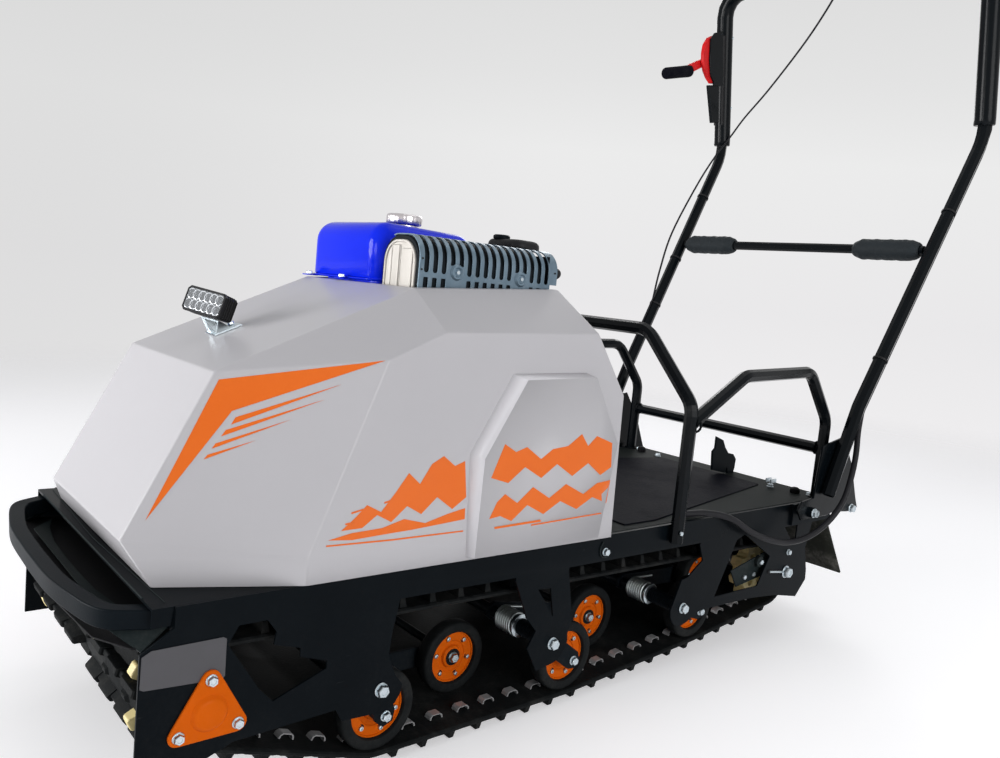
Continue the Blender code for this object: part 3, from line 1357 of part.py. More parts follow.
def make_handle_brackets():
    """Fixed brackets on the side plates, each with the boss and pin that the handlebar turns on."""
    nose = HANDLE_PIVOT_STATION - HANDLE_BRACKET_NOSE
    low = DECK_HEIGHT - HANDLE_PLATE_HEIGHT
    outline = [(nose, low), (nose + HANDLE_BRACKET_LENGTH, low),
               (nose + HANDLE_BRACKET_LENGTH, DECK_HEIGHT), (nose, DECK_HEIGHT)]
    for side, sign in mirrored():
        inner = handle_bracket_face()
        boss_end = handle_gusset_face() - SEAT_GAP
        pin_end = handle_gusset_face() + HANDLE_PLATE + SEAT_GAP + HANDLE_PIN_HEAD_HEIGHT
        offset = inner if sign > 0 else -inner - HANDLE_PLATE
        bracket = plate(f"handle_bracket_{side}", outline, HANDLE_PLATE, offset, "black_paint")
        boss = rod(f"handle_boss_{side}", HANDLE_BOSS_RADIUS, sign * (inner + HANDLE_PLATE / 2),
                   sign * boss_end, HANDLE_PIVOT_STATION, HANDLE_PIVOT_HEIGHT, "black_paint")
        pin = rod(f"handle_pin_{side}", HANDLE_PIN_RADIUS, sign * (inner + HANDLE_PLATE / 2),
                  sign * pin_end, HANDLE_PIVOT_STATION, HANDLE_PIVOT_HEIGHT, "black_paint")
        head = rod(f"handle_head_{side}", HANDLE_PIN_HEAD_RADIUS, sign * (pin_end - HANDLE_PIN_HEAD_HEIGHT),
                   sign * pin_end, HANDLE_PIVOT_STATION, HANDLE_PIVOT_HEIGHT, "black_paint", 6)
        for piece in (boss, pin, head):
            combine(bracket, piece, "UNION")


def handle_foot_offset():
    """Offset of the handle tube's centre at its foot, against the gusset's outer face."""
    return handle_gusset_face() + HANDLE_PLATE + SEAT_GAP + HANDLE_TUBE_RADIUS


def handle_corner(sign, station, height, offset):
    """A handle tube corner, relative to the fold axis."""
    return (sign * offset, station - HANDLE_PIVOT_STATION, height - HANDLE_PIVOT_HEIGHT)


def handle_offset(height):
    """Offset of a handle tube's centre at a height, where the two tubes spread upward."""
    share = (height - HANDLE_KNEE_HEIGHT) / (HANDLE_BEND_HEIGHT - HANDLE_KNEE_HEIGHT)
    return handle_foot_offset() + (HANDLE_BEND_OFFSET - handle_foot_offset()) * max(share, 0.0)


def handle_station(height):
    """Station of a handle tube's centre at a height, between the knee and the bend."""
    share = (height - HANDLE_KNEE_HEIGHT) / (HANDLE_BEND_HEIGHT - HANDLE_KNEE_HEIGHT)
    return HANDLE_KNEE_STATION + (HANDLE_BEND_STATION - HANDLE_KNEE_STATION) * share


def handle_side_path(sign):
    """The handle tube's centre line from one foot to the middle of the top bar."""
    foot = handle_foot_offset()
    corners = [handle_corner(sign, HANDLE_FOOT_STATION, HANDLE_FOOT_HEIGHT, foot),
               handle_corner(sign, HANDLE_KNEE_STATION, HANDLE_KNEE_HEIGHT, foot),
               handle_corner(sign, HANDLE_BEND_STATION, HANDLE_BEND_HEIGHT, HANDLE_BEND_OFFSET),
               handle_corner(sign, HANDLE_TOP_STATION, HANDLE_TOP_HEIGHT, HANDLE_TOP_OFFSET),
               handle_corner(sign, HANDLE_TOP_STATION, HANDLE_TOP_HEIGHT, 0.0)]
    return bent_path(corners, (HANDLE_BEND_RADIUS, HANDLE_BEND_RADIUS, HANDLE_CORNER_RADIUS))


def beside_path(path, reach):
    """Points beside a path: to its rear, or to its front with a negative reach."""
    points = []
    for index, place in enumerate(path):
        along = (path[min(index + 1, len(path) - 1)] - path[max(index - 1, 0)]).normalized()
        rear = Vector((0.0, 1.0, 0.0)) - along * along.y
        points.append(place + rear.normalized() * reach)
    return points


def past_ends(path, overrun):
    """A path whose ends run on by an overrun."""
    start = path[0] + (path[0] - path[1]).normalized() * overrun
    end = path[-1] + (path[-1] - path[-2]).normalized() * overrun
    return [start] + path[1:-1] + [end]


def make_handlebar(axis):
    """The folding handlebar: one bent tube, gussets, crossbar, grips, throttle and cables."""
    path = handle_side_path(1.0)[:-1] + handle_side_path(-1.0)[-2::-1]
    handle = smooth(tube_mesh("handle_tube", path, HANDLE_TUBE_RADIUS, "black_paint", axis))
    inner_path = past_ends(path, CUT_OVERRUN)
    bore = tube_mesh("handle_bore", inner_path, HANDLE_TUBE_RADIUS - HANDLE_TUBE_WALL, "black_paint", axis)
    combine(handle, bore, "DIFFERENCE")
    make_gussets(axis)
    make_crossbar(axis)
    make_controls(axis)
    make_cables(axis)


def make_gussets(axis):
    """The flat plates that join the handle tube's feet to the pivot pins."""
    outline = scaled(GUSSET_SHARES, (HANDLE_GUSSET_LENGTH, HANDLE_GUSSET_RISE))
    for side, sign in mirrored():
        inner = handle_gusset_face()
        offset = inner if sign > 0 else -inner - HANDLE_PLATE
        gusset = plate(f"handle_gusset_{side}", outline, HANDLE_PLATE, offset, "black_paint", axis)
        hole = rod(f"gusset_hole_{side}", HANDLE_PIN_RADIUS + PIN_CLEARANCE, offset - CUT_OVERRUN,
                   offset + HANDLE_PLATE + CUT_OVERRUN, 0.0, 0.0, "black_paint", parent=axis)
        combine(gusset, hole, "DIFFERENCE")


def make_crossbar(axis):
    """The crossbar between the handle tubes, with a foam grip at each end."""
    station = handle_station(CROSSBAR_HEIGHT) - HANDLE_PIVOT_STATION
    height = CROSSBAR_HEIGHT - HANDLE_PIVOT_HEIGHT
    spread = (HANDLE_BEND_OFFSET - handle_foot_offset()) / (HANDLE_BEND_HEIGHT - HANDLE_KNEE_HEIGHT)
    reach = handle_offset(CROSSBAR_HEIGHT) - HANDLE_TUBE_RADIUS - SEAT_GAP - CROSSBAR_RADIUS * spread
    rod("crossbar", CROSSBAR_RADIUS, -reach, reach, station, height, "black_paint", 10, axis)
    for side, sign in mirrored():
        outer = sign * (reach - GRIP_EDGE_RADIUS)
        inner = outer - sign * GRIP_LENGTH
        grip = rod(f"foam_grip_{side}", GRIP_RADIUS, inner, outer, station, height, "foam", 12, axis)
        bore = rod(f"grip_bore_{side}", CROSSBAR_RADIUS + SEAT_GAP, inner - sign * CUT_OVERRUN,
                   outer + sign * CUT_OVERRUN, station, height, "foam", 10, axis)
        bevel(grip, GRIP_EDGE_RADIUS, 2)
        combine(grip, bore, "DIFFERENCE")


def upper_handle_place(height):
    """Station and offset of the handle tube's centre above its bend."""
    share = (height - HANDLE_BEND_HEIGHT) / (HANDLE_TOP_HEIGHT - HANDLE_BEND_HEIGHT)
    station = HANDLE_BEND_STATION + (HANDLE_TOP_STATION - HANDLE_BEND_STATION) * share
    offset = HANDLE_BEND_OFFSET + (HANDLE_TOP_OFFSET - HANDLE_BEND_OFFSET) * share
    return station, offset


def upper_run_turn(sign):
    """The rotation that takes +Z to a handle tube's direction above its bend."""
    rise = Vector((sign * (HANDLE_TOP_OFFSET - HANDLE_BEND_OFFSET),
                   HANDLE_TOP_STATION - HANDLE_BEND_STATION, HANDLE_TOP_HEIGHT - HANDLE_BEND_HEIGHT))
    return Vector((0.0, 0.0, 1.0)).rotation_difference(rise.normalized())


def make_controls(axis):
    """The throttle's backing plate and housing on the right tube, its lever arm and its grip."""
    turn = upper_run_turn(-1.0)
    ahead = turn @ Vector((0.0, -1.0, 0.0))
    height = HANDLE_BEND_HEIGHT + (HANDLE_TOP_HEIGHT - HANDLE_BEND_HEIGHT) * CONTROL_PLACE_SHARE
    station, offset = upper_handle_place(height)
    tube_centre = Vector(handle_corner(-1.0, station, height, offset))
    rise = turn @ Vector((0.0, 0.0, CONTROL_RISE))
    plate_place = tube_centre + ahead * (HANDLE_TUBE_RADIUS + SEAT_GAP + CONTROL_PLATE / 2)
    backing = box("control_plate", (CONTROL_WIDTH, CONTROL_PLATE, CONTROL_PLATE_LENGTH), plate_place,
                  "black_plastic", axis)
    backing.rotation_euler = turn.to_euler()
    reach = HANDLE_TUBE_RADIUS + CONTROL_PLATE + 2 * SEAT_GAP
    housing_place = tube_centre + ahead * (reach + CONTROL_DEPTH / 2) + rise
    housing = box("throttle_housing", (CONTROL_WIDTH, CONTROL_DEPTH, CONTROL_LENGTH), housing_place,
                  "red_plastic", axis)
    housing.rotation_euler = turn.to_euler()
    bevel(housing, CONTROL_EDGE_RADIUS, 2)
    root = housing_place
    down = Vector((0.0, -math.cos(LEVER_SLOPE), -math.sin(LEVER_SLOPE)))
    arm_length = CONTROL_DEPTH / 2 + LEVER_LENGTH
    arm_place = root + down * (arm_length / 2)
    arm = box("lever_arm", (LEVER_THICKNESS, arm_length, LEVER_WIDTH), arm_place, "red_plastic", axis)
    arm.rotation_euler = (LEVER_SLOPE, 0.0, 0.0)
    combine(housing, arm, "UNION")
    level = Vector((0.0, -math.cos(LEVER_GRIP_SLOPE), -math.sin(LEVER_GRIP_SLOPE)))
    grip_place = root + down * (arm_length - LEVER_GRIP_SEAT) + level * (LEVER_GRIP_LENGTH / 2)
    shape = bmesh.new()
    bmesh.ops.create_cone(
        shape, cap_ends=True, segments=12, radius1=LEVER_GRIP_RADIUS, radius2=LEVER_GRIP_RADIUS,
        depth=LEVER_GRIP_LENGTH)
    grip = smooth(mesh_node("throttle_grip", shape, "foam", grip_place, axis))
    grip.rotation_euler = (LEVER_GRIP_SLOPE + math.pi / 2, 0.0, 0.0)
    slot_size = (LEVER_THICKNESS + 2 * SEAT_GAP, arm_length + 2 * SEAT_GAP, LEVER_WIDTH + 2 * SEAT_GAP)
    slot = box("grip_slot", slot_size, arm_place, "foam", axis)
    slot.rotation_euler = (LEVER_SLOPE, 0.0, 0.0)
    combine(grip, slot, "DIFFERENCE")


# Cables

def smooth_route(route, steps):
    """Points on a smooth curve through a cable's route."""
    places = [Vector(place) for place in route]
    padded = [places[0] * 2 - places[1]] + places + [places[-1] * 2 - places[-2]]
    points = []
    for before, start, end, after in zip(padded, padded[1:], padded[2:], padded[3:]):
        for step in range(steps):
            share = step / steps
            points.append((start * 2 + (end - before) * share
                           + (before * 2 - start * 5 + end * 4 - after) * share ** 2
                           + (start * 3 - before - end * 3 + after) * share ** 3) / 2)
    points.append(places[-1])
    return points


def from_axis(route):
    """A route's points, measured from the fold axis."""
    axis_place = Vector((0.0, HANDLE_PIVOT_STATION, HANDLE_PIVOT_HEIGHT))
    return [Vector(place) - axis_place for place in route]


def make_cables(axis):
    """The wrapped cable bundle from the deck to the handle's top, and the thin throttle cable."""
    tied = beside_path(handle_side_path(1.0), HANDLE_TUBE_RADIUS + BUNDLE_RADIUS + SEAT_GAP)[1:]
    tied[-1].x = CLAMP_LENGTH / 2 + SEAT_GAP
    route = [(FRAME_WIDTH / 2 + beside, station, height) for beside, station, height in BUNDLE_ROUTE]
    loose = smooth_route(from_axis(route) + tied[:1], 3)
    smooth(tube_mesh("cable_bundle", loose[:-1] + tied, BUNDLE_RADIUS, "black_plastic", axis))
    make_clamp(axis)
    clipped = beside_path(handle_side_path(-1.0), -HANDLE_TUBE_RADIUS - THROTTLE_CABLE_RADIUS - SEAT_GAP)
    lower = clipped[BEND_STEPS + 1].lerp(clipped[BEND_STEPS + 2], THROTTLE_TIE_SHARE)
    under_clamp = (0.0, HANDLE_TOP_STATION, HANDLE_TOP_HEIGHT - CLAMP_RADIUS - THROTTLE_CABLE_RADIUS / 2)
    loose = smooth_route(from_axis((under_clamp,) + THROTTLE_ROUTE) + [lower], 3)
    points = loose + clipped[:BEND_STEPS + 2][::-1]
    smooth(tube_mesh("throttle_cable", points, THROTTLE_CABLE_RADIUS, "black_plastic", axis, 1))


def make_clamp(axis):
    """The sleeve at the middle of the handle's top bar, where the cables end."""
    half = CLAMP_LENGTH / 2
    bore = HANDLE_TUBE_RADIUS + PIN_CLEARANCE
    profile = [(bore, half), (CLAMP_RADIUS, half), (CLAMP_RADIUS, -half), (bore, -half)]
    place = (0.0, HANDLE_TOP_STATION - HANDLE_PIVOT_STATION, HANDLE_TOP_HEIGHT - HANDLE_PIVOT_HEIGHT)
    smooth(mesh_node("cable_clamp", spin_profile(profile, ROUND_SIDES), "black_plastic", place, axis))


# Tail

def make_tail():
    """The slanting rubber flap under the deck's rear edge, and the tow hitch."""
    top_station = deck_rear() - FLAP_THICKNESS * 2
    top_height = DECK_HEIGHT - DECK_SHEET - SEAT_GAP
    outline = [(top_station, top_height), (top_station + FLAP_THICKNESS, top_height),
               (top_station + FLAP_THICKNESS + FLAP_SWEEP, top_height - FLAP_DROP),
               (top_station + FLAP_SWEEP, top_height - FLAP_DROP)]
    width = 2 * (plate_inner_face() - FLAP_SIDE_GAP)
    plate("mud_flap", outline, width, -width / 2, "mat_rubber")
    origin = (HITCH_STATION - HITCH_LENGTH / 2, DECK_HEIGHT + SEAT_GAP)
    outline = scaled(HITCH_SHARES, (HITCH_LENGTH, HITCH_HEIGHT), origin)
    plate("tow_hitch", outline, HITCH_THICKNESS, HITCH_OFFSET - HITCH_THICKNESS / 2, "black_paint")


def centre_on_origin():
    """Move the tug so that the middle of its box stands over the origin."""
    bpy.context.view_layer.update()
    graph = bpy.context.evaluated_depsgraph_get()
    corners = []
    for node in part_collection.objects:
        if node.type != "EMPTY":
            evaluated = node.evaluated_get(graph)
            corners += [evaluated.matrix_world @ Vector(corner) for corner in evaluated.bound_box]
    middle = [(min(place[i] for place in corners) + max(place[i] for place in corners)) / 2 for i in (0, 1)]
    tug_origin.location = (-middle[0], -middle[1], -min(place.z for place in corners))


def main():
    """Build the whole tug."""
    clear_scene()
    start_collections()
    make_side_plates()
    make_deck()
    make_track()
    make_sprocket_shaft(
        "drive_shaft", FRONT_SPROCKET_RADIUS, FRONT_SHAFT_STATION, FRONT_SHAFT_HEIGHT, "cream_plastic")
    make_sprocket_shaft(
        "idler_shaft", REAR_SPROCKET_RADIUS, REAR_SHAFT_STATION, REAR_SHAFT_HEIGHT, "cream_plastic")
    make_bearing_flanges()
    make_running_gear()
    make_bumper()
    make_hood()
    make_scoops()
    make_engine()
    make_muffler()
    make_air_cleaner()
    make_lamp()
    make_hoops()
    make_handle_brackets()
    axis = bpy.data.objects.new("fold_axis", None)
    part_collection.objects.link(axis)
    axis.parent = tug_origin
    axis.location = (0.0, HANDLE_PIVOT_STATION, HANDLE_PIVOT_HEIGHT)
    make_handlebar(axis)
    make_tail()
    centre_on_origin()
    bpy.context.view_layer.update()


if __name__ == "__main__":
    main()
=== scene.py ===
"""Looks of the tracked snow tug: finishes for its solids, finer pieces over them, and the studio.

Heights are measured from the ground, offsets from the tug's middle, and stations rearward from
the front edge of its side plates. All lengths are metres.
"""

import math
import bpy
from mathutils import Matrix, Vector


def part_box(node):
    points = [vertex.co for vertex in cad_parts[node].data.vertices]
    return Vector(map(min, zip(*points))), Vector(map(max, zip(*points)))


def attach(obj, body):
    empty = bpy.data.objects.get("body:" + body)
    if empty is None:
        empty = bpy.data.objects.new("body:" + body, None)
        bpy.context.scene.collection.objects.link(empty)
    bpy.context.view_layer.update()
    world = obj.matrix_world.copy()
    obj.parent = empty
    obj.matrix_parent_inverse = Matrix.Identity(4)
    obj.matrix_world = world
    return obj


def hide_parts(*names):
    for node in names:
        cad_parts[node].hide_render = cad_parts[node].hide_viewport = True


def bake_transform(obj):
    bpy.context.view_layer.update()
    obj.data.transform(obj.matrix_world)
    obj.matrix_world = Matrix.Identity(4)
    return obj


bl_info = {
    "name": "Tracked Snow Tug",
    "version": (1, 0, 0),
    "blender": (4, 5, 0),
    "location": "3D View > Sidebar > Snow Tug",
    "description": "Dresses a tracked snow tug with its finishes, fasteners, track and studio",
    "category": "Object",
}

import bmesh
import bpy
from bpy.props import FloatProperty, FloatVectorProperty, IntProperty, PointerProperty
from mathutils import Matrix, Quaternion, Vector
from mathutils.bvhtree import BVHTree

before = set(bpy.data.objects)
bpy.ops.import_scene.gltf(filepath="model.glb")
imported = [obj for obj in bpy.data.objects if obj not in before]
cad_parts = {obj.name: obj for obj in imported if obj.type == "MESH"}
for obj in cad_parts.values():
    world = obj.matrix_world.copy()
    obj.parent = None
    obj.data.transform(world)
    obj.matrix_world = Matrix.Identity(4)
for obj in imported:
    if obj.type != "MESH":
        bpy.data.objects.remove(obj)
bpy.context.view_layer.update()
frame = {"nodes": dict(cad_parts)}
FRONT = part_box("side_plate_left")[0].y
PLATE_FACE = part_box("side_plate_left")[1].x
DECK_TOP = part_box("deck")[1].z
SIDES = (("left", 1.0), ("right", -1.0))
TAU = 2 * math.pi
GAP = 0.0004
AXLE_STATIONS = {"front": 0.315, "middle": 0.629, "rear": 0.956}
AXLES = tuple(AXLE_STATIONS)
ARM_PIVOT_HEIGHT = 0.130
HANDLE_PIVOT_STATION, HANDLE_PIVOT_HEIGHT = 1.307, 0.282
TANK_FRONT_STATION = 0.405
HOOD_TOP_SLOPE = 0.0616


def at(offset, station, height):
    """A place in the frame, from an offset, a station and a height."""
    return Vector((offset, FRONT + station, height))


def middle(node):
    """The middle of a solid's box."""
    low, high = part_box(node)
    return (low + high) / 2


# The photograph's camera

PHOTO_SIZE = (1000, 758)
FOCAL_PIXELS = 849.02
SENSOR_WIDTH = 36.0
CAMERA_PLACE = at(1.1709, -0.2947, 0.6734)
CAMERA_RIGHT = Vector((0.6385, 0.7637, 0.0954))
CAMERA_AHEAD = Vector((-0.7563, 0.6456, -0.1059))
CAMERA_UP = CAMERA_RIGHT.cross(CAMERA_AHEAD)


def sight(pixel):
    """The direction in which the camera sees a pixel of the photograph."""
    across = (pixel[0] - PHOTO_SIZE[0] / 2) / FOCAL_PIXELS
    down = (pixel[1] - PHOTO_SIZE[1] / 2) / FOCAL_PIXELS
    return (CAMERA_AHEAD + CAMERA_RIGHT * across - CAMERA_UP * down).normalized()


def seen_on(pixel, axis, value):
    """Where the sight line of a pixel meets the plane on which one coordinate has a value."""
    ray = sight(pixel)
    return CAMERA_PLACE + ray * ((value - CAMERA_PLACE[axis]) / ray[axis])


# Sizes and colours that a user would change

def length(name, description, default):
    """A length that a user can set."""
    return FloatProperty(name=name, description=description, default=default, min=0.0001, unit="LENGTH",
                         precision=4)


def colour(name, description, default):
    """A colour that a user can set."""
    return FloatVectorProperty(name=name, description=description, default=default, min=0.0, max=1.0,
                               subtype="COLOR")


class SnowTugSizes(bpy.types.PropertyGroup):
    """Sizes of the finer pieces."""

    bolt: length("Bolt", "Width over the corners of the chassis bolts' heads", 0.0150)
    screw: length("Screw", "Head diameter of the roller discs' screws", 0.0075)
    roller: length("Roller", "Radius of the rollers' tyres", 0.0580)
    roller_width: length("Roller width", "Width of the rollers' tyres", 0.0260)
    front_sprocket: length("Front sprocket", "Radius on which the belt turns at the front", 0.0568)
    rear_sprocket: length("Rear sprocket", "Radius on which the belt turns at the rear", 0.0628)
    belt: length("Belt", "Thickness of the track's belt", 0.0080)
    lug: length("Lug", "Height of the track's lugs", 0.0150)
    track_width: length("Track width", "Width of the track", 0.5000)
    lug_pitch: length("Lug pitch", "Distance between two lugs of a side", 0.0508)
    spring_wire: length("Spring wire", "Radius of the torsion springs' wire", 0.0031)
    film: length("Film", "Thickness of the coloured film on the hood", 0.0003)
    weld: length("Weld", "Radius of the weld beads", 0.0022)
    guard_sheet: length("Guard sheet", "Sheet thickness of the muffler guard", 0.0016)
    spring_turns: IntProperty(name="Spring turns", description="Coils of a torsion spring", default=7, min=1)


class SnowTugColours(bpy.types.PropertyGroup):
    """Colours of the finishes."""

    frame: colour("Frame", "Powder coat of the chassis and the tubes", (0.0030, 0.0046, 0.0062))
    hood: colour("Hood", "Moulded hood", (0.470, 0.460, 0.480))
    orange: colour("Orange", "Orange film and discs", (0.760, 0.128, 0.003))
    tank: colour("Tank", "Fuel tank's gloss paint", (0.003, 0.017, 0.700))
    guard: colour("Guard", "Muffler guard's paint", (0.085, 0.155, 0.215))
    cream: colour("Cream", "Muffler and sprockets", (0.720, 0.600, 0.280))
    red: colour("Red", "Throttle housing and lever", (0.620, 0.012, 0.014))
    rubber: colour("Rubber", "Track, tyres and mats", (0.0075, 0.0085, 0.0090))
    zinc: colour("Zinc", "Plated bolts and springs", (0.520, 0.590, 0.610))
    floor: colour("Floor", "Studio floor", (0.880, 0.880, 0.890))


def sizes():
    """The sizes set for this scene."""
    return bpy.context.scene.snow_tug_sizes


def colours():
    """The colours set for this scene."""
    return bpy.context.scene.snow_tug_colours


# Shader expressions

class Value:
    """A shader node's output that takes part in Python sums."""

    def __init__(self, finish, socket):
        self.finish = finish
        self.socket = socket

    def maths(self, operation, *values):
        return self.finish.node("ShaderNodeMath", {"operation": operation}, dict(enumerate(values)))

    def __add__(self, other):
        return self.maths("ADD", self, other)

    def __radd__(self, other):
        return self.maths("ADD", other, self)

    def __sub__(self, other):
        return self.maths("SUBTRACT", self, other)

    def __rsub__(self, other):
        return self.maths("SUBTRACT", other, self)

    def __mul__(self, other):
        return self.maths("MULTIPLY", self, other)

    def __rmul__(self, other):
        return self.maths("MULTIPLY", other, self)

    def __pow__(self, other):
        return self.maths("POWER", self, other)

    def most(self, other):
        return self.maths("MAXIMUM", self, other)


class Finish:
    """One material and the expressions that make it."""

    def __init__(self, name, tree=None):
        if tree is None:
            self.material = bpy.data.materials.new(name)
            self.material.use_nodes = True
            tree = self.material.node_tree
        self.tree = tree
        self.tree.nodes.clear()

    def node(self, kind, settings=None, values=None, output=0):
        """Add a node: its settings first, then its sockets' values or links."""
        made = self.tree.nodes.new(kind)
        for key, setting in (settings or {}).items():
            if key == "stops":
                for index, (place, shade) in enumerate(setting):
                    stop = made.color_ramp.elements[index] if index < 2 else made.color_ramp.elements.new(place)
                    stop.position, stop.color = place, (*shade, 1.0)
            else:
                setattr(made, key, setting)
        for key, given in (values or {}).items():
            if isinstance(given, Value):
                self.tree.links.new(given.socket, made.inputs[key])
            else:
                made.inputs[key].default_value = given
        return Value(self, made.outputs[output]) if made.outputs else made

    def place(self):
        """The place in the row frame, as a vector."""
        return self.node("ShaderNodeTexCoord", output="Object")

    def axes(self):
        """The place's three coordinates."""
        split = self.node("ShaderNodeSeparateXYZ", values={0: self.place()})
        return [Value(self, output) for output in split.socket.node.outputs]

    def noise(self, scale, detail=3.0, roughness=0.55, stretch=None, distortion=0.0):
        """Noise from 0 to 1, with its features per metre, stretched along the axes if wanted."""
        where = self.place()
        if stretch:
            where = self.node("ShaderNodeVectorMath", {"operation": "MULTIPLY"}, {0: where, 1: stretch})
        return self.node("ShaderNodeTexNoise", values={
            "Vector": where, "Scale": scale, "Detail": detail, "Roughness": roughness, "Distortion": distortion})

    def cells(self, scale):
        """Distance to the nearest cell's middle."""
        return self.node("ShaderNodeTexVoronoi", values={"Vector": self.place(), "Scale": scale})

    def step(self, value, low, high, start=0.0, end=1.0):
        """A smooth step of a value from start to end."""
        return self.node("ShaderNodeMapRange", {"interpolation_type": "SMOOTHSTEP"},
                         {0: value, 1: low, 2: high, 3: start, 4: end})

    def mix(self, share, first, second):
        """A colour between two colours."""
        def four(shade):
            return shade if isinstance(shade, Value) else (*shade, 1.0)
        return self.node("ShaderNodeMix", {"data_type": "RGBA", "clamp_factor": True},
                         {0: share, 6: four(first), 7: four(second)}, 2)

    def bump(self, height, depth, strength=1.0):
        """A normal bent by a height, whose full range is a depth in metres."""
        return self.node("ShaderNodeBump", values={"Height": height, "Distance": depth, "Strength": strength})

    def surface(self, shade, roughness, normal=None, **settings):
        """Finish with a Principled surface and return the material."""
        values = {"Base Color": shade if isinstance(shade, Value) else (*shade, 1.0), "Roughness": roughness}
        values.update({key.replace("_", " ").title().replace("Ior", "IOR"): given
                       for key, given in settings.items()})
        if normal:
            values["Normal"] = normal
        surface = self.node("ShaderNodeBsdfPrincipled", values=values)
        self.node("ShaderNodeOutputMaterial", values={"Surface": surface})
        return self.material


def darker(shade, share):
    """A colour times a share."""
    return tuple(channel * share for channel in shade)


def towards(shade, other, share):
    """A colour moved towards another."""
    return tuple(a + (b - a) * share for a, b in zip(shade, other))


DUST = (0.19, 0.18, 0.165)


def powder_coat(name, shade, roughness=0.30, dust=0.03, specular=0.035):
    """Satin powder coat: orange peel, faint scuffs and dust that settles low on the machine."""
    finish = Finish(name)
    height = finish.axes()[2]
    clouds = finish.noise(7.0, 5.0, 0.65)
    fine = finish.noise(160.0, 4.0, 0.7)
    low = finish.step(height, 0.05, 0.34, 1.0, 0.12)
    dusty = finish.step(clouds * 0.65 + fine * 0.45, 0.50, 0.85) * low * dust
    scuffs = finish.step(finish.noise(38.0, 6.0, 0.8, (1.0, 0.22, 1.7), 0.6), 0.66, 0.74)
    coat = finish.mix(clouds, darker(shade, 0.75), darker(shade, 1.35))
    coat = finish.mix(scuffs * 0.14, coat, towards(shade, (0.3, 0.3, 0.3), 0.25))
    coat = finish.mix(dusty, coat, DUST)
    peel = finish.bump(finish.noise(420.0, 2.0) + scuffs * 0.3, 0.00022, 0.55)
    return finish.surface(coat, dusty * 0.6 + (clouds * 0.14 + roughness - 0.07), peel,
                          specular_ior_level=specular)


def moulding(name, shade, roughness=0.30):
    """Painted moulding of the hood: nearly even, with a soft peel and small dark specks."""
    finish = Finish(name)
    clouds = finish.noise(3.2, 4.0, 0.6)
    specks = finish.step(finish.noise(260.0, 3.0, 0.7), 0.70, 0.80)
    coat = finish.mix(clouds, darker(shade, 0.955), towards(shade, (1.0, 1.0, 1.0), 0.03))
    coat = finish.mix(specks * 0.10, coat, darker(shade, 0.55))
    peel = finish.bump(finish.noise(130.0, 2.0), 0.00016, 0.35)
    return finish.surface(coat, clouds * 0.12 + (roughness - 0.04) + specks * 0.15, peel,
                          coat_weight=0.06, coat_roughness=0.12, specular_ior_level=0.16)


def film(name, shade):
    """Cast vinyl film: saturated, with a faint mottle and a satin face."""
    finish = Finish(name)
    clouds = finish.noise(14.0, 3.0)
    fibres = finish.noise(330.0, 2.0)
    coat = finish.mix(clouds * 0.5 + fibres * 0.3, darker(shade, 0.93), towards(shade, (1.0, 0.5, 0.1), 0.07))
    return finish.surface(coat, fibres * 0.08 + 0.33, finish.bump(fibres, 0.00008, 0.3), specular_ior_level=0.35)


def rubber(name, shade, roughness=0.70, dust=0.10, grain=240.0, specular=0.04):
    """Moulded rubber: a pebbled skin, grey bloom and trodden-in dust."""
    finish = Finish(name)
    clouds = finish.noise(16.0, 5.0, 0.65)
    pebbles = finish.cells(grain)
    worn = finish.step(clouds * 0.7 + finish.noise(90.0, 4.0, 0.7) * 0.4, 0.50, 0.80)
    coat = finish.mix(clouds, darker(shade, 0.7), darker(shade, 1.5))
    coat = finish.mix(worn * dust, coat, darker(DUST, 0.72))
    skin = finish.bump(pebbles + finish.noise(700.0, 2.0) * 0.6, 0.0004, 0.6)
    return finish.surface(coat, worn * 0.14 + (roughness - 0.05), skin, specular_ior_level=specular)


def plated(name, shade, roughness=0.26, tint=(0.62, 0.66, 0.78), grain=120.0):
    """Zinc plating: a metal face with cloudy spangle, slight tints and dull spots."""
    finish = Finish(name)
    clouds = finish.noise(grain, 4.0, 0.6)
    spots = finish.step(finish.noise(grain * 3.0, 3.0, 0.7), 0.62, 0.75)
    coat = finish.mix(clouds, shade, towards(shade, tint, 0.35))
    coat = finish.mix(spots * 0.35, coat, darker(shade, 0.45))
    return finish.surface(coat, clouds * 0.20 + (roughness - 0.06) + spots * 0.25,
                          finish.bump(clouds + spots * 0.4, 0.0001, 0.5), metallic=1.0)


def gloss(name, shade, roughness=0.12):
    """Gloss enamel under a clear coat, with a faint long-wave peel."""
    finish = Finish(name)
    clouds = finish.noise(9.0, 3.0)
    peel = finish.bump(finish.noise(75.0, 2.0), 0.0002, 0.28)
    coat = finish.mix(clouds, darker(shade, 0.90), towards(shade, (0.02, 0.12, 1.0), 0.06))
    return finish.surface(coat, clouds * 0.06 + roughness, peel, coat_weight=0.10, coat_roughness=0.04,
                          specular_ior_level=0.05)


def heated_paint(name, shade):
    """Heat-proof paint of the guard: metallic grey-blue with browned, chalky patches."""
    finish = Finish(name)
    clouds = finish.noise(22.0, 5.0, 0.6)
    chalk = finish.step(finish.noise(140.0, 4.0, 0.7), 0.52, 0.78)
    coat = finish.mix(clouds, darker(shade, 0.72), towards(shade, (0.45, 0.52, 0.58), 0.30))
    coat = finish.mix(chalk * 0.30, coat, towards(shade, (0.42, 0.40, 0.38), 0.6))
    return finish.surface(coat, chalk * 0.25 + 0.30, finish.bump(chalk + clouds, 0.00015, 0.5), metallic=0.45)


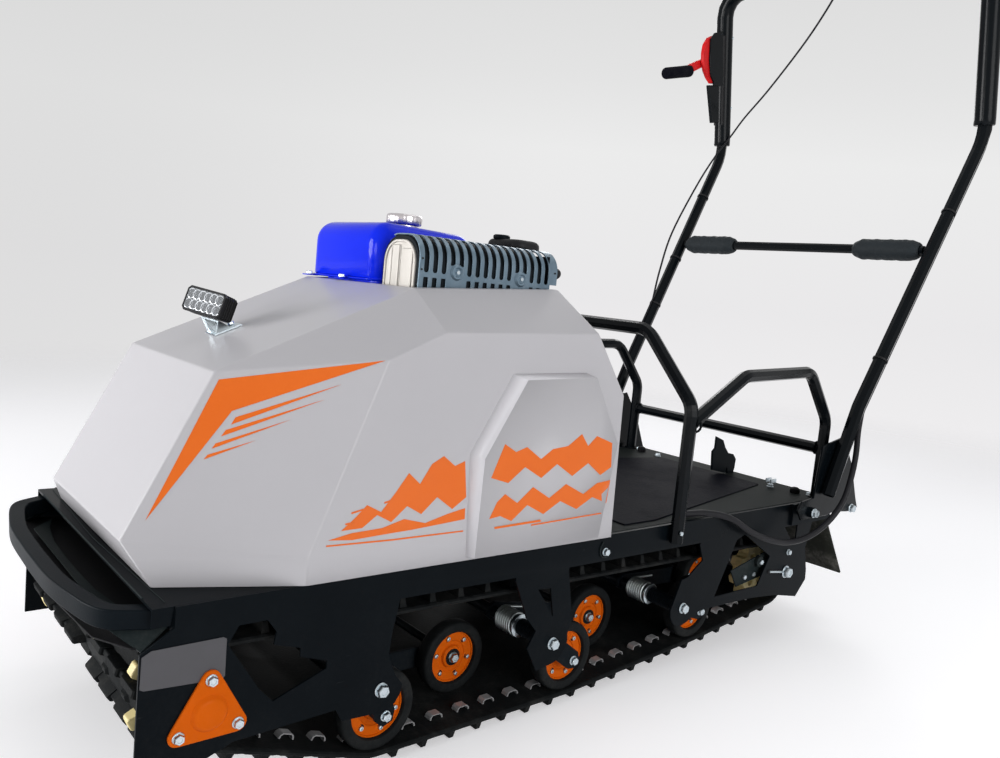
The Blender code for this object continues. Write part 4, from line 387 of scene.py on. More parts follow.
def streaked_steel(name, shade, roughness=0.42):
    """Aluminised sheet: vertical streaks, stains near its seams and a soft sheen."""
    finish = Finish(name)
    streaks = finish.noise(60.0, 4.0, 0.6, (1.0, 1.0, 0.12))
    stains = finish.step(finish.noise(24.0, 5.0, 0.7), 0.55, 0.80)
    coat = finish.mix(streaks, darker(shade, 0.86), towards(shade, (1.0, 1.0, 0.98), 0.22))
    coat = finish.mix(stains * 0.30, coat, darker(shade, 0.58))
    return finish.surface(coat, streaks * 0.2 + (roughness - 0.1), finish.bump(streaks, 0.0001, 0.4),
                          metallic=0.35)


def moulded(name, shade, roughness=0.48, grain=520.0):
    """Spark-eroded plastic: an even fine grain and slightly polished high spots."""
    finish = Finish(name)
    fine = finish.noise(grain, 2.0)
    clouds = finish.noise(18.0, 4.0)
    coat = finish.mix(clouds, darker(shade, 0.8), darker(shade, 1.25))
    return finish.surface(coat, clouds * 0.16 + (roughness - 0.08), finish.bump(fine, 0.00022, 0.55),
                          specular_ior_level=0.15)


def cast_metal(name, shade):
    """Sand-cast alloy under thin black paint: coarse skin with bare flecks."""
    finish = Finish(name)
    coarse = finish.noise(240.0, 4.0, 0.7)
    flecks = finish.step(finish.noise(95.0, 5.0, 0.75), 0.62, 0.70)
    coat = finish.mix(coarse, darker(shade, 0.7), darker(shade, 1.3))
    coat = finish.mix(flecks * 0.5, coat, (0.35, 0.35, 0.36))
    return finish.surface(coat, coarse * 0.25 + 0.40, finish.bump(coarse, 0.0006, 0.7), metallic=0.5)


def cellular(name, shade):
    """Closed-cell foam sleeve: pinholes, squeezed wrinkles and a dry face."""
    finish = Finish(name)
    pores = finish.step(finish.cells(620.0), 0.10, 0.42)
    folds = finish.noise(70.0, 4.0, 0.6, (0.25, 1.0, 1.0), 0.8)
    coat = finish.mix(folds, darker(shade, 0.6), darker(shade, 1.7))
    # The pinholes are painted darker: painted shade inside them.
    coat = finish.mix((1.0 - pores) * 0.5, coat, darker(shade, 0.4))
    return finish.surface(coat, folds * 0.16 + 0.58, finish.bump(pores * 0.4 + folds, 0.0012, 0.8),
                          specular_ior_level=0.28)


def ribbed_sheath(name, shade):
    """Wrapped cable sheath: fine turns along it and a greasy sheen in places."""
    finish = Finish(name)
    turns = finish.noise(380.0, 2.0, 0.5, (1.0, 1.0, 2.2))
    clouds = finish.noise(30.0, 4.0)
    coat = finish.mix(clouds, darker(shade, 0.7), darker(shade, 1.6))
    return finish.surface(coat, clouds * 0.25 + 0.34, finish.bump(turns, 0.0005, 0.6), specular_ior_level=0.15)


def cream_casting(name, shade, shaft):
    """Cream sprockets on a bare steel shaft, told apart by their distance from the shaft."""
    finish = Finish(name)
    _, along, up = finish.axes()
    grime = finish.step(finish.noise(60.0, 5.0, 0.7), 0.42, 0.75)
    body = finish.mix(grime * 0.35, shade, darker(shade, 0.30))
    reach = ((along - shaft.y) ** 2.0 + (up - shaft.z) ** 2.0) ** 0.5
    steel = finish.step(reach, 0.0132, 0.0140, 1.0, 0.0)
    coat = finish.mix(steel, body, (0.16, 0.165, 0.17))
    return finish.surface(coat, grime * 0.2 + 0.42, finish.bump(grime, 0.0003, 0.4), metallic=steel * 0.8)


def clear_lens(name):
    """The lamp's clear polycarbonate lens."""
    finish = Finish(name)
    scratches = finish.noise(300.0, 3.0, 0.6, (1.0, 1.0, 0.2))
    return finish.surface((0.80, 0.84, 0.88), scratches * 0.06 + 0.04, alpha=scratches * 0.10 + 0.14)


def mirror_cup(name):
    """The lamp's metallised reflector cups."""
    finish = Finish(name)
    waves = finish.noise(200.0, 2.0)
    return finish.surface((0.82, 0.84, 0.87), waves * 0.12 + 0.06, finish.bump(waves, 0.0002, 0.4), metallic=0.55)


def light_chip(name):
    """The lamp's yellow phosphor chips."""
    finish = Finish(name)
    dots = finish.cells(900.0)
    return finish.surface(finish.mix(dots, (0.90, 0.72, 0.18), (0.95, 0.86, 0.45)), dots * 0.2 + 0.3)


def blank_label(name, shade):
    """A blank label: matt film with a slightly rubbed face."""
    finish = Finish(name)
    rubbed = finish.noise(45.0, 5.0, 0.7)
    return finish.surface(finish.mix(rubbed, darker(shade, 0.85), darker(shade, 1.2)), rubbed * 0.2 + 0.38,
                          finish.bump(rubbed, 0.0001, 0.3))


FINISHES = {}


def make_finishes():
    """Make every finish once, from the colours set for this scene; each row also names the slot that its finish fills.
    """
    tint = {key: tuple(getattr(colours(), key)) for key in SnowTugColours.__annotations__}
    for name, slot, maker, *given in (
        ("frame_coat", "frame_paint", powder_coat, tint["frame"]),
        ("tube_coat", "frame_paint", powder_coat, darker(tint["frame"], 0.8), 0.20, 0.0, 0.10),
        ("bracket_coat", "frame_paint", powder_coat, darker(tint["frame"], 1.4), 0.42, 0.05),
        # Its dust share lightens it: painted sunlight on the deck's rear, beside the hood's shadow.
        ("deck_coat", "frame_paint", powder_coat, (0.0170, 0.0200, 0.0195), 0.50, 0.35, 0.015),
        ("worn_sheet", "frame_paint", powder_coat, (0.013, 0.018, 0.019), 0.46, 0.40),
        ("hood_coat", "hood_plastic", moulding, tint["hood"]),
        ("orange_film", "roller_orange", film, tint["orange"]),
        ("orange_coat", "roller_orange", powder_coat, darker(tint["orange"], 0.72), 0.34, 0.04),
        ("track_rubber", "track_rubber", rubber, tint["rubber"], 0.66, 0.14),
        ("tyre_rubber", "track_rubber", rubber, darker(tint["rubber"], 1.1), 0.60, 0.10, 420.0),
        # Dark navy as on the deck's shaded part: painted shadow on the deck; the throttle grip's rubber shares it.
        ("mat_rubber", "mat_rubber", rubber, (0.0045, 0.0048, 0.0080), 0.60, 0.05, 150.0, 0.015),
        ("zinc", "spring_zinc", plated, tint["zinc"]),
        ("spring_steel", "spring_zinc", plated, darker(tint["zinc"], 0.82), 0.32, (0.7, 0.68, 0.6), 80.0),
        ("cap_steel", "spring_zinc", plated, (0.66, 0.61, 0.60), 0.24, (0.62, 0.66, 0.78), 14.0),
        ("tank_gloss", "tank_blue", gloss, tint["tank"]),
        ("guard_paint", "guard_paint", heated_paint, tint["guard"]),
        # Near-black: painted shade for the muffler's body and the inside of its guard.
        ("muffler_steel", "muffler_steel", powder_coat, (0.010, 0.013, 0.016), 0.45, 0.30),
        ("cream_steel", "muffler_steel", streaked_steel, (0.44, 0.41, 0.37), 0.40),
        ("clip_steel", "spring_zinc", streaked_steel, (0.34, 0.34, 0.35), 0.36),
        # A lighter copy of the hood's colour for the scoops' chamfers: painted light on faces turned to the lamps.
        ("hood_edge", "hood_plastic", moulding, tuple(min(channel * 1.34, 0.75) for channel in tint["hood"])),
        ("cream_tooth", "sprocket_cream", blank_label, tint["cream"]),
        ("black_plastic", "black_plastic", moulded, (0.012, 0.012, 0.013)),
        ("engine_cast", "engine_metal", cast_metal, (0.035, 0.036, 0.040)),
        ("foam", "foam", cellular, (0.0085, 0.0125, 0.0155)),
        ("sheath", "black_plastic", ribbed_sheath, (0.010, 0.010, 0.012)),
        ("red_plastic", "red_plastic", moulded, tint["red"], 0.36),
        ("front_sprocket", "sprocket_cream", cream_casting, tint["cream"], middle("drive_shaft")),
        ("rear_sprocket", "sprocket_cream", cream_casting, tint["cream"], middle("idler_shaft")),
        ("lens", "black_plastic", clear_lens),
        ("reflector", "spring_zinc", mirror_cup),
        ("chip", "sprocket_cream", light_chip),
        ("worn_rubber", "mat_rubber", rubber, (0.016, 0.017, 0.014), 0.62, 0.75, 160.0),
        ("grey_label", "black_plastic", blank_label, (0.045, 0.044, 0.050)),
        # Near-black: the colour of real black parts such as the roller washers, and painted shade where it fills
        # slots, the scoops' rear walls and the sheet under the bumper.
        ("dark_recess", "black_plastic", moulded, (0.003, 0.003, 0.004), 0.7),
    ):
        FINISHES[name] = maker(name, *given)


# Shapes

def turned(axis, place=(0.0, 0.0, 0.0)):
    """A frame at a place whose Z runs along an axis."""
    turn = Vector((0.0, 0.0, 1.0)).rotation_difference(Vector(axis).normalized())
    return Matrix.Translation(Vector(place)) @ turn.to_matrix().to_4x4()


def on_wall(offset, sign=1.0, along=0.0, height=0.0):
    """A frame on an upright plane at an offset: X runs rearward, Y up and Z outward."""
    return Matrix(((0, 0, sign, sign * offset), (1, 0, 0, along), (0, 1, 0, height), (0, 0, 0, 1)))


def traced(pixels, offset):
    """An outline of the photograph as rearward places and heights on an upright plane at an offset."""
    return [(spot.y, spot.z) for spot in (seen_on(pixel, 0, offset) for pixel in pixels)]


def piece(name, shape, finish, body="tug", replaces=(), crease=38.0):
    """Make an object of a bmesh, give it a finish and let it ride on a body."""
    bmesh.ops.recalc_face_normals(shape, faces=shape.faces)
    mesh = bpy.data.meshes.new(name)
    shape.to_mesh(mesh)
    shape.free()
    mesh.shade_smooth()
    mesh.set_sharp_from_angle(angle=math.radians(crease))
    made = bpy.data.objects.new(name, mesh)
    bpy.context.scene.collection.objects.link(made)
    made.data.materials.append(FINISHES[finish])
    if body:
        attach(made, body)
    if replaces:
        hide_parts(*replaces)
    return made


def rings(shape, loops, closed=False, caps=True):
    """Join loops of places with faces, and close the ends."""
    rows = [[shape.verts.new(place) for place in loop] for loop in loops]
    pairs = list(zip(rows, rows[1:] + rows[:1])) if closed else list(zip(rows, rows[1:]))
    for row, following in pairs:
        count = max(len(row), len(following))
        for index in range(count):
            beside = (index + 1) % count
            corners = [row[index % len(row)], row[beside % len(row)],
                       following[beside % len(following)], following[index % len(following)]]
            kept = []
            for corner in corners:
                if corner not in kept:
                    kept.append(corner)
            if len(kept) > 2:
                shape.faces.new(kept)
    if caps and not closed:
        for row in (rows[0], rows[-1]):
            if len(row) > 2:
                shape.faces.new(row)
    return rows


def circle(radius, count, start=0.0):
    """Places round a circle."""
    return [(radius * math.cos(start + TAU * i / count), radius * math.sin(start + TAU * i / count))
            for i in range(count)]


def lathe(shape, profile, matrix, steps=32, closed=False):
    """Turn a profile of radius and height about a frame's Z."""
    loops = []
    for radius, height in profile:
        if radius < 1e-6:
            loops.append([matrix @ Vector((0.0, 0.0, height))])
            continue
        loops.append([matrix @ Vector((x, y, height)) for x, y in circle(radius, steps)])
    return rings(shape, loops, closed, caps=False)


def along_path(points, closed=False):
    """Frames along a path, without twist: places with their side and up directions."""
    count = len(points)
    frames = []
    side = None
    for index, point in enumerate(points):
        before = points[index - 1] if index or closed else points[index]
        after = points[(index + 1) % count] if index + 1 < count or closed else points[index]
        ahead = (after - before).normalized()
        if side is None:
            side = ahead.orthogonal().normalized()
        side = (side - ahead * side.dot(ahead)).normalized()
        frames.append((point, side, ahead.cross(side)))
    return frames


def tube(shape, points, radius, sides=12, closed=False):
    """A round tube along points; the radius may be a function of the index."""
    loops = []
    for index, (point, side, up) in enumerate(along_path([Vector(p) for p in points], closed)):
        reach = radius(index) if callable(radius) else radius
        loops.append([point + side * x + up * y for x, y in circle(reach, sides)])
    return rings(shape, loops, closed)


def inset(outline, reach):
    """An outline moved inward by a reach."""
    moved = []
    area = sum(a[0] * b[1] - b[0] * a[1] for a, b in zip(outline, outline[1:] + outline[:1]))
    turn = 1.0 if area > 0 else -1.0
    for before, here, after in zip(outline[-1:] + outline[:-1], outline, outline[1:] + outline[:1]):
        first = Vector((here[0] - before[0], here[1] - before[1])).normalized()
        second = Vector((after[0] - here[0], after[1] - here[1])).normalized()
        bisector = Vector((-first.y - second.y, first.x + second.x)) * turn
        bisector.normalize()
        normal = Vector((-first.y, first.x)) * turn
        scale = reach / max(bisector.dot(normal), 0.35)
        moved.append((here[0] + bisector.x * scale, here[1] + bisector.y * scale))
    return moved


def prism(shape, outline, matrix, thickness, edge=0.0008):
    """A plate of an outline in a frame's XY, rising along its Z, with softened edges."""
    soft = inset(outline, edge)
    levels = [(soft, 0.0), (outline, edge), (outline, thickness - edge), (soft, thickness)]
    rings(shape, [[matrix @ Vector((x, y, height)) for x, y in points] for points, height in levels])


def block(shape, size, matrix, edge=0.0015):
    """A box with softened edges, whose middle is a frame's origin."""
    x, y = size[0] / 2, size[1] / 2
    corner = min(edge, x, y)
    outline = [(x, corner - y), (x, y - corner), (x - corner, y), (corner - x, y), (-x, y - corner),
               (-x, corner - y), (corner - x, -y), (x - corner, -y)]
    prism(shape, outline, matrix @ Matrix.Translation((0.0, 0.0, -size[2] / 2)), size[2], edge)


def facets(shape, corners, names):
    """Faces between named corners, each with its own list of names."""
    made = {}
    for row in names:
        for name in row:
            if name not in made:
                made[name] = shape.verts.new(corners[name])
        shape.faces.new([made[name] for name in row])


def rounded(made, width, segments=2, angle=25.0):
    """Round the sharp edges of a piece."""
    edges = made.modifiers.new("rounded_edges", "BEVEL")
    edges.width, edges.segments, edges.limit_method = width, segments, "ANGLE"
    edges.angle_limit = math.radians(angle)
    edges.harden_normals = True
    return made


def thickened(made, thickness, offset=-1.0):
    """Give a piece made of one skin the thickness of its sheet."""
    skin = made.modifiers.new("sheet", "SOLIDIFY")
    skin.thickness, skin.offset = thickness, offset
    return made


def bolt(shape, place, axis, width=None, washer=True, spin=0.3):
    """A hexagon-headed flange bolt, standing on a face at a place."""
    reach = (width or sizes().bolt) / 2
    matrix = turned(axis, place)
    foot = 0.0
    if washer:
        foot = reach * 0.26
        lathe(shape, [(0.0, 0.0), (reach * 1.12, 0.0), (reach * 1.16, foot * 0.5), (reach * 1.06, foot),
                      (0.0, foot)], matrix, 24)
    top = foot + reach * 0.80
    levels = [(reach, foot), (reach, top - reach * 0.16), (reach * 0.86, top), (reach * 0.55, top),
              (reach * 0.48, top - reach * 0.10)]
    rings(shape, [[matrix @ Vector((x, y, height)) for x, y in circle(radius, 6, spin)] for radius, height in levels])


def screw(shape, place, axis, width=None):
    """A socket-head screw with its hexagon recess."""
    reach = (width or sizes().screw) / 2
    matrix = turned(axis, place)
    lathe(shape, [(0.0, 0.0), (reach, 0.0), (reach, reach * 0.5), (reach * 0.82, reach * 0.8),
                  (reach * 0.5, reach * 0.85), (reach * 0.42, reach * 0.3), (0.0, reach * 0.3)], matrix, 18)


def bead(shape, place, axis, radius):
    """A weld bead round a joint, with its ripples."""
    size = sizes().weld
    matrix = turned(axis, place)
    ripple, shortest = 0.0016, 12
    count = max(int(radius * TAU / ripple), shortest)
    points = [matrix @ Vector((x, y, 0.0)) for x, y in circle(radius, count)]
    tube(shape, points, lambda index: size * (1.0 + 0.16 * math.sin(index * 2.1)), 7, True)


def smooth_line(places, steps):
    """Points on a smooth curve through places."""
    places = [Vector(place) for place in places]
    padded = [places[0] * 2 - places[1]] + places + [places[-1] * 2 - places[-2]]
    points = []
    for before, start, end, after in zip(padded, padded[1:], padded[2:], padded[3:]):
        for step in range(steps):
            share = step / steps
            points.append((start * 2 + (end - before) * share
                           + (before * 2 - start * 5 + end * 4 - after) * share ** 2
                           + (start * 3 - before - end * 3 + after) * share ** 3) / 2)
    return points + [places[-1]]


def path_length(points):
    """The length of a line of points."""
    return sum((after - before).length for before, after in zip(points, points[1:]))


def dress(finish, *nodes):
    """Give solids a finish."""
    for node in nodes:
        mesh = frame["nodes"][node].data
        mesh.materials.clear()
        mesh.materials.append(FINISHES[finish])


def soften(width, *nodes):
    """Round the edges of solids that stay in sight."""
    for node in nodes:
        rounded(frame["nodes"][node], width, angle=40.0)


def both(name):
    """A pair of solid names, left and right."""
    return [f"{name}_{side}" for side, _ in SIDES]


class TugOperator(bpy.types.Operator):
    """Base of the tug's operators"""

    bl_idname = "snow_tug.base"
    bl_label = "Base"
    bl_options = {"REGISTER", "UNDO"}


# Studio

KEY_LAMPS = (
    ("front_lamp", (-1.6, -3.3, 0.75), 1.5, 90.0),
    ("nose_lamp", (0.2, -3.9, 0.55), 1.0, 24.0),
    ("side_lamp", (3.7, -0.3, 1.3), 2.4, 70.0),
    ("top_lamp", (0.2, 0.9, 3.6), 2.6, 14.0),
    ("rear_lamp", (-2.4, 2.8, 2.2), 1.6, 22.0),
)
LAMPS_AIM = Vector((0.0, -0.1, 0.4))
FLOOR_RADIUS = 6.0
EVEN_LIGHT = 0.385


class StageOperator(TugOperator):
    """Make the studio floor, the lamps, the world and the photograph's camera"""

    bl_idname = "snow_tug.stage"
    bl_label = "Studio"

    def execute(self, context):
        scene = context.scene
        scene.view_settings.view_transform = "Standard"
        self.floor(scene)
        self.world(scene)
        for name, place, size, power in KEY_LAMPS:
            lamp = bpy.data.lights.new(name, "AREA")
            lamp.shape, lamp.size, lamp.energy = "DISK", size, power
            holder = bpy.data.objects.new(name, lamp)
            holder.location = place
            holder.rotation_euler = (LAMPS_AIM - Vector(place)).to_track_quat("-Z", "Y").to_euler()
            scene.collection.objects.link(holder)
        camera = bpy.data.cameras.new("photo_camera")
        camera.sensor_width = SENSOR_WIDTH
        camera.lens = FOCAL_PIXELS * SENSOR_WIDTH / PHOTO_SIZE[0]
        camera.clip_start = 0.05
        holder = bpy.data.objects.new("photo_camera", camera)
        turn = Matrix((CAMERA_RIGHT, CAMERA_UP, -CAMERA_AHEAD)).transposed()
        holder.matrix_world = Matrix.Translation(CAMERA_PLACE) @ turn.to_4x4()
        scene.collection.objects.link(holder)
        scene.camera = holder
        return {"FINISHED"}

    def seen(self, finish):
        """1 for the rays of the camera, of mirrors and of glass, 0 for the light itself."""
        outputs = finish.node("ShaderNodeLightPath").socket.node.outputs
        camera, mirror, glass = (Value(finish, outputs[f"Is {kind} Ray"]) for kind in
                                 ("Camera", "Glossy", "Transmission"))
        return camera.most(mirror).most(glass)

    def floor(self, scene):
        """A wide pale floor that fades into the background and keeps the tug's shadow."""
        finish = Finish("floor")
        across, along, _ = finish.axes()
        reach = (across ** 2.0 + along ** 2.0) ** 0.5
        fade = finish.step(reach, 2.0, 5.6, 1.0, 0.0)
        grain = finish.noise(30.0, 3.0)
        shade = finish.mix(grain, tuple(colours().floor), darker(tuple(colours().floor), 0.985))
        lift = finish.mix(finish.step(across, -0.6, 1.1), (0.30, 0.295, 0.30), (0.46, 0.455, 0.46))
        glow = finish.mix(self.seen(finish), (0.0, 0.0, 0.0), lift)
        finish.surface(shade, 0.75, alpha=fade, specular_ior_level=0.1, emission_color=glow, emission_strength=1.0)
        shape = bmesh.new()
        rim = [Vector((x, y, 0.0)) for x, y in circle(FLOOR_RADIUS, 64)]
        rings(shape, [rim, [Vector((0.0, 0.0, 0.0))]], caps=False)
        mesh = bpy.data.meshes.new("studio_floor")
        shape.to_mesh(mesh)
        shape.free()
        ground = bpy.data.objects.new("studio_floor", mesh)
        ground.data.materials.append(finish.material)
        scene.collection.objects.link(ground)

    def world(self, scene):
        """Even soft light, and a pale graded background for sight lines."""
        world = bpy.data.worlds.new("studio")
        scene.world = world
        world.use_nodes = True
        finish = Finish("studio", world.node_tree)
        split = finish.node("ShaderNodeSeparateXYZ", values={0: finish.node("ShaderNodeTexCoord", output="Generated")})
        across, along, height = (Value(finish, output) for output in split.socket.node.outputs)
        grade = finish.node("ShaderNodeValToRGB", {"stops": (
            (0.285, (0.955, 0.945, 0.955)), (0.660, (0.735, 0.735, 0.735)), (0.405, (0.885, 0.875, 0.885)),
            (0.500, (0.820, 0.812, 0.822)), (0.582, (0.835, 0.835, 0.835)), (0.620, (0.775, 0.775, 0.775)))},
            {0: height * 0.5 + 0.5})
        grade = finish.mix(finish.step(across * 0.64 + along * 0.76, -0.50, 0.10, 0.62, 0.0), grade,
                           (0.67, 0.67, 0.67))
        plain = finish.node("ShaderNodeBackground", values={0: (0.96, 0.975, 1.0, 1.0), 1: EVEN_LIGHT})
        pale = finish.node("ShaderNodeBackground", values={0: grade, 1: 1.0})
        lit = finish.node("ShaderNodeMixShader", values={0: self.seen(finish), 1: plain, 2: pale})
        finish.node("ShaderNodeOutputWorld", values={0: lit})


# Chassis

BUMPER_LINE = ((0.0, -0.0575, 0.2860), (0.100, -0.0555, 0.2860), (0.165, -0.0470, 0.2860), (0.2120, -0.0370, 0.2860),
               (0.2365, -0.0235, 0.2865), (0.2525, 0.0035, 0.2870), (0.2625, 0.0250, 0.2875), (0.2655, 0.0371, 0.2880))


class ChassisOperator(TugOperator):
    """Build the plates and the bumper, and finish the deck, the tubes and the brackets"""

    bl_idname = "snow_tug.chassis"
    bl_label = "Chassis"

    def execute(self, context):
        tubes = ["hoop_front", *both("side_hoop"), "rear_bar", "handle_tube", "crossbar"]
        arms = [f"suspension_{axle}" for axle in AXLES]
        dress("frame_coat", "deck")
        dress("tube_coat", *tubes)
        dress("bracket_coat", *both("handle_bracket"), *arms)
        dress("front_sprocket", "drive_shaft")
        dress("rear_sprocket", "idler_shaft")
        soften(0.0012, "deck", *arms)
        soften(0.0010, *both("handle_bracket"))
        self.plates()
        self.bumper()
        self.deck_top()
        self.welds()
        self.blank_plates()
        return {"FINISHED"}

    def plates(self):
        """The side plates, with their upper front corner cut away under the bumper."""
        for side, _ in SIDES:
            shape = bmesh.new()
            shape.from_mesh(frame["nodes"][f"side_plate_{side}"].data)
            bmesh.ops.remove_doubles(shape, verts=shape.verts[:], dist=0.00002)
            low, high = Vector((0.0006, 0.2450)), Vector((0.0363, 0.2687))
            along = (high - low).normalized()
            for place, normal in ((low, (0.0, -along.y, along.x)), (high, (0.0, 1.0, 0.0))):
                bmesh.ops.bisect_plane(shape, geom=shape.verts[:] + shape.edges[:] + shape.faces[:],
                                       plane_co=(0.0, FRONT + place.x, place.y), plane_no=normal, dist=1e-6)
            corner = [face for face in shape.faces
                      if all(self.cut_off(v.co, low, along) and v.co.y - FRONT < high.x + 0.00002 for v in face.verts)]
            if not corner:
                shape.free()
                raise RuntimeError(f"side_plate_{side} has no corner to cut")
            bmesh.ops.delete(shape, geom=corner, context="FACES")
            bmesh.ops.holes_fill(shape, edges=[edge for edge in shape.edges if edge.is_boundary])
            rounded(piece(f"chassis_plate_{side}", shape, "frame_coat", replaces=[f"side_plate_{side}"], crease=25.0),
                    0.0007, 2, 30.0)

    def cut_off(self, place, low, along):
        """Whether a place lies above the cut of the plate's corner."""
        across = Vector((place.y - FRONT - low.x, place.z - low.y))
        return along.x * across.y - along.y * across.x > -1e-5

    def bumper(self):
        """The bent flat bar in front, its end gussets, the cross sheet inside it and a near-black sheet below them as
        painted shade.
        """
        line = smooth_line([at(*place) for place in BUMPER_LINE], 5)
        line = [Vector((-spot.x, spot.y, spot.z)) for spot in reversed(line[1:])] + line
        loops = []
        for index, place in enumerate(line):
            before, after = line[max(index - 1, 0)], line[min(index + 1, len(line) - 1)]
            ahead = (after - before).normalized()
            inward = Vector((-ahead.y, ahead.x, 0.0)).normalized()
            down = Vector((0.0, 0.0, -0.0235))
            loops.append([place, place + inward * 0.0205 + Vector((0, 0, -0.0005)), place + inward * 0.0205 + down,
                          place + down + inward * 0.001])
        shape = bmesh.new()
        rings(shape, loops)
        rounded(piece("bumper_bar", shape, "bracket_coat", replaces=["front_bumper"], crease=30.0), 0.0022, 3, 30.0)
        shape = bmesh.new()
        for _, sign in SIDES:
            corners = [at(0.262, 0.0370, 0.2690), seen_on((99.3, 623.6), 2, 0.2625), at(0.271, 0.0030, 0.2450)]
            prism_points = [Vector((sign * spot.x, spot.y, spot.z)) for spot in corners]
            normal = (prism_points[1] - prism_points[0]).cross(prism_points[2] - prism_points[0]).normalized() * 0.003
            rings(shape, [prism_points, [spot + normal for spot in prism_points]])
        piece("bumper_gussets", shape, "worn_sheet", crease=20.0)
        shape = bmesh.new()
        tube(shape, [at(-0.236, 0.0128, 0.2930), at(0.0, 0.0124, 0.2930), at(0.236, 0.0128, 0.2930)], 0.0011, 8)
        tube(shape, [at(-0.258, 0.0302, 0.2934), at(0.0, 0.0215, 0.2934), at(0.258, 0.0302, 0.2934)], 0.0006, 6)
        piece("deck_lip_folds", shape, "worn_sheet")
        front = [(-0.169, -0.0135), (0.169, -0.0135)]
        rear = [(0.2114, 0.0200), (0.1669, 0.0074), (0.1035, -0.0011), (0.029, -0.0032), (-0.029, -0.0032),
                (-0.1035, -0.0011), (-0.1669, 0.0074), (-0.2114, 0.0200)]
        self.flat_sheet("bumper_cross_sheet", front + rear, 0.2595, 0.0025, 0.0005, "worn_sheet", crease=30.0)
        # Painted shade: a near-black sheet under the bumper stands for the deep shade there and hides the track.
        outline = [(-0.265, -0.006), (-0.215, -0.033), (-0.100, -0.042), (0.100, -0.042), (0.215, -0.033),
                   (0.265, -0.006), (0.268, 0.016), (0.268, 0.100), (-0.268, 0.100), (-0.268, 0.016)]
        self.flat_sheet("bumper_apron", outline, 0.2480, 0.0020, 0.0005, "dark_recess", crease=30.0)

    def flat_sheet(self, name, corners, height, thickness, edge, finish, **settings):
        """A level sheet with its lower face at a height. Its corners are offsets and stations."""
        shape = bmesh.new()
        outline = [(offset, FRONT + station) for offset, station in corners]
        prism(shape, outline, Matrix.Translation((0.0, 0.0, height)), thickness, edge)
        piece(name, shape, finish, **settings)

    def deck_top(self):
        """The deck's rear in painted light: a lighter, dustier sheet for its sunlit part, a dark navy sheet edged
        along the hood's shadow for its shaded part, the flap and the latch plate.
        """
        # Painted shadow: the dark sheet's slanting edges follow the hood's shadow on the deck; the lighter sheet under
        # it shows as painted sunlight.
        mat = [(-0.2499, 0.800), (0.2499, 0.800), (0.2495, 0.883), (0.1409, 1.368), (0.1350, 1.374),
               (-0.1350, 1.374), (-0.1409, 1.368), (-0.2495, 0.883)]
        self.flat_sheet("cargo_mat", mat, DECK_TOP + 0.0009, 0.0024, 0.0008, "mat_rubber", replaces=["deck_mat"])
        rear = [(-0.268, 0.745), (0.268, 0.745), (0.268, 1.440), (-0.268, 1.440)]
        self.flat_sheet("deck_rear_sheet", rear, DECK_TOP + GAP / 2, 0.0007, 0.0003, "deck_coat")
        low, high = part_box("mud_flap")
        shape = bmesh.new()
        rows, columns = 14, 18
        loops = []
        for row in range(rows + 1):
            down = row / rows
            width = 0.250 + 0.0240 * down
            line = []
            for column in range(columns + 1):
                across = 2 * column / columns - 1
                wave = 0.0022 * math.sin(across * 5.0 + down * 3.0) * down
                line.append(Vector((across * width, low.y + 0.010 + (high.y - low.y + 0.006) * down + wave,
                                    high.z - (high.z - low.z) * down)))
            loops.append(line)
        grid = [[shape.verts.new(spot) for spot in line] for line in loops]
        for above, below in zip(grid, grid[1:]):
            for column in range(columns):
                shape.faces.new((above[column], above[column + 1], below[column + 1], below[column]))
        thickened(piece("rear_flap", shape, "worn_rubber", replaces=["mud_flap"], crease=60.0), 0.0045, 0.0)
        pixels = ((711.2, 469.7), (712.0, 451.5), (714.8, 447.9), (716.2, 436.4), (722.7, 440.0), (724.5, 446.7),
                  (727.6, 452.7), (732.6, 453.9), (735.0, 458.6), (733.6, 467.3), (731.8, 474.5), (726.0, 473.6),
                  (725.8, 466.5), (723.8, 472.6))
        shape = bmesh.new()
        outline = [(along, max(height, DECK_TOP + 0.0006)) for along, height in traced(pixels, 0.0301)]
        prism(shape, outline, on_wall(0.0271), 0.0060, 0.0008)
        piece("tow_latch", shape, "bracket_coat", replaces=["tow_hitch"])

    def welds(self):
        """Weld beads where the tubes meet each other and the deck."""
        shape = bmesh.new()
        hoop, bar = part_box("hoop_front"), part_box("rear_bar")
        for _, sign in SIDES:
            bead(shape, (sign * (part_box("side_hoop_left")[1].x - 0.012), hoop[1].y + 0.002, 0.472),
                 (0.0, 1.0, 0.0), 0.0125)
            bead(shape, (sign * (bar[1].x - 0.001), middle("rear_bar").y, middle("rear_bar").z),
                 (1.0, 0.0, 0.0), 0.0125)
            bead(shape, (sign * 0.262, middle("rear_bar").y, DECK_TOP + 0.002), (0.0, 0.0, 1.0), 0.0135)
        piece("weld_beads", shape, "tube_coat")

    def blank_plates(self):
        """Blank number plates on the side plates' front corners."""
        for side, sign in SIDES:
            shape = bmesh.new()
            outline = [(0.0015, 0.2060), (0.0060, 0.2035), (0.0940, 0.1975), (0.0970, 0.2005),
                       (0.0965, 0.2455), (0.0925, 0.2480), (0.0120, 0.2480), (0.0020, 0.2425)]
            prism(shape, outline, on_wall(PLATE_FACE + GAP, sign, FRONT), 0.0010, 0.0003)
            piece(f"blank_plate_{side}", shape, "grey_label")


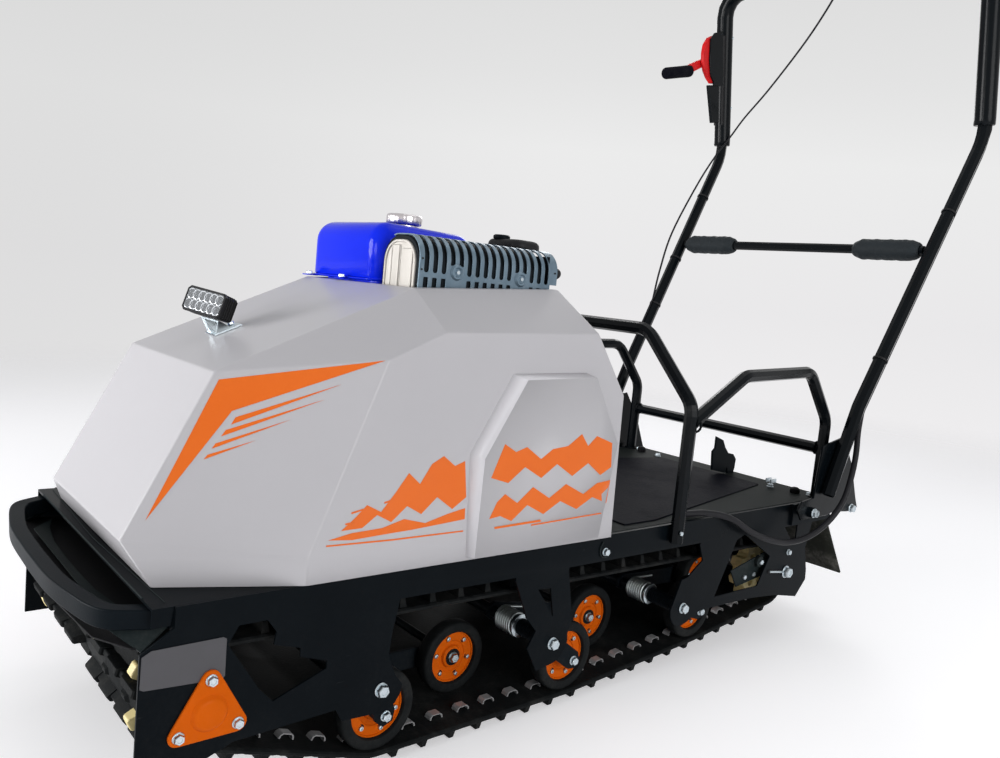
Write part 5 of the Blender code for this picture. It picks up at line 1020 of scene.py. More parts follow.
class FastenersOperator(TugOperator):
    """Add the chassis bolts, the pressed bearing flanges and the track's tension screws"""

    bl_idname = "snow_tug.fasteners"
    bl_label = "Fasteners"

    def execute(self, context):
        shape, dark, deck, loop = bmesh.new(), bmesh.new(), bmesh.new(), bmesh.new()
        for side, sign in SIDES:
            out = (sign, 0.0, 0.0)
            face = sign * (PLATE_FACE + GAP / 2)
            for station in AXLE_STATIONS.values():
                bolt(shape, at(face, station, ARM_PIVOT_HEIGHT), out, 0.0175, spin=station)
            self.flange(side, sign, shape)
            bolt(shape, at(face, 1.2926, 0.1491), out, 0.0225)
            # Painted shade: each tension slot is drawn as a thin near-black plate on the side plate, standing for the
            # dark opening.
            slot = [(-0.030, -0.0045), (0.030, -0.0045), (0.033, 0.0), (0.030, 0.0045), (-0.030, 0.0045),
                    (-0.033, 0.0)]
            tilt = on_wall(abs(face), sign, FRONT + 1.256, 0.1545) @ Matrix.Rotation(-0.145, 4, "Z")
            prism(dark, slot, tilt, 0.0006, 0.0002)
            tube(shape, [tilt @ Vector((-0.026 + 0.0016 * i, 0.0, 0.0012)) for i in range(33)],
                 lambda index: 0.0022 + 0.0004 * (index % 2), 8)
            beam = seen_on((605.3, 551.8), 0, abs(face))
            bolt(shape, (face, beam.y, beam.z), out, 0.0120)
            hook = [seen_on(pixel, 0, abs(face)) for pixel in (
                (603.0, 541.6), (599.8, 549.0), (600.2, 555.0), (603.2, 557.4), (607.6, 555.6), (609.6, 549.0))]
            tube(loop, smooth_line([Vector((face + sign * 0.0012, spot.y, spot.z)) for spot in hook], 4), 0.0011, 8)
            foot = seen_on((680.8, 533.7), 0, 0.2996)
            bolt(shape, (sign * 0.2996, foot.y, foot.z), out, 0.0080, washer=False)
            self.tension_arm(side, sign, shape)
            bolt(shape, at(face, 1.294, 0.1906), out, 0.0110)
            up = (0.0, 0.0, 1.0)
            top = DECK_TOP + GAP / 2 + 0.0008
            bolt(deck, at(sign * 0.1605, 1.3839, top), up, 0.0130)
            lathe(dark, [(0.0, 0.0), (0.010, 0.0), (0.011, 0.003), (0.010, 0.009), (0.006, 0.012), (0.0, 0.0125)],
                  turned(up, at(sign * 0.2180, 1.3890, top)), 24)
            bolt(deck, at(sign * 0.2420, 1.4050, top), up, 0.0100)
        for offset in (-0.006, 0.006):
            place = at(0.1605 + offset, 1.3839, DECK_TOP + 0.0150)
            block(deck, (0.003, 0.022, 0.010), Matrix.Translation(place), 0.001)
        piece("chassis_bolts", shape, "zinc")
        piece("deck_bolts", deck, "zinc")
        piece("beam_hooks", loop, "worn_sheet")
        piece("tension_slots", dark, "dark_recess")
        return {"FINISHED"}

    def tension_arm(self, side, sign, bolts):
        """The worn arm behind the rear window, with two nuts and the idler shaft's end."""
        face, sheet, stub = 0.2600, 0.003, 0.0085
        out = (sign, 0.0, 0.0)
        shape = bmesh.new()
        outline = traced(((731.0, 571.0), (766.0, 551.5), (774.0, 558.0), (772.0, 571.0), (736.0, 587.0)), face)
        prism(shape, outline, on_wall(face - sheet, sign), sheet, 0.0006)
        end = seen_on((757.0, 560.6), 0, face)
        lathe(shape, [(0.0, 0.0), (0.0105, 0.0), (0.0110, 0.0010), (0.0110, stub - 0.0010), (0.0100, stub),
                      (0.0, stub)], turned(out, (sign * face, end.y, end.z)), 28)
        piece(f"tension_arm_{side}", shape, "worn_sheet", crease=30.0)
        bolt(bolts, (sign * (face + stub), end.y, end.z), out, 0.0105, washer=False)
        for pixel in ((743.7, 576.9), (752.9, 573.9)):
            spot = seen_on(pixel, 0, face)
            bolt(bolts, (sign * (face + GAP / 2), spot.y, spot.z), out, 0.0100, washer=False)

    def flange(self, side, sign, bolts):
        """A pressed flange with a low round dome and three bolts."""
        hub = middle("drive_shaft") + Vector((0.0, -0.0025, -0.0035))
        bolts_radius, corner_radius = 0.0400, 0.0115
        shape = bmesh.new()
        outline = []
        for corner in range(3):
            angle = math.pi / 2 + corner * TAU / 3
            for step in range(7):
                turn = angle + math.radians(120) * (step / 6 - 0.5)
                outline.append((bolts_radius * math.cos(angle) + corner_radius * math.cos(turn),
                                bolts_radius * math.sin(angle) + corner_radius * math.sin(turn)))
        matrix = on_wall(PLATE_FACE + GAP, sign, hub.y, hub.z)
        prism(shape, outline, matrix, 0.0042, 0.0010)
        lathe(shape, [(0.0230, 0.0036), (0.0212, 0.0048), (0.0192, 0.0078), (0.0172, 0.0094), (0.0145, 0.0100),
                      (0.0, 0.0100)], matrix, 40)
        piece(f"flange_pressing_{side}", shape, "orange_coat", replaces=[f"bearing_flange_{side}"], crease=30.0)
        for corner in range(3):
            angle = math.pi / 2 + corner * TAU / 3
            spot = matrix @ Vector((bolts_radius * math.cos(angle), bolts_radius * math.sin(angle), 0.0043))
            bolt(bolts, spot, (sign, 0.0, 0.0), 0.0125, spin=corner)


# Track

class TrackOperator(TugOperator):
    """Build the rubber track with its lugs, teeth and steel clips"""

    bl_idname = "snow_tug.track"
    bl_label = "Track"

    def execute(self, context):
        self.runs = self.loop()
        self.total = sum(run[5] for run in self.runs)
        self.count = 2 * round(self.total / sizes().lug_pitch)
        self.pitch = self.total / self.count
        piece("track_belt", self.belt(), "track_rubber", replaces=["track"], crease=30.0)
        piece("track_lugs", self.lugs(), "track_rubber", crease=30.0)
        piece("track_clips", self.clips(), "clip_steel", crease=30.0)
        rounded(piece("sprocket_tips", self.teeth(), "cream_tooth", crease=40.0), 0.0015, 2)
        return {"FINISHED"}

    def loop(self):
        """The belt's inner line: straight runs and arcs round its wheels."""
        seat = 0.0008
        wheels = [(middle("drive_shaft"), sizes().front_sprocket)]
        wheels += [(middle(f"outer_roller_{axle}_left"), sizes().roller + seat) for axle in AXLES]
        wheels += [(middle("idler_shaft"), sizes().rear_sprocket)]
        wheels = [(Vector((centre.y, centre.z)), radius) for centre, radius in wheels]
        normals = []
        for (here, radius), (there, following) in zip(wheels, wheels[1:] + wheels[:1]):
            ahead = (there - here).normalized()
            lean = (radius - following) / (there - here).length
            normals.append(Vector((ahead.y, -ahead.x)) * math.sqrt(1.0 - lean * lean) + ahead * lean)
        runs = []
        for index, (centre, radius) in enumerate(wheels):
            start = math.atan2(normals[index - 1].y, normals[index - 1].x)
            sweep = (math.atan2(normals[index].y, normals[index].x) - start) % TAU
            runs.append(("arc", centre, radius, start, sweep, radius * sweep))
            following, next_radius = wheels[(index + 1) % len(wheels)]
            leave = centre + normals[index] * radius
            arrive = following + normals[index] * next_radius
            runs.append(("line", leave, arrive, normals[index], 0.0, (arrive - leave).length))
        return runs

    def wrap(self, across, distance, height):
        """A place from an offset, a distance round the loop and a height off the belt's inner face."""
        distance %= self.total
        for run in self.runs:
            if distance <= run[5]:
                break
            distance -= run[5]
        share = min(distance / run[5], 1.0)
        if run[0] == "arc":
            angle = run[3] + run[4] * share
            out = Vector((math.cos(angle), math.sin(angle)))
            spot = run[1] + out * (run[2] + height)
        else:
            spot = run[1].lerp(run[2], share) + run[3] * height
        return Vector((across, spot.x, spot.y))

    def belt(self):
        """The belt: rounded edges, a cord ridge at each edge and shallow cross ribs between lugs."""
        shape = bmesh.new()
        half, thick = sizes().track_width / 2, sizes().belt
        section = [(-half, 0.3), (-half, 0.72), (-half + 0.003, 1.0), (-half + 0.010, 0.94), (-0.168, 0.90),
                   (-0.166, 1.0), (-0.008, 1.0), (-0.006, 0.86), (0.006, 0.86), (0.008, 1.0), (0.166, 1.0),
                   (0.168, 0.90), (half - 0.010, 0.94), (half - 0.003, 1.0), (half, 0.72), (half, 0.3),
                   (half - 0.003, 0.0), (0.2, 0.0), (0.0, 0.0), (-0.2, 0.0), (-half + 0.003, 0.0)]
        steps = self.count * 7
        loops = []
        for step in range(steps):
            rib = 0.0007 * (step % 7 in (3, 4))
            loops.append([self.wrap(x, step * self.total / steps, level * thick - (rib if level > 0.8 else 0.0))
                          for x, level in section])
        rings(shape, loops, closed=True)
        return shape

    def bent_block(self, shape, low, high):
        """A tapered block from a foot to a tip, bent with the belt. Each is offsets, distances and a height."""
        (x0, x1, d0, d1, h0), (x2, x3, d2, d3, h1) = low, high
        shrink = 0.12
        levels = [(x0, x1, d0, d1, h0)]
        for share in (0.30, 0.88):
            eased = share ** 0.8
            levels.append((x0 + (x2 - x0) * eased, x1 + (x3 - x1) * eased, d0 + (d2 - d0) * eased,
                           d1 + (d3 - d1) * eased, h0 + (h1 - h0) * share))
        x_cut, d_cut = (x3 - x2) * 0.04, (d3 - d2) * shrink
        levels.append((x2 + x_cut, x3 - x_cut, d2 + d_cut, d3 - d_cut, h1))
        rings(shape, [[self.wrap(a, c, h), self.wrap(b, c, h), self.wrap(b, d, h), self.wrap(a, d, h)]
                      for a, b, c, d, h in levels])

    def lugs(self):
        """Half-width paddles on alternate sides, notched, with guide teeth inside the belt."""
        shape = bmesh.new()
        half, thick, rise = sizes().track_width / 2, sizes().belt, sizes().lug
        for row in range(self.count):
            centre = row * self.pitch
            sign = 1.0 if row % 2 else -1.0
            ends = (0.006, half - 0.006)
            spans = ((0.000, 0.22), (0.26, 0.46), (0.54, 0.74), (0.78, 1.00))
            top = thick + rise
            low_top = thick + rise * 0.70
            for start, end, peak, deep in [(0.0, 1.0, low_top, 0.0048)] + [(a, b, top, 0.0058) for a, b in spans]:
                a = ends[0] + (ends[1] - ends[0]) * start
                b = ends[0] + (ends[1] - ends[0]) * end
                foot = sorted((sign * a, sign * b))
                tip = sorted((sign * (a + 0.0035), sign * (b - 0.0035)))
                self.bent_block(shape, (*foot, centre - deep, centre + deep, thick * 0.95),
                                (*tip, centre - deep * 0.58, centre + deep * 0.58, peak - 0.0001))
            for offset in (0.085, 0.165):
                spot = sorted((-sign * offset, -sign * (offset + 0.022)))
                self.bent_block(shape, (*spot, centre - 0.005, centre + 0.005, thick * 0.9),
                                (spot[0] + 0.004, spot[1] - 0.004, centre - 0.003, centre + 0.003, thick + 0.0035))
        return shape

    def clips(self):
        """Folded steel saddles on the belt's inner face, one row beside each line of sprockets."""
        shape = bmesh.new()
        for row in range(0, self.count, 2):
            centre = (row + 0.5) * self.pitch
            for _, sign in SIDES:
                low, high = sorted((sign * 0.203, sign * 0.217))
                profile = ((-0.0120, -0.0006), (-0.0105, -0.0050), (-0.0070, -0.0078), (0.0070, -0.0078),
                           (0.0105, -0.0050), (0.0120, -0.0006), (0.0096, 0.0), (0.0085, -0.0044),
                           (0.0060, -0.0064), (-0.0060, -0.0064), (-0.0085, -0.0044), (-0.0096, 0.0))
                rings(shape, [[self.wrap(x, centre + d, h) for d, h in profile] for x in (low, high)])
        return shape

    def teeth(self):
        """Cream sprocket tips that come through the belt at its two ends."""
        shape = bmesh.new()
        thick = sizes().belt
        start = 0.0
        for run in self.runs:
            if run[0] == "arc" and run[2] < sizes().rear_sprocket + 0.001 and run[5] > 0.08:
                first = math.ceil((start - 0.01) / (2 * self.pitch))
                place = (first + 0.25) * 2 * self.pitch
                while place < start + run[5] + 0.012:
                    for offset in (-0.208, 0.208):
                        foot = (offset - 0.0105, offset + 0.0105, place - 0.0085, place + 0.0085, 0.001)
                        tip = (offset - 0.0085, offset + 0.0085, place - 0.0060, place + 0.0060, thick + 0.0130)
                        self.bent_block(shape, foot, tip)
                    place += 2 * self.pitch
            start += run[5]
        return shape


# Rollers, springs and axle hardware

class RollersOperator(TugOperator):
    """Build the rubber-tyred rollers with their orange discs, and the inner roller sets"""

    bl_idname = "snow_tug.rollers"
    bl_label = "Rollers"

    def execute(self, context):
        for axle in AXLES:
            for side, sign in SIDES:
                node = f"outer_roller_{axle}_{side}"
                self.roller(node, middle(node), sign, [node])
            inner = middle(f"inner_rollers_{axle}")
            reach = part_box(f"inner_rollers_{axle}")[1].x - sizes().roller_width / 2
            for side, sign in SIDES:
                self.roller(f"inner_roller_{axle}_{side}", Vector((sign * reach, inner.y, inner.z)), sign, [])
            shape = bmesh.new()
            lathe(shape, [(0.0, -reach), (0.0068, -reach), (0.0068, reach), (0.0, reach)],
                  turned((1.0, 0.0, 0.0), inner), 20)
            piece(f"inner_axle_{axle}", shape, "bracket_coat", replaces=[f"inner_rollers_{axle}"])
        self.hub_bolts()
        return {"FINISHED"}

    def roller(self, name, centre, sign, nodes):
        """One roller: tyre, dished disc and disc screws."""
        half, radius = sizes().roller_width / 2, sizes().roller
        matrix = turned((sign, 0.0, 0.0), centre)
        shape = bmesh.new()
        inner = 0.0415
        profile = [(inner, -half * 0.72), (inner, half * 0.72), (inner + 0.0015, half * 0.92),
                   (inner + 0.0045, half), (radius - 0.0042, half), (radius - 0.0014, half * 0.90),
                   (radius, half * 0.68), (radius, -half * 0.68), (radius - 0.0014, -half * 0.90),
                   (radius - 0.0042, -half), (inner + 0.0045, -half), (inner + 0.0015, -half * 0.92)]
        lathe(shape, profile, matrix, 56, closed=True)
        piece(f"{name}_tyre", shape, "tyre_rubber", replaces=nodes, crease=40.0)
        shape = bmesh.new()
        lathe(shape, [(0.0076, -0.0060), (0.0150, -0.0060), (0.0172, -0.0048), (0.0412, -0.0048), (0.0414, 0.0062),
                      (0.0392, 0.0064), (0.0384, 0.0044), (0.0262, 0.0040), (0.0246, 0.0022), (0.0188, 0.0022),
                      (0.0172, 0.0060), (0.0140, 0.0074), (0.0076, 0.0074)], matrix, 56, closed=True)
        piece(f"{name}_disc", shape, "orange_coat", crease=30.0)
        out, screws_radius = (sign, 0.0, 0.0), 0.0325
        screws, washers = bmesh.new(), bmesh.new()
        for index in range(6):
            angle = TAU * (index + 0.3) / 6
            x, y = screws_radius * math.cos(angle), screws_radius * math.sin(angle)
            screw(screws, matrix @ Vector((x, y, 0.0040)), out)
            lathe(washers, [(0.0, 0.0), (0.0056, 0.0), (0.0056, 0.0011), (0.0, 0.0011)],
                  turned(out, matrix @ Vector((x, y, 0.0030))), 18)
        bolt(screws, matrix @ Vector((0.0, 0.0, 0.0072)), out, 0.0150, spin=0.5)
        piece(f"{name}_screws", screws, "zinc")
        lathe(washers, [(0.0077, 0.0), (0.0135, 0.0), (0.0135, 0.0083), (0.0077, 0.0083)], matrix, 32, closed=True)
        piece(f"{name}_washers", washers, "dark_recess")

    def hub_bolts(self):
        """Bolts on the roller axles and the arms."""
        shape = bmesh.new()
        for axle in AXLES:
            for side, sign in SIDES:
                hub = middle(f"outer_roller_{axle}_{side}")
                bolt(shape, (sign * 0.2614, hub.y, hub.z), (sign, 0.0, 0.0), 0.0135, spin=0.8)
        piece("roller_hub_bolts", shape, "zinc")


class SpringsOperator(TugOperator):
    """Build the torsion springs, round and closely coiled, with their seats"""

    bl_idname = "snow_tug.springs"
    bl_label = "Springs"

    def execute(self, context):
        wire = sizes().spring_wire
        for axle in ("middle", "rear"):
            for side, sign in SIDES:
                node = f"torsion_spring_{axle}_{side}"
                low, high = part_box(node)
                pivot = at(0.0, AXLE_STATIONS[axle], ARM_PIVOT_HEIGHT)
                inner = middle(f"inner_rollers_{axle}")
                lean = math.atan2(inner.z - pivot.z, inner.y - pivot.y)
                start, end = (low.x + wire, high.x - wire) if sign > 0 else (high.x - wire, low.x + wire)
                start, end = start + sign * 0.022, end + sign * 0.012
                turns = sizes().spring_turns - 0.5
                count = int(turns * 28)
                points = []
                for step in range(count + 1):
                    angle = lean + math.pi / 2 + TAU * turns * step / count
                    points.append(Vector((start + (end - start) * step / count, pivot.y + 0.0175 * math.cos(angle),
                                          pivot.z + 0.0175 * math.sin(angle))))
                leg = points[0] + Vector((0.0, math.cos(lean), math.sin(lean))) * 0.050
                shape = bmesh.new()
                tube(shape, [leg.lerp(points[0], share / 8) for share in range(8)] + points, wire, 10)
                piece(f"spring_{axle}_{side}", shape, "spring_steel", replaces=[node], crease=60.0)
                shape = bmesh.new()
                seat = turned((sign, 0.0, 0.0), (end + sign * 0.004, pivot.y, pivot.z))
                lathe(shape, [(0.0105, 0.0), (0.0180, 0.0), (0.0195, 0.0015), (0.0195, 0.0050), (0.0170, 0.0065),
                              (0.0105, 0.0065)], seat, 40, closed=True)
                piece(f"spring_seat_{axle}_{side}", shape, "zinc")
                shape = bmesh.new()
                rod_start = abs(end) + 0.011
                profile, step = [(0.0104, rod_start), (0.0135, rod_start)], 0.0045
                count = int((PLATE_FACE - 0.006 - rod_start) / step)
                for turn in range(count):
                    base = rod_start + step * turn
                    profile += [(0.0135, base + step * 0.15), (0.0118, base + step * 0.35),
                                (0.0118, base + step * 0.75), (0.0135, base + step * 0.95)]
                profile += [(0.0104, rod_start + step * count)]
                lathe(shape, profile, turned((sign, 0.0, 0.0), (0.0, pivot.y, pivot.z)), 28, closed=True)
                piece(f"pivot_bush_{axle}_{side}", shape, "bracket_coat")
        return {"FINISHED"}


# Hood

FILM_PIXELS = {
    "swoosh": ((218.9, 379.5), (385.7, 360.6), (232.0, 411.0), (145.3, 520.5)),
    "speed_line_1": ((230.9, 424.7), (235.7, 417.2), (341.5, 384.5)),
    "speed_line_2": ((221.0, 436.5), (225.8, 430.0), (324.1, 399.8)),
    "speed_line_3": ((211.6, 448.8), (215.6, 443.4), (290.6, 419.8)),
    "speed_line_4": ((203.6, 459.5), (207.6, 454.7), (255.8, 440.5)),
}
RIDGE_PIXELS = {
    "ridge_front": ((341, 531), (356, 517), (367, 505), (381, 512), (396, 492), (409, 473), (420, 484), (432, 464),
                    (444, 456), (455, 466), (465, 461), (466, 497), (452, 509), (437, 497), (421, 514), (407, 506),
                    (391, 522), (377, 515), (362, 528)),
    "foothills_front": ((328, 540.5), (352, 533), (382, 528), (404, 519), (425, 523), (447, 514), (465, 508),
                        (464.5, 519), (440, 524), (410, 530), (380, 535), (352, 540)),
    "ridge_rear": ((491, 478), (498, 461), (505, 444), (516, 452), (527, 447), (541, 459), (553, 449), (568, 446),
                   (582, 434), (588, 446), (597, 436), (612, 443), (611.0, 467), (600, 475), (588, 463), (572, 476),
                   (557, 464), (541, 478), (525, 467), (508, 483)),
    "foothills_rear": ((489, 519), (497, 502), (505, 494), (517, 503), (533, 487), (549, 498), (566, 484), (583, 494),
                       (597, 483), (610, 480), (606, 503), (592, 497), (576, 509), (560, 501), (543, 514), (527, 505),
                       (511, 521), (500, 516)),
    "streak_1": ((345, 523.5), (355, 521.2), (355.4, 522.8), (345.4, 525.2)),
    "streak_2": ((351, 512.5), (363, 508.6), (363.5, 510.2), (351.5, 514.2)),
    "streak_3": ((384, 502), (394, 498.6), (394.5, 500.2), (384.5, 503.8)),
    "streak_4": ((326, 545.5), (392, 539), (463, 530.2), (463, 531.6), (392, 540.6), (326, 547)),
    "streak_5": ((494, 527), (540, 519.5), (541, 521.5), (494.4, 529)),
    "streak_6": ((531, 524.4), (601, 512.5), (601, 513.7), (531, 525.8)),
}

# Corners of the hood's left half: offset, station and height. None stands for its flat side's own offset.
HOOD_CORNERS = {
    "nose": (0.161, 0.007, 0.3375), "brow": (0.161, 0.1085, 0.539), "belt": (0.181, 0.0167, 0.319),
    "base": (0.209, 0.030, 0.2938), "cheek_base": (None, 0.192, 0.2938), "cheek": (None, 0.192, 0.3283),
    "shoulder_front": (None, 0.293, 0.570), "shoulder_middle": (None, 0.379, 0.608),
    "shoulder_rear": (None, 0.668, 0.618), "top_front": (0.165, 0.390, 0.662), "top_rear": (0.152, 0.682, 0.680),
    "bay_front": (0.142, 0.400, 0.6626), "bay_rear": (0.142, 0.672, 0.6794), "tail_lean": (None, 0.734, 0.522),
    "tail_belt": (None, 0.727, 0.323), "tail_base": (None, 0.727, 0.2938),
}
HOOD_FACETS = (
    ("middle_nose", "nose", "brow", "middle_brow"), ("middle_base", "base", "belt", "nose", "middle_nose"),
    ("base", "cheek_base", "cheek", "belt"), ("nose", "belt", "cheek"), ("nose", "cheek", "shoulder_front", "brow"),
    ("cheek_base", "tail_base", "tail_belt", "cheek"),
    ("cheek", "tail_belt", "tail_lean", "shoulder_rear", "shoulder_middle", "shoulder_front"),
    ("brow", "shoulder_front", "top_front"), ("shoulder_front", "shoulder_middle", "top_front"),
    ("middle_brow", "brow", "top_front", "middle_top_front"),
    ("shoulder_middle", "shoulder_rear", "top_rear", "top_front"),
    ("middle_top_front", "top_front", "bay_front", "middle_bay_front"),
    ("top_front", "top_rear", "bay_rear", "bay_front"),
    ("bay_rear", "top_rear", "middle_top_rear", "middle_bay_rear"),
    ("middle_top_rear", "top_rear", "shoulder_rear", "tail_lean", "middle_tail_lean"),
    ("middle_tail_lean", "tail_lean", "tail_belt", "tail_base", "middle_tail_base"),
)
SIDE_FOOT = (0.277, 0.190, 0.323)
SIDE_SLOPES = (-0.0162, 0.0553)
SIDE_NORMAL = Vector((1.0, *SIDE_SLOPES))
SCOOP_PROUD = 0.0125
SCOOP_FOOT = {"A": (513.2, 373.5), "B": (584.0, 372.4), "J": (469.4, 453.5), "K": (464.8, 556.2)}
SCOOP_FACE = {"C": (528.5, 380.3), "D": (597.7, 378.0), "F": (617.7, 443.7), "G": (598.0, 537.6),
              "H": (474.6, 558.6), "I": (485.3, 459.0)}


def on_side(pixel, proud=0.0):
    """Where a pixel's sight line meets the hood's flat side, or a face that stands proud of it."""
    ray = sight(pixel)
    foot = at(SIDE_FOOT[0] + proud, *SIDE_FOOT[1:])
    return CAMERA_PLACE + ray * (SIDE_NORMAL.dot(foot - CAMERA_PLACE) / SIDE_NORMAL.dot(ray))


class HoodOperator(TugOperator):
    """Build the hood and its scoops, and lay the orange film on its sides"""

    bl_idname = "snow_tug.hood"
    bl_label = "Hood"

    def execute(self, context):
        self.trees = []
        self.shell()
        self.scoops()
        for name, outline in {**FILM_PIXELS, **RIDGE_PIXELS}.items():
            self.film(name, outline)
        return {"FINISHED"}

    def shell(self):
        """The faceted hood with its engine bay, a moulded skin with crisp rounded creases."""
        shape = bmesh.new()
        for _, sign in SIDES:
            corners = {}
            for name, (offset, station, height) in HOOD_CORNERS.items():
                if offset is None:
                    offset = (SIDE_FOOT[0] - (station - SIDE_FOOT[1]) * SIDE_SLOPES[0]
                              - (height - SIDE_FOOT[2]) * SIDE_SLOPES[1])
                corners[name] = at(sign * offset, station, height)
                corners["middle_" + name] = at(0.0, station, height)
            facets(shape, corners, HOOD_FACETS)
        bmesh.ops.remove_doubles(shape, verts=shape.verts[:], dist=0.0001)
        bmesh.ops.recalc_face_normals(shape, faces=shape.faces[:])
        self.trees.append(BVHTree.FromBMesh(shape))
        made = piece("hood_shell", shape, "hood_coat", replaces=["hood"], crease=3.0)
        thickened(rounded(made, 0.0022, 3, 6.0), 0.004)

    def scoops(self):
        """Raised panels on the hood's sides: a flat face, wide chamfers in a lighter copy of the hood's colour as
        painted light, and a near-black rear wall as painted shade.
        """
        corners = {key: on_side(pixel, -0.0006) for key, pixel in SCOOP_FOOT.items()}
        corners.update({key: on_side(pixel, SCOOP_PROUD) for key, pixel in SCOOP_FACE.items()})
        sunk = SIDE_NORMAL.normalized() * -(SCOOP_PROUD + 0.0006)
        for key, rear in (("D", 0.005), ("F", 0.009), ("G", 0.014)):
            corners[key + "_foot"] = corners[key] + sunk + Vector((0.0, rear, 0.0))
        for key in "KHG":
            corners[key].z = max(corners[key].z, 0.2945)
        corners["G_foot"].z = corners["G"].z
        skin = (("C", "D", "F", "G", "H", "I"), ("B", "D_foot", "D"), ("D", "D_foot", "F_foot", "F"))
        chamfers = (("A", "B", "D", "C"), ("A", "C", "I", "J"), ("J", "I", "H", "K"))
        for side, sign in SIDES:
            placed = {key: Vector((sign * spot.x, spot.y, spot.z)) for key, spot in corners.items()}
            shape = bmesh.new()
            facets(shape, placed, skin)
            bmesh.ops.recalc_face_normals(shape, faces=shape.faces[:])
            if sign > 0:
                self.trees.append(BVHTree.FromBMesh(shape))
            edge = bmesh.new()
            facets(edge, placed, chamfers)
            bmesh.ops.recalc_face_normals(edge, faces=edge.faces[:])
            # The chamfers take a lighter copy of the hood's colour: painted light.
            rim = piece(f"scoop_edge_{side}", edge, "hood_edge", crease=3.0)
            thickened(rounded(rim, 0.0008, 2, 6.0), 0.0025)
            made = piece(f"scoop_panel_{side}", shape, "hood_coat", replaces=[f"scoop_{side}"], crease=3.0)
            thickened(rounded(made, 0.0012, 2, 6.0), 0.0025)
            shape = bmesh.new()
            # Painted shade: a near-black rear wall behind the raised face stands for the panel's shadow and the gap
            # there.
            facets(shape, placed, (("F", "F_foot", "G_foot", "G"), ("G", "G_foot", "K", "H")))
            piece(f"scoop_vent_{side}", shape, "dark_recess", crease=3.0)

    def hit(self, pixel):
        """Where the camera's sight line meets the hood, and the face's direction there."""
        found = [tree.ray_cast(CAMERA_PLACE, sight(pixel)) for tree in self.trees]
        found = [spot for spot in found if spot[0] is not None]
        if not found:
            return None
        place, normal, _, _ = min(found, key=lambda spot: spot[3])
        return place + normal * (0.0002 if normal.dot(sight(pixel)) < 0 else -0.0002), normal

    def film(self, name, outline):
        """Cut an outline into small faces, lay them on the hood and thicken them into film, on both sides."""
        mesh_pixels, longest = 7.0, 0.045
        flat = bmesh.new()
        flat.faces.new([flat.verts.new((x, y, 0.0)) for x, y in outline])
        xs = [x for x, _ in outline]
        ys = [y for _, y in outline]
        for low, high, normal in ((min(xs), max(xs), (1, 0, 0)), (min(ys), max(ys), (0, 1, 0))):
            cut = low + mesh_pixels
            while cut < high:
                spot = (cut, 0, 0) if normal[0] else (0, cut, 0)
                bmesh.ops.bisect_plane(flat, geom=flat.verts[:] + flat.edges[:] + flat.faces[:], plane_co=spot,
                                       plane_no=normal, dist=1e-4)
                cut += mesh_pixels
        lost = []
        for corner in flat.verts:
            found = self.hit((corner.co.x, corner.co.y))
            if found is None:
                lost.append(corner)
            else:
                corner.co = found[0]
        bmesh.ops.delete(flat, geom=lost, context="VERTS")
        long_edges = [edge for edge in flat.edges if edge.calc_length() > longest]
        bmesh.ops.delete(flat, geom=long_edges, context="EDGES")
        bmesh.ops.triangulate(flat, faces=flat.faces[:])
        for side, sign in SIDES:
            copy = flat.copy()
            for corner in copy.verts:
                corner.co.x *= sign
            bmesh.ops.recalc_face_normals(copy, faces=copy.faces)
            outward = sum(face.normal.x * face.calc_area() for face in copy.faces) * sign
            if outward < 0:
                bmesh.ops.reverse_faces(copy, faces=copy.faces[:])
            bottom = copy.faces[:]
            swept = bmesh.ops.extrude_face_region(copy, geom=bottom)
            normals = {v: v.normal.copy() for v in swept["geom"] if isinstance(v, bmesh.types.BMVert)}
            for corner, normal in normals.items():
                corner.co += normal * sizes().film
            bmesh.ops.reverse_faces(copy, faces=[face for face in bottom if face.is_valid])
            piece(f"{name}_{side}", copy, "orange_film", crease=50.0)
        flat.free()


# Engine group

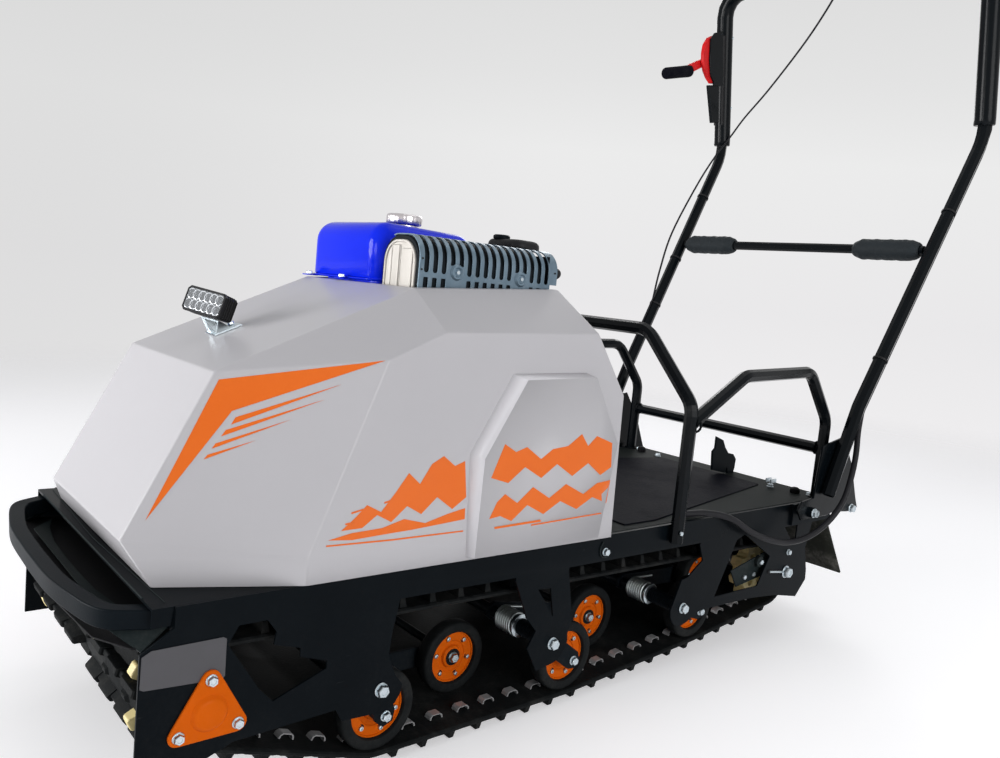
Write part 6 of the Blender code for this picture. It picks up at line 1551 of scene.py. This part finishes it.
class EngineOperator(TugOperator):
    """Build the tank, its cap, the muffler, its slotted guard and the air cleaner"""

    bl_idname = "snow_tug.engine"
    bl_label = "Engine"

    def execute(self, context):
        dress("engine_cast", "engine_block")
        soften(0.004, "engine_block")
        self.tank()
        self.cap()
        self.guard()
        self.muffler()
        self.cleaner()
        return {"FINISHED"}

    def shell(self, low, high, side_radius, top_radius, segments=6):
        """A tank body: a rounded plan that closes over a rounded top."""
        shape = bmesh.new()
        centre = (low + high) / 2
        half = (high - low) / 2

        def plan(reach):
            points = []
            radius = max(side_radius - reach, 0.004)
            for corner in range(4):
                sx = (1, -1, -1, 1)[corner]
                sy = (1, 1, -1, -1)[corner]
                for step in range(segments + 1):
                    angle = math.pi / 2 * (corner + step / segments)
                    points.append((centre.x + sx * (half.x - reach - radius) + radius * math.cos(angle),
                                   centre.y + sy * (half.y - reach - radius) + radius * math.sin(angle)))
            return points

        levels = [(0.002, low.z), (0.0, low.z + 0.002), (0.0, high.z - top_radius)]
        for step in range(1, segments + 1):
            angle = math.pi / 2 * step / segments
            levels.append((top_radius * (1 - math.cos(angle)), high.z - top_radius * (1 - math.sin(angle))))
        loops = []
        for reach, height in levels:
            loops.append([Vector((x, y, height)) for x, y in plan(reach)])
        rings(shape, loops)
        return shape

    def lean(self, shape, top=0.700):
        """Let the lower part of a shape follow the hood's top, which rises to the rear."""
        for corner in shape.verts:
            if corner.co.z < top:
                corner.co.z += (corner.co.y - at(0, TANK_FRONT_STATION, 0).y) * HOOD_TOP_SLOPE

    def tank(self):
        """The fuel tank over the hood's top, its neck in the engine bay, its seam flange and its tabs."""
        low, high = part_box("fuel_tank")
        shape = self.shell(Vector((-0.1905, low.y, 0.6690)), Vector((high.x, high.y, 0.7610)), 0.034, 0.034, 8)
        for corner in shape.verts:
            share = (corner.co.y - low.y) / (high.y - low.y)
            if corner.co.z > 0.72:
                corner.co.z -= 0.0065 * share
        self.lean(shape)
        piece("tank_shell", shape, "tank_gloss", replaces=["fuel_tank"], crease=60.0)
        shape = self.shell(Vector((low.x, low.y + 0.004, low.z)), Vector((high.x - 0.004, high.y - 0.004, 0.6720)),
                           0.020, 0.002, 4)
        piece("tank_neck", shape, "tank_gloss", crease=60.0)
        rim = 0.0035
        shape = self.shell(Vector((-0.1940, low.y - rim, 0.6655)), Vector((high.x + rim, high.y + rim, 0.6690)),
                           0.036, 0.0012, 4)
        self.lean(shape)
        piece("tank_seam", shape, "tank_gloss", crease=60.0)
        tabs, bolts = bmesh.new(), bmesh.new()
        for offset, station in ((-0.1655, 0.3970), (-0.0530, 0.3965), (-0.2000, 0.520), (-0.0900, 0.6130),
                                (0.0100, 0.6130)):
            spot = at(offset, station, 0.6662 + (station - TANK_FRONT_STATION) * HOOD_TOP_SLOPE)
            block(tabs, (0.020, 0.020, 0.0018), Matrix.Translation(spot), 0.0006)
            bolt(bolts, spot + Vector((0.0, -0.002, 0.0011)), (0, 0, 1), 0.0100)
        piece("tank_tabs", tabs, "tank_gloss")
        piece("tank_bolts", bolts, "zinc")

    def cap(self):
        """The fuel cap: a smooth steel cap with shallow flutes, a rolled rim and a domed top."""
        centre = at(-0.050, 0.503, 0.7560)
        steps, flutes = 120, 24
        shape = bmesh.new()
        loops = []
        for radius, height, flute in ((0.0235, 0.0, 0.0), (0.0235, 0.0060, 0.0), (0.0285, 0.0072, 0.006),
                                      (0.0300, 0.0090, 0.010), (0.0302, 0.0190, 0.010), (0.0293, 0.0222, 0.004),
                                      (0.0272, 0.0238, 0.0), (0.0225, 0.0243, 0.0), (0.0216, 0.0236, 0.0),
                                      (0.0120, 0.0244, 0.0), (0.0, 0.0247, 0.0)):
            if radius == 0.0:
                loops.append([centre + Vector((0.0, 0.0, height))])
                continue
            ring = []
            for step in range(steps):
                angle = TAU * step / steps
                reach = radius * (1 - flute * (1 + math.cos(flutes * TAU * step / steps)))
                ring.append(centre + Vector((reach * math.cos(angle), reach * math.sin(angle), height)))
            loops.append(ring)
        rings(shape, loops)
        piece("tank_cap_pressed", shape, "cap_steel", replaces=["tank_cap"], crease=50.0)

    def guard(self):
        """The muffler guard: bent sheet with two rows of round-ended slots, a band and two dimples."""
        x_low, x_high, z_low, z_high = 0.0440, 0.1395, 0.6400, 0.7410
        y_low, y_bay, y_high = at(0, 0.4115, 0).y, at(0, 0.671, 0).y, at(0, 0.6885, 0).y
        bend, sheet = 0.034, sizes().guard_sheet
        width, rise = x_high - x_low, z_high - z_low
        path = [Vector((x_high, z_low))]
        for corner, middle_x in ((0, x_high - bend), (1, x_low + bend)):
            for step in range(9):
                angle = math.pi / 2 * (corner + step / 8)
                path.append(Vector((middle_x + bend * math.cos(angle), z_high - bend + bend * math.sin(angle))))
        path.append(Vector((x_low, z_low)))
        lengths = [0.0]
        for before, after in zip(path, path[1:]):
            lengths.append(lengths[-1] + (after - before).length)

        def spot(along):
            for index in range(len(path) - 1):
                if along <= lengths[index + 1] or index == len(path) - 2:
                    share = (along - lengths[index]) / (lengths[index + 1] - lengths[index])
                    here = path[index].lerp(path[index + 1], min(max(share, 0.0), 1.0))
                    ahead = (path[index + 1] - path[index]).normalized()
                    return here, Vector((ahead.y, -ahead.x))

        upper, lower = 0.6862 - z_low, 0.6605 - z_low
        over = rise - bend + bend * math.pi / 2 + 0.010
        full = over + 0.030
        levels = [(0.0, 0, 0.0), (lower, 1, 0.4), (lower + 0.0015, 1, 0.85), (lower + 0.0035, 1, 1.0),
                  (0.6770 - z_low, 1, 1.0), (0.6790 - z_low, 0, 0.9), (upper, 2, 0.35), (upper + 0.0012, 2, 0.8),
                  (upper + 0.0030, 2, 1.0), (upper + 0.0090, 2, 1.0), (0.7000 - z_low, 2, 1.0)]
        steps = 12
        start = levels[-1][0]
        levels += [(start + (over - start) * i / steps, 2, 1.0) for i in range(1, steps)]
        levels += [(over, 0, 0.5)] + [(over + (full - over) * i / 9, 0, 1.0) for i in range(1, 10)]
        slots = 16
        first, last = y_low + 0.0050, y_low + 0.2610
        pitch = (last - first) / slots
        columns = [(y_low, 0, None)]
        for slot in range(slots):
            centre = first + pitch * (slot + 0.5)
            columns += [(centre, -1, slot), (centre, 1, None)]
        columns += [(last + 0.001, 0, None), (y_high, 0, None)]
        shape = bmesh.new()
        grid = []
        for along, _, share in levels:
            here, out = spot(along)
            here = here - out * (sheet / 2)
            grid.append([shape.verts.new((here.x, y + side * pitch * 0.26 * share, here.y)) for y, side, _ in columns])
        for row in range(len(levels) - 1):
            for column in range(len(columns) - 1):
                slot = columns[column][2]
                kind = levels[row][1]
                dimple = slot in (3, 4, 11, 12) and levels[row][0] < 0.7000 - z_low - 0.0001
                if slot is not None and kind and not dimple:
                    continue
                if columns[column][0] > last and levels[row][0] < 0.0425:
                    continue
                shape.faces.new((grid[row][column], grid[row][column + 1],
                                 grid[row + 1][column + 1], grid[row + 1][column]))
        loose = [corner for corner in shape.verts if not corner.link_faces]
        bmesh.ops.delete(shape, geom=loose, context="VERTS")
        made = piece("guard_sheet", shape, "guard_paint", replaces=["muffler_guard"], crease=50.0)
        rounded(thickened(made, sheet * 1.4, 0.0), 0.0007, 2, 30.0)
        shape, bolts, holes = bmesh.new(), bmesh.new(), bmesh.new()
        for slot in (4, 12):
            here, out = spot(0.6905 - z_low)
            matrix = turned((out.x, 0.0, out.y), (here.x + GAP, first + pitch * slot, here.y))
            lathe(shape, [(0.0, 0.0012), (0.0056, 0.0012), (0.0078, 0.0036), (0.0100, 0.0034), (0.0124, 0.0004),
                          (0.0124, -0.0004), (0.0, -0.0004)], matrix, 28)
            bolt(bolts, matrix @ Vector((0.0, 0.0, 0.0014)), (out.x, 0.0, out.y), 0.0070, washer=False)
        for y, z in ((y_low + 0.0045, 0.7060), (y_low + 0.0040, 0.6900), (y_high - 0.006, 0.7060)):
            lathe(holes, [(0.0, 0.0), (0.0016, 0.0), (0.0016, 0.0003), (0.0, 0.0003)],
                  turned((1, 0, 0), (x_high + sheet * 0.7, y, z)), 12)
        lathe(holes, [(0.0, 0.0), (0.0075, 0.0), (0.0090, 0.002), (0.0090, 0.011), (0.0070, 0.0145), (0.0, 0.0150)],
              turned((0, 1, 0), (0.1270, y_high - 0.001, 0.7060)), 28)
        piece("guard_dimples", shape, "guard_paint")
        piece("guard_bolts", bolts, "zinc")
        piece("guard_knob", holes, "black_plastic")
        shape = bmesh.new()
        # Painted shade: a near-black sheet closes the inside of the guard at its rear.
        block(shape, (width - 0.006, 0.0012, 0.060), Matrix.Translation(((x_low + x_high) / 2, y_bay, 0.702)), 0.0004)
        piece("guard_rear_sheet", shape, "muffler_steel")

    def muffler(self):
        """The muffler: an arched body painted near-black as painted shade inside the guard, with a cream front of
        pressed panels and a rolled rim.
        """
        low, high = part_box("muffler")
        x_low, x_high, top = 0.0455, 0.1295, 0.7320

        def arch(reach, station):
            radius = 0.034 - reach
            points = [Vector((x_high - reach, station, 0.6400))]
            for corner, middle_x in ((0, x_high - 0.034), (1, x_low + 0.034)):
                for step in range(9):
                    angle = math.pi / 2 * (corner + step / 8)
                    points.append(Vector((middle_x + radius * math.cos(angle), station,
                                          top - 0.034 + radius * math.sin(angle))))
            return points + [Vector((x_low + reach, station, 0.6400))]

        shape = bmesh.new()
        # The body is near-black, as painted shade inside the guard and round the cream front.
        rings(shape, [arch(-0.0058, low.y + 0.003), arch(-0.0066, low.y + 0.004), arch(-0.0066, high.y - 0.004),
                      arch(-0.003, high.y)])
        piece("muffler_body", shape, "muffler_steel", replaces=["muffler"], crease=30.0)
        shape = bmesh.new()
        rings(shape, [arch(0.0, low.y + 0.006), arch(0.0, low.y + 0.001), arch(0.0008, low.y), arch(0.0035, low.y),
                      arch(0.0042, low.y + 0.0022)])
        x = x_low + 0.029
        for offset, width, proud in ((-0.012, 0.0016, 0.0018), (0.0115, 0.0008, 0.0008)):
            block(shape, (width, proud * 2, 0.079), Matrix.Translation((x + 0.002 + offset, low.y + 0.0022, 0.6850)),
                  0.0004)
        block(shape, (0.019, 0.002, 0.078), Matrix.Translation((x + 0.0010, low.y + 0.0016, 0.6850)), 0.0008)
        block(shape, (0.030, 0.002, 0.070), Matrix.Translation((x + 0.031, low.y + 0.0016, 0.6840)), 0.0008)
        piece("muffler_front", shape, "cream_steel", crease=30.0)

    def cleaner(self):
        """The air cleaner: its body in the engine bay, its rounded cover and a clamp knob."""
        low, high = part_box("air_cleaner")
        shape = self.shell(low, Vector((high.x, at(0, 0.6715, 0).y, 0.7430)), 0.012, 0.002, 4)
        piece("cleaner_body", shape, "black_plastic", replaces=["air_cleaner"], crease=60.0)
        shape = self.shell(Vector((-0.0300, at(0, 0.6600, 0).y, 0.7430)), Vector((0.0640, at(0, 0.7230, 0).y, 0.7600)),
                           0.022, 0.010, 6)
        for corner in shape.verts:
            corner.co.z -= 0.020 * max(corner.co.x - 0.02, 0.0) + 0.020 * max(corner.co.y - at(0, 0.69, 0).y, 0.0)
        piece("cleaner_cover", shape, "black_plastic", crease=60.0)
        shape = bmesh.new()
        lathe(shape, [(0.0, 0.0), (0.0135, 0.0), (0.0150, 0.0015), (0.0150, 0.0055), (0.0125, 0.0075), (0.0, 0.0080)],
              turned((0, 0, 1), at(0.0, 0.677, 0.7595)), 36)
        piece("cleaner_knob", shape, "bracket_coat")


class LampOperator(TugOperator):
    """Build the lamp's turned housing, reflector cups, lens and folded bracket"""

    bl_idname = "snow_tug.lamp"
    bl_label = "Lamp"

    def execute(self, context):
        turn = (Matrix.Rotation(0.4728, 4, "Z") @ Matrix.Rotation(-0.2764, 4, "X")
                @ Matrix.Rotation(0.1236, 4, "Y"))
        matrix = Matrix.Translation(at(-0.0290, 0.1749, 0.6099)) @ turn
        front = matrix @ Matrix(((1, 0, 0, 0), (0, 0, -1, -0.0130), (0, 1, 0, 0), (0, 0, 0, 1)))
        x, z = 0.0355, 0.0185
        outline = [(x, 0.0045 - z), (x, z - 0.0045), (x - 0.0045, z), (0.0045 - x, z), (-x, z - 0.0045),
                   (-x, 0.0045 - z), (0.0045 - x, -z), (x - 0.0045, -z)]
        shape = bmesh.new()
        rings(shape, [[front @ Vector((a, b, h)) for a, b in inset(outline, reach)] for reach, h in (
            (0.0040, 0.0036), (0.0022, 0.0050), (0.0008, 0.0050), (0.0, 0.0040), (0.0, -0.0010),
            (0.0016, -0.0024), (0.0016, -0.0200), (0.0075, -0.0270))])
        for fin in range(5):
            place = front @ Matrix.Translation((0.0, 0.0, -0.0060 - 0.0045 * fin))
            prism(shape, inset(outline, 0.0004 + 0.0007 * max(fin - 3, 0)), place, 0.0018, 0.0004)
        piece("lamp_housing", shape, "black_plastic", replaces=["lamp"], crease=28.0)
        cups, chips = bmesh.new(), bmesh.new()
        outward = (front @ Vector((0, 0, 1))) - (front @ Vector((0, 0, 0)))
        for row in (-0.5, 0.5):
            for column in (-2.5, -1.5, -0.5, 0.5, 1.5, 2.5):
                spot = front @ Vector((column * 0.0105, row * 0.0148, 0.0018))
                here = turned(outward, spot)
                lathe(cups, [(0.0020, -0.0004), (0.0040, 0.0), (0.0058, 0.0012), (0.0071, 0.0024), (0.0074, 0.0023),
                             (0.0074, -0.0006)], here, 20)
                block(chips, (0.0026, 0.0026, 0.0006), here, 0.0002)
        prism(cups, inset(outline, 0.0042), front @ Matrix.Translation((0.0, 0.0, 0.0010)), 0.0010, 0.0002)
        piece("lamp_cups", cups, "reflector", crease=50.0)
        piece("lamp_chips", chips, "chip")
        shape = bmesh.new()
        prism(shape, inset(outline, 0.0030), front @ Matrix.Translation((0.0, 0.0, 0.0034)), 0.0012, 0.0003)
        piece("lamp_lens", shape, "lens")
        self.bracket(matrix)
        return {"FINISHED"}

    def bracket(self, matrix):
        """The folded zinc foot between the hood and the lamp, with its bolt."""
        def on_slope(offset, station, rise=0.0):
            return at(offset, station, 0.5390 + (station - 0.1085) * 0.43694 + rise)
        shape = bmesh.new()
        foot = [on_slope(-0.0440, 0.1750, 0.0006), on_slope(-0.0050, 0.1730, 0.0006),
                on_slope(-0.0050, 0.2120, 0.0006), on_slope(-0.0440, 0.2120, 0.0006)]
        lift = Vector((0.0, -0.0012, 0.0022))
        rings(shape, [foot, [spot + lift for spot in foot]])
        low = [on_slope(-0.0430, 0.1770, 0.002), on_slope(-0.0060, 0.1750, 0.002)]
        high = [matrix @ Vector((-0.0160, 0.004, -0.0190)), matrix @ Vector((0.0180, 0.004, -0.0190))]
        back = Vector((0.0, 0.0022, 0.0))
        rings(shape, [[low[0], low[1], low[1] + back, low[0] + back],
                      [high[0], high[1], high[1] + back, high[0] + back]])
        for along in (0, 1):
            web = [low[along], low[along] + Vector((0.0, 0.022, 0.0104)), high[along] + back]
            thick = Vector((0.0018 * (1 - 2 * along), 0.0, 0.0))
            rings(shape, [web, [spot + thick for spot in web]])
        piece("lamp_foot", shape, "zinc", replaces=["lamp_bracket"], crease=20.0)
        shape = bmesh.new()
        bolt(shape, on_slope(-0.0245, 0.2040, 0.0030), (0.0, -0.40, 0.92), 0.0090)
        piece("lamp_screws", shape, "zinc")


# Handlebar

HANDLE_OFFSETS = (0.3195, 0.3195, 0.350, 0.343, 0.0)
HANDLE_CORNERS = (
    (1.339, 0.318, 0.0), (1.415, 0.500, 0.110), (1.752, 1.110, 0.110), (1.674, 1.526, 0.060), (1.674, 1.526, 0.0),
)


def handle_line(sign, height):
    """The middle and the direction of a handle tube at a height, straight from corner to corner."""
    corners = [(offset, station, level) for offset, (station, level, _) in zip(HANDLE_OFFSETS, HANDLE_CORNERS[:-1])]
    for (x0, s0, z0), (x1, s1, z1) in zip(corners, corners[1:]):
        if height <= z1:
            break
    share = (height - z0) / (z1 - z0)
    spot = at(sign * (x0 + (x1 - x0) * share), s0 + (s1 - s0) * share, height)
    return spot, (at(sign * x1, s1, z1) - at(sign * x0, s0, z0)).normalized()


def handle_path(sign):
    """The handle tube's centre line from a foot to the middle of its top bar, five points to a bend."""
    corners = [at(sign * offset, station, height)
               for offset, (station, height, _) in zip(HANDLE_OFFSETS, HANDLE_CORNERS)]
    steps = 4
    points = [corners[0]]
    for before, corner, after, row in zip(corners, corners[1:], corners[2:], HANDLE_CORNERS[1:]):
        incoming, outgoing = (before - corner).normalized(), (after - corner).normalized()
        half_angle = incoming.angle(outgoing) / 2
        centre = corner + (incoming + outgoing).normalized() * (row[2] / math.sin(half_angle))
        reach = row[2] / math.tan(half_angle)
        start, end = corner + incoming * reach - centre, corner + outgoing * reach - centre
        turn = start.rotation_difference(end)
        points += [centre + Quaternion().slerp(turn, step / steps) @ start for step in range(steps + 1)]
    return points + [corners[-1]]


class HandlebarOperator(TugOperator):
    """Finish the handlebar: foam sleeves, ties, gusset bolts and the throttle"""

    bl_idname = "snow_tug.handlebar"
    bl_label = "Handlebar"

    def execute(self, context):
        dress("black_plastic", "control_plate", "cable_clamp")
        soften(0.0012, "cable_clamp")
        soften(0.0006, "control_plate")
        self.grips()
        self.ties()
        self.gussets()
        self.upper_sleeve()
        self.throttle()
        return {"FINISHED"}

    def grips(self):
        """Foam sleeves, gripped thinner at their ends and slightly creased."""
        for side, _ in SIDES:
            node = f"foam_grip_{side}"
            low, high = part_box(node)
            centre = (low + high) / 2
            radius, reach = (high.z - low.z) / 2, (high.x - low.x) / 2
            shape = bmesh.new()
            loops = []
            count = 40
            for step in range(count + 1):
                share = step / count
                end = min(share, 1.0 - share)
                ring = []
                for index in range(40):
                    angle = TAU * index / 40
                    crease = (0.0004 * math.sin(share * 31.0 + angle * 2.0)
                              + 0.0003 * math.sin(share * 57.0 - angle * 3.0))
                    edge = 0.0115 + (radius - 0.0115) * (0.30 + 0.70 * min(end / 0.13, 1.0) ** 0.7) + crease - 0.0007
                    ring.append(Vector((centre.x + reach * (2 * share - 1), centre.y + edge * math.cos(angle),
                                        centre.z + edge * math.sin(angle))))
                loops.append(ring)
            inner = [[Vector((centre.x + reach * (2 * share - 1), centre.y + y, centre.z + z))
                      for y, z in circle(0.0113, 40)] for share in (1.0, 0.0)]
            rings(shape, loops + inner, closed=True)
            sleeve = piece(f"foam_sleeve_{side}", shape, "foam", "handlebar", [node], 60.0)

    def ties(self):
        """Cable ties and joint lines round the handle tubes."""
        shape = bmesh.new()
        for sign, height, radius in ((1.0, 0.93, 0.0146), (-1.0, 0.67, 0.0146), (1.0, 0.60, 0.0150),
                                     (-1.0, 0.80, 0.0150), (-1.0, 0.98, 0.0150)):
            spot, ahead = handle_line(sign, height)
            matrix = turned(ahead, spot)
            lathe(shape, [(0.0138, -0.0022), (radius + 0.0006, -0.0022), (radius + 0.0009, 0.0),
                          (radius + 0.0006, 0.0022), (0.0138, 0.0022)], matrix, 32, closed=True)
        piece("handle_ties", shape, "black_plastic", "handlebar")

    def gussets(self):
        """The foot gussets: plates that carry the pivot bolt in front and a stop bolt at the rear."""
        pixels = ((824.0, 446.0), (845.0, 437.0), (852.4, 466.0), (855.5, 497.0), (857.0, 507.0), (853.0, 515.0),
                  (846.0, 515.5), (834.2, 511.5), (826.0, 516.0), (812.0, 524.0), (801.0, 521.0), (798.0, 511.0),
                  (803.0, 502.0), (814.0, 498.0))
        low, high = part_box("handle_gusset_left")
        outline = [(along, max(height, low.z)) for along, height in traced(pixels, high.x)]
        stop = seen_on((850.5, 508.0), 0, high.x)
        pivot = at(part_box("handle_bracket_left")[1].x + GAP, HANDLE_PIVOT_STATION, HANDLE_PIVOT_HEIGHT)
        bolts = bmesh.new()
        for side, sign in SIDES:
            shape = bmesh.new()
            prism(shape, outline, on_wall(low.x, sign), high.x - low.x, 0.0008)
            piece(f"foot_gusset_{side}", shape, "tube_coat", "handlebar", [f"handle_gusset_{side}"], 30.0)
            out = (sign, 0.0, 0.0)
            bolt(bolts, (sign * (high.x + GAP / 2), stop.y, stop.z), out, 0.0170)
            bolt(bolts, (sign * pivot.x, pivot.y, pivot.z), out, 0.0170)
        piece("handle_bolts", bolts, "zinc", "handlebar")

    def throttle(self):
        """The throttle: a red half-round housing behind a black cover, its lever and its rubber grip."""
        low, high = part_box("throttle_housing")
        pixels = ((712.5, 35.6), (708.5, 37.5), (704.8, 44.0), (703.3, 53.0), (703.3, 63.0), (704.8, 71.0),
                  (707.5, 78.0), (711.0, 83.4), (717.0, 83.8), (717.0, 35.6))
        thick = 0.0110
        matrix = on_wall(high.x - thick)
        shape = bmesh.new()
        prism(shape, traced(pixels, high.x), matrix, thick, 0.0030)
        made = piece("throttle_shell", shape, "red_plastic", "handlebar", ["throttle_housing"], 30.0)
        rounded(made, 0.0025, 3, 30.0)
        pixels = ((722.5, 31.0), (714.0, 33.0), (710.2, 39.0), (709.2, 60.0), (710.2, 76.0), (713.0, 82.5),
                  (712.5, 86.0), (722.5, 86.0))
        shape = bmesh.new()
        raised = matrix @ Matrix.Translation((0.0, 0.0, thick + GAP))
        prism(shape, traced(pixels, high.x + 0.002), raised, 0.0045, 0.0012)
        pixels = ((708.9, 85.0), (719.2, 85.0), (719.2, 122.8), (712.3, 122.8))
        prism(shape, traced(pixels, high.x), matrix, thick, 0.0020)
        rounded(piece("throttle_cover", shape, "tube_coat", "handlebar", crease=30.0), 0.0010, 2, 30.0)
        shape = bmesh.new()
        centre = (low.x + high.x) / 2
        pixels = ((701.0, 59.0), (690.5, 63.5), (684.5, 67.0), (687.0, 73.5), (693.0, 71.5), (702.0, 67.0))
        prism(shape, traced(pixels, centre), on_wall(centre - 0.005), 0.010, 0.0015)
        piece("throttle_lever", shape, "red_plastic", "handlebar", crease=30.0)
        start, end = seen_on((690.0, 71.0), 0, centre), seen_on((665.3, 73.4), 0, centre)
        shape = bmesh.new()
        span = (end - start).length
        lathe(shape, [(0.0, 0.0), (0.0120, 0.0), (0.0150, 0.003), (0.0155, 0.010), (0.0150, span * 0.4),
                      (0.0148, span - 0.004), (0.0138, span - 0.0010), (0.0, span)], turned(end - start, start), 32)
        piece("throttle_rubber", shape, "mat_rubber", "handlebar", ["throttle_grip"], 40.0)
        shape = bmesh.new()
        out = Vector((0.86, 0.51, 0.0))
        for pixel in ((731.4, 37.4), (731.8, 107.9)):
            spot = handle_line(-1.0, seen_on(pixel, 0, -0.3255).z)[0]
            screw(shape, spot + out * 0.0216, out, 0.007)
        out = Vector((0.45, 0.89, 0.0))
        bolt(shape, handle_line(1.0, 1.146)[0] + out * 0.0206, out, 0.0080, washer=False)
        piece("throttle_screws", shape, "zinc", "handlebar")

    def upper_sleeve(self):
        """The thicker sleeves round the handle's upper tubes and its top bar."""
        shape = bmesh.new()
        for _, sign in SIDES:
            path = handle_path(sign)
            low = path[9].lerp(path[10], (1.134 - path[9].z) / (path[10].z - path[9].z))
            end = path[15].lerp(path[16], 1.0 - 0.120 / abs(path[15].x))
            points = [low] + path[10:16] + [end]
            first, last = (points[1] - points[0]).normalized(), (points[-1] - points[-2]).normalized()
            points = [low, low + first * 0.002] + points[1:-1] + [end - last * 0.002, end]
            count = len(points)
            tube(shape, points, lambda index: 0.0205 if index in (0, count - 1) else 0.0220, 28)
        piece("upper_sleeve", shape, "tube_coat", "handlebar", crease=40.0)


# Cables

BUNDLE_ROUTE = (
    (0.256, 0.952, 0.3003), (0.270, 1.000, 0.3012), (0.288, 1.052, 0.291), (0.299, 1.112, 0.260),
    (0.306, 1.172, 0.239), (0.312, 1.232, 0.230), (0.322, 1.287, 0.240), (0.335, 1.325, 0.268),
    (0.344, 1.356, 0.308), (0.343, 1.378, 0.352), (0.335, 1.402, 0.400), (0.325, 1.418, 0.448),
)
THROTTLE_ROUTE = (
    (0.0, 1.674, 1.5008), (-0.020, 1.680, 1.460), (-0.100, 1.712, 1.380), (-0.220, 1.752, 1.280),
    (-0.302, 1.772, 1.215), (-0.3215, 1.745, 1.160), (-0.3305, 1.700, 1.100), (-0.338, 1.641, 1.009),
    (-0.338, 1.557, 0.868), (-0.334, 1.519, 0.763),
)


def beside(path, reach):
    """Points beside a path, to its rear."""
    points = []
    for index, place in enumerate(path):
        ahead = (path[min(index + 1, len(path) - 1)] - path[max(index - 1, 0)]).normalized()
        rear = Vector((0.0, 1.0, 0.0)) - ahead * ahead.y
        points.append(place + rear.normalized() * reach)
    return points


class CablesOperator(TugOperator):
    """Lay the wrapped cable bundle and the thin throttle cable"""

    bl_idname = "snow_tug.cables"
    bl_label = "Cables"

    def execute(self, context):
        path = handle_path(1.0)
        path.insert(16, path[15].lerp(path[16], 1.0 - 0.110 / abs(path[15].x)))
        tied = beside(path, 0.0203)[1:8] + beside(path, 0.0285)[9:17] + beside(path, 0.0203)[17:]
        tied[-1].x = 0.0303
        points = smooth_line([at(*place) for place in BUNDLE_ROUTE] + tied[:1], 6)[:-1] + tied
        self.cable("cable_bundle_wrapped", "cable_bundle", points, 0.006, True)
        clipped = beside(handle_path(-1.0), -0.0168)
        lower = clipped[5].lerp(clipped[6], 0.30)
        points = smooth_line([at(*place) for place in THROTTLE_ROUTE] + [lower], 6) + clipped[:6][::-1]
        self.cable("throttle_wire", "throttle_cable", points, 0.0025, False)
        return {"FINISHED"}

    def cable(self, name, node, points, radius, bends):
        """A round cable along points."""
        shape = bmesh.new()
        tube(shape, points, radius, 12)
        body = None if bends else "handlebar"
        made = piece(name, shape, "sheath", body, [node], 60.0)
        if bends:
            at(0.30, 1.16, 0.24)
            at(0.33, 1.40, 0.36)
            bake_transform(made)
        path_length(points)


OPERATORS = (
    StageOperator, CablesOperator, ChassisOperator, FastenersOperator, TrackOperator, RollersOperator,
    SpringsOperator, HoodOperator, EngineOperator, LampOperator, HandlebarOperator,
)


class SnowTugPanel(bpy.types.Panel):
    """Buttons for each part of the tug's looks"""

    bl_idname = "VIEW3D_PT_snow_tug"
    bl_label = "Snow Tug"
    bl_space_type = "VIEW_3D"
    bl_region_type = "UI"
    bl_category = "Snow Tug"

    def draw(self, context):
        for group in (context.scene.snow_tug_sizes, context.scene.snow_tug_colours):
            column = self.layout.column()
            for key in group.__annotations__:
                column.prop(group, key)
        for operator in OPERATORS:
            self.layout.operator(operator.bl_idname)


CLASSES = (SnowTugSizes, SnowTugColours, *OPERATORS, SnowTugPanel)


def register():
    """Register the classes and attach the settings to the scene."""
    for kind in CLASSES:
        bpy.utils.register_class(kind)
    bpy.types.Scene.snow_tug_sizes = PointerProperty(type=SnowTugSizes)
    bpy.types.Scene.snow_tug_colours = PointerProperty(type=SnowTugColours)


def unregister():
    """Remove the settings and the classes."""
    del bpy.types.Scene.snow_tug_sizes
    del bpy.types.Scene.snow_tug_colours
    for kind in reversed(CLASSES):
        bpy.utils.unregister_class(kind)


def main():
    """Dress the tug."""
    register()
    make_finishes()
    for operator in OPERATORS:
        group, name = operator.bl_idname.split(".")
        getattr(getattr(bpy.ops, group), name)()


if __name__ == "__main__":
    main()
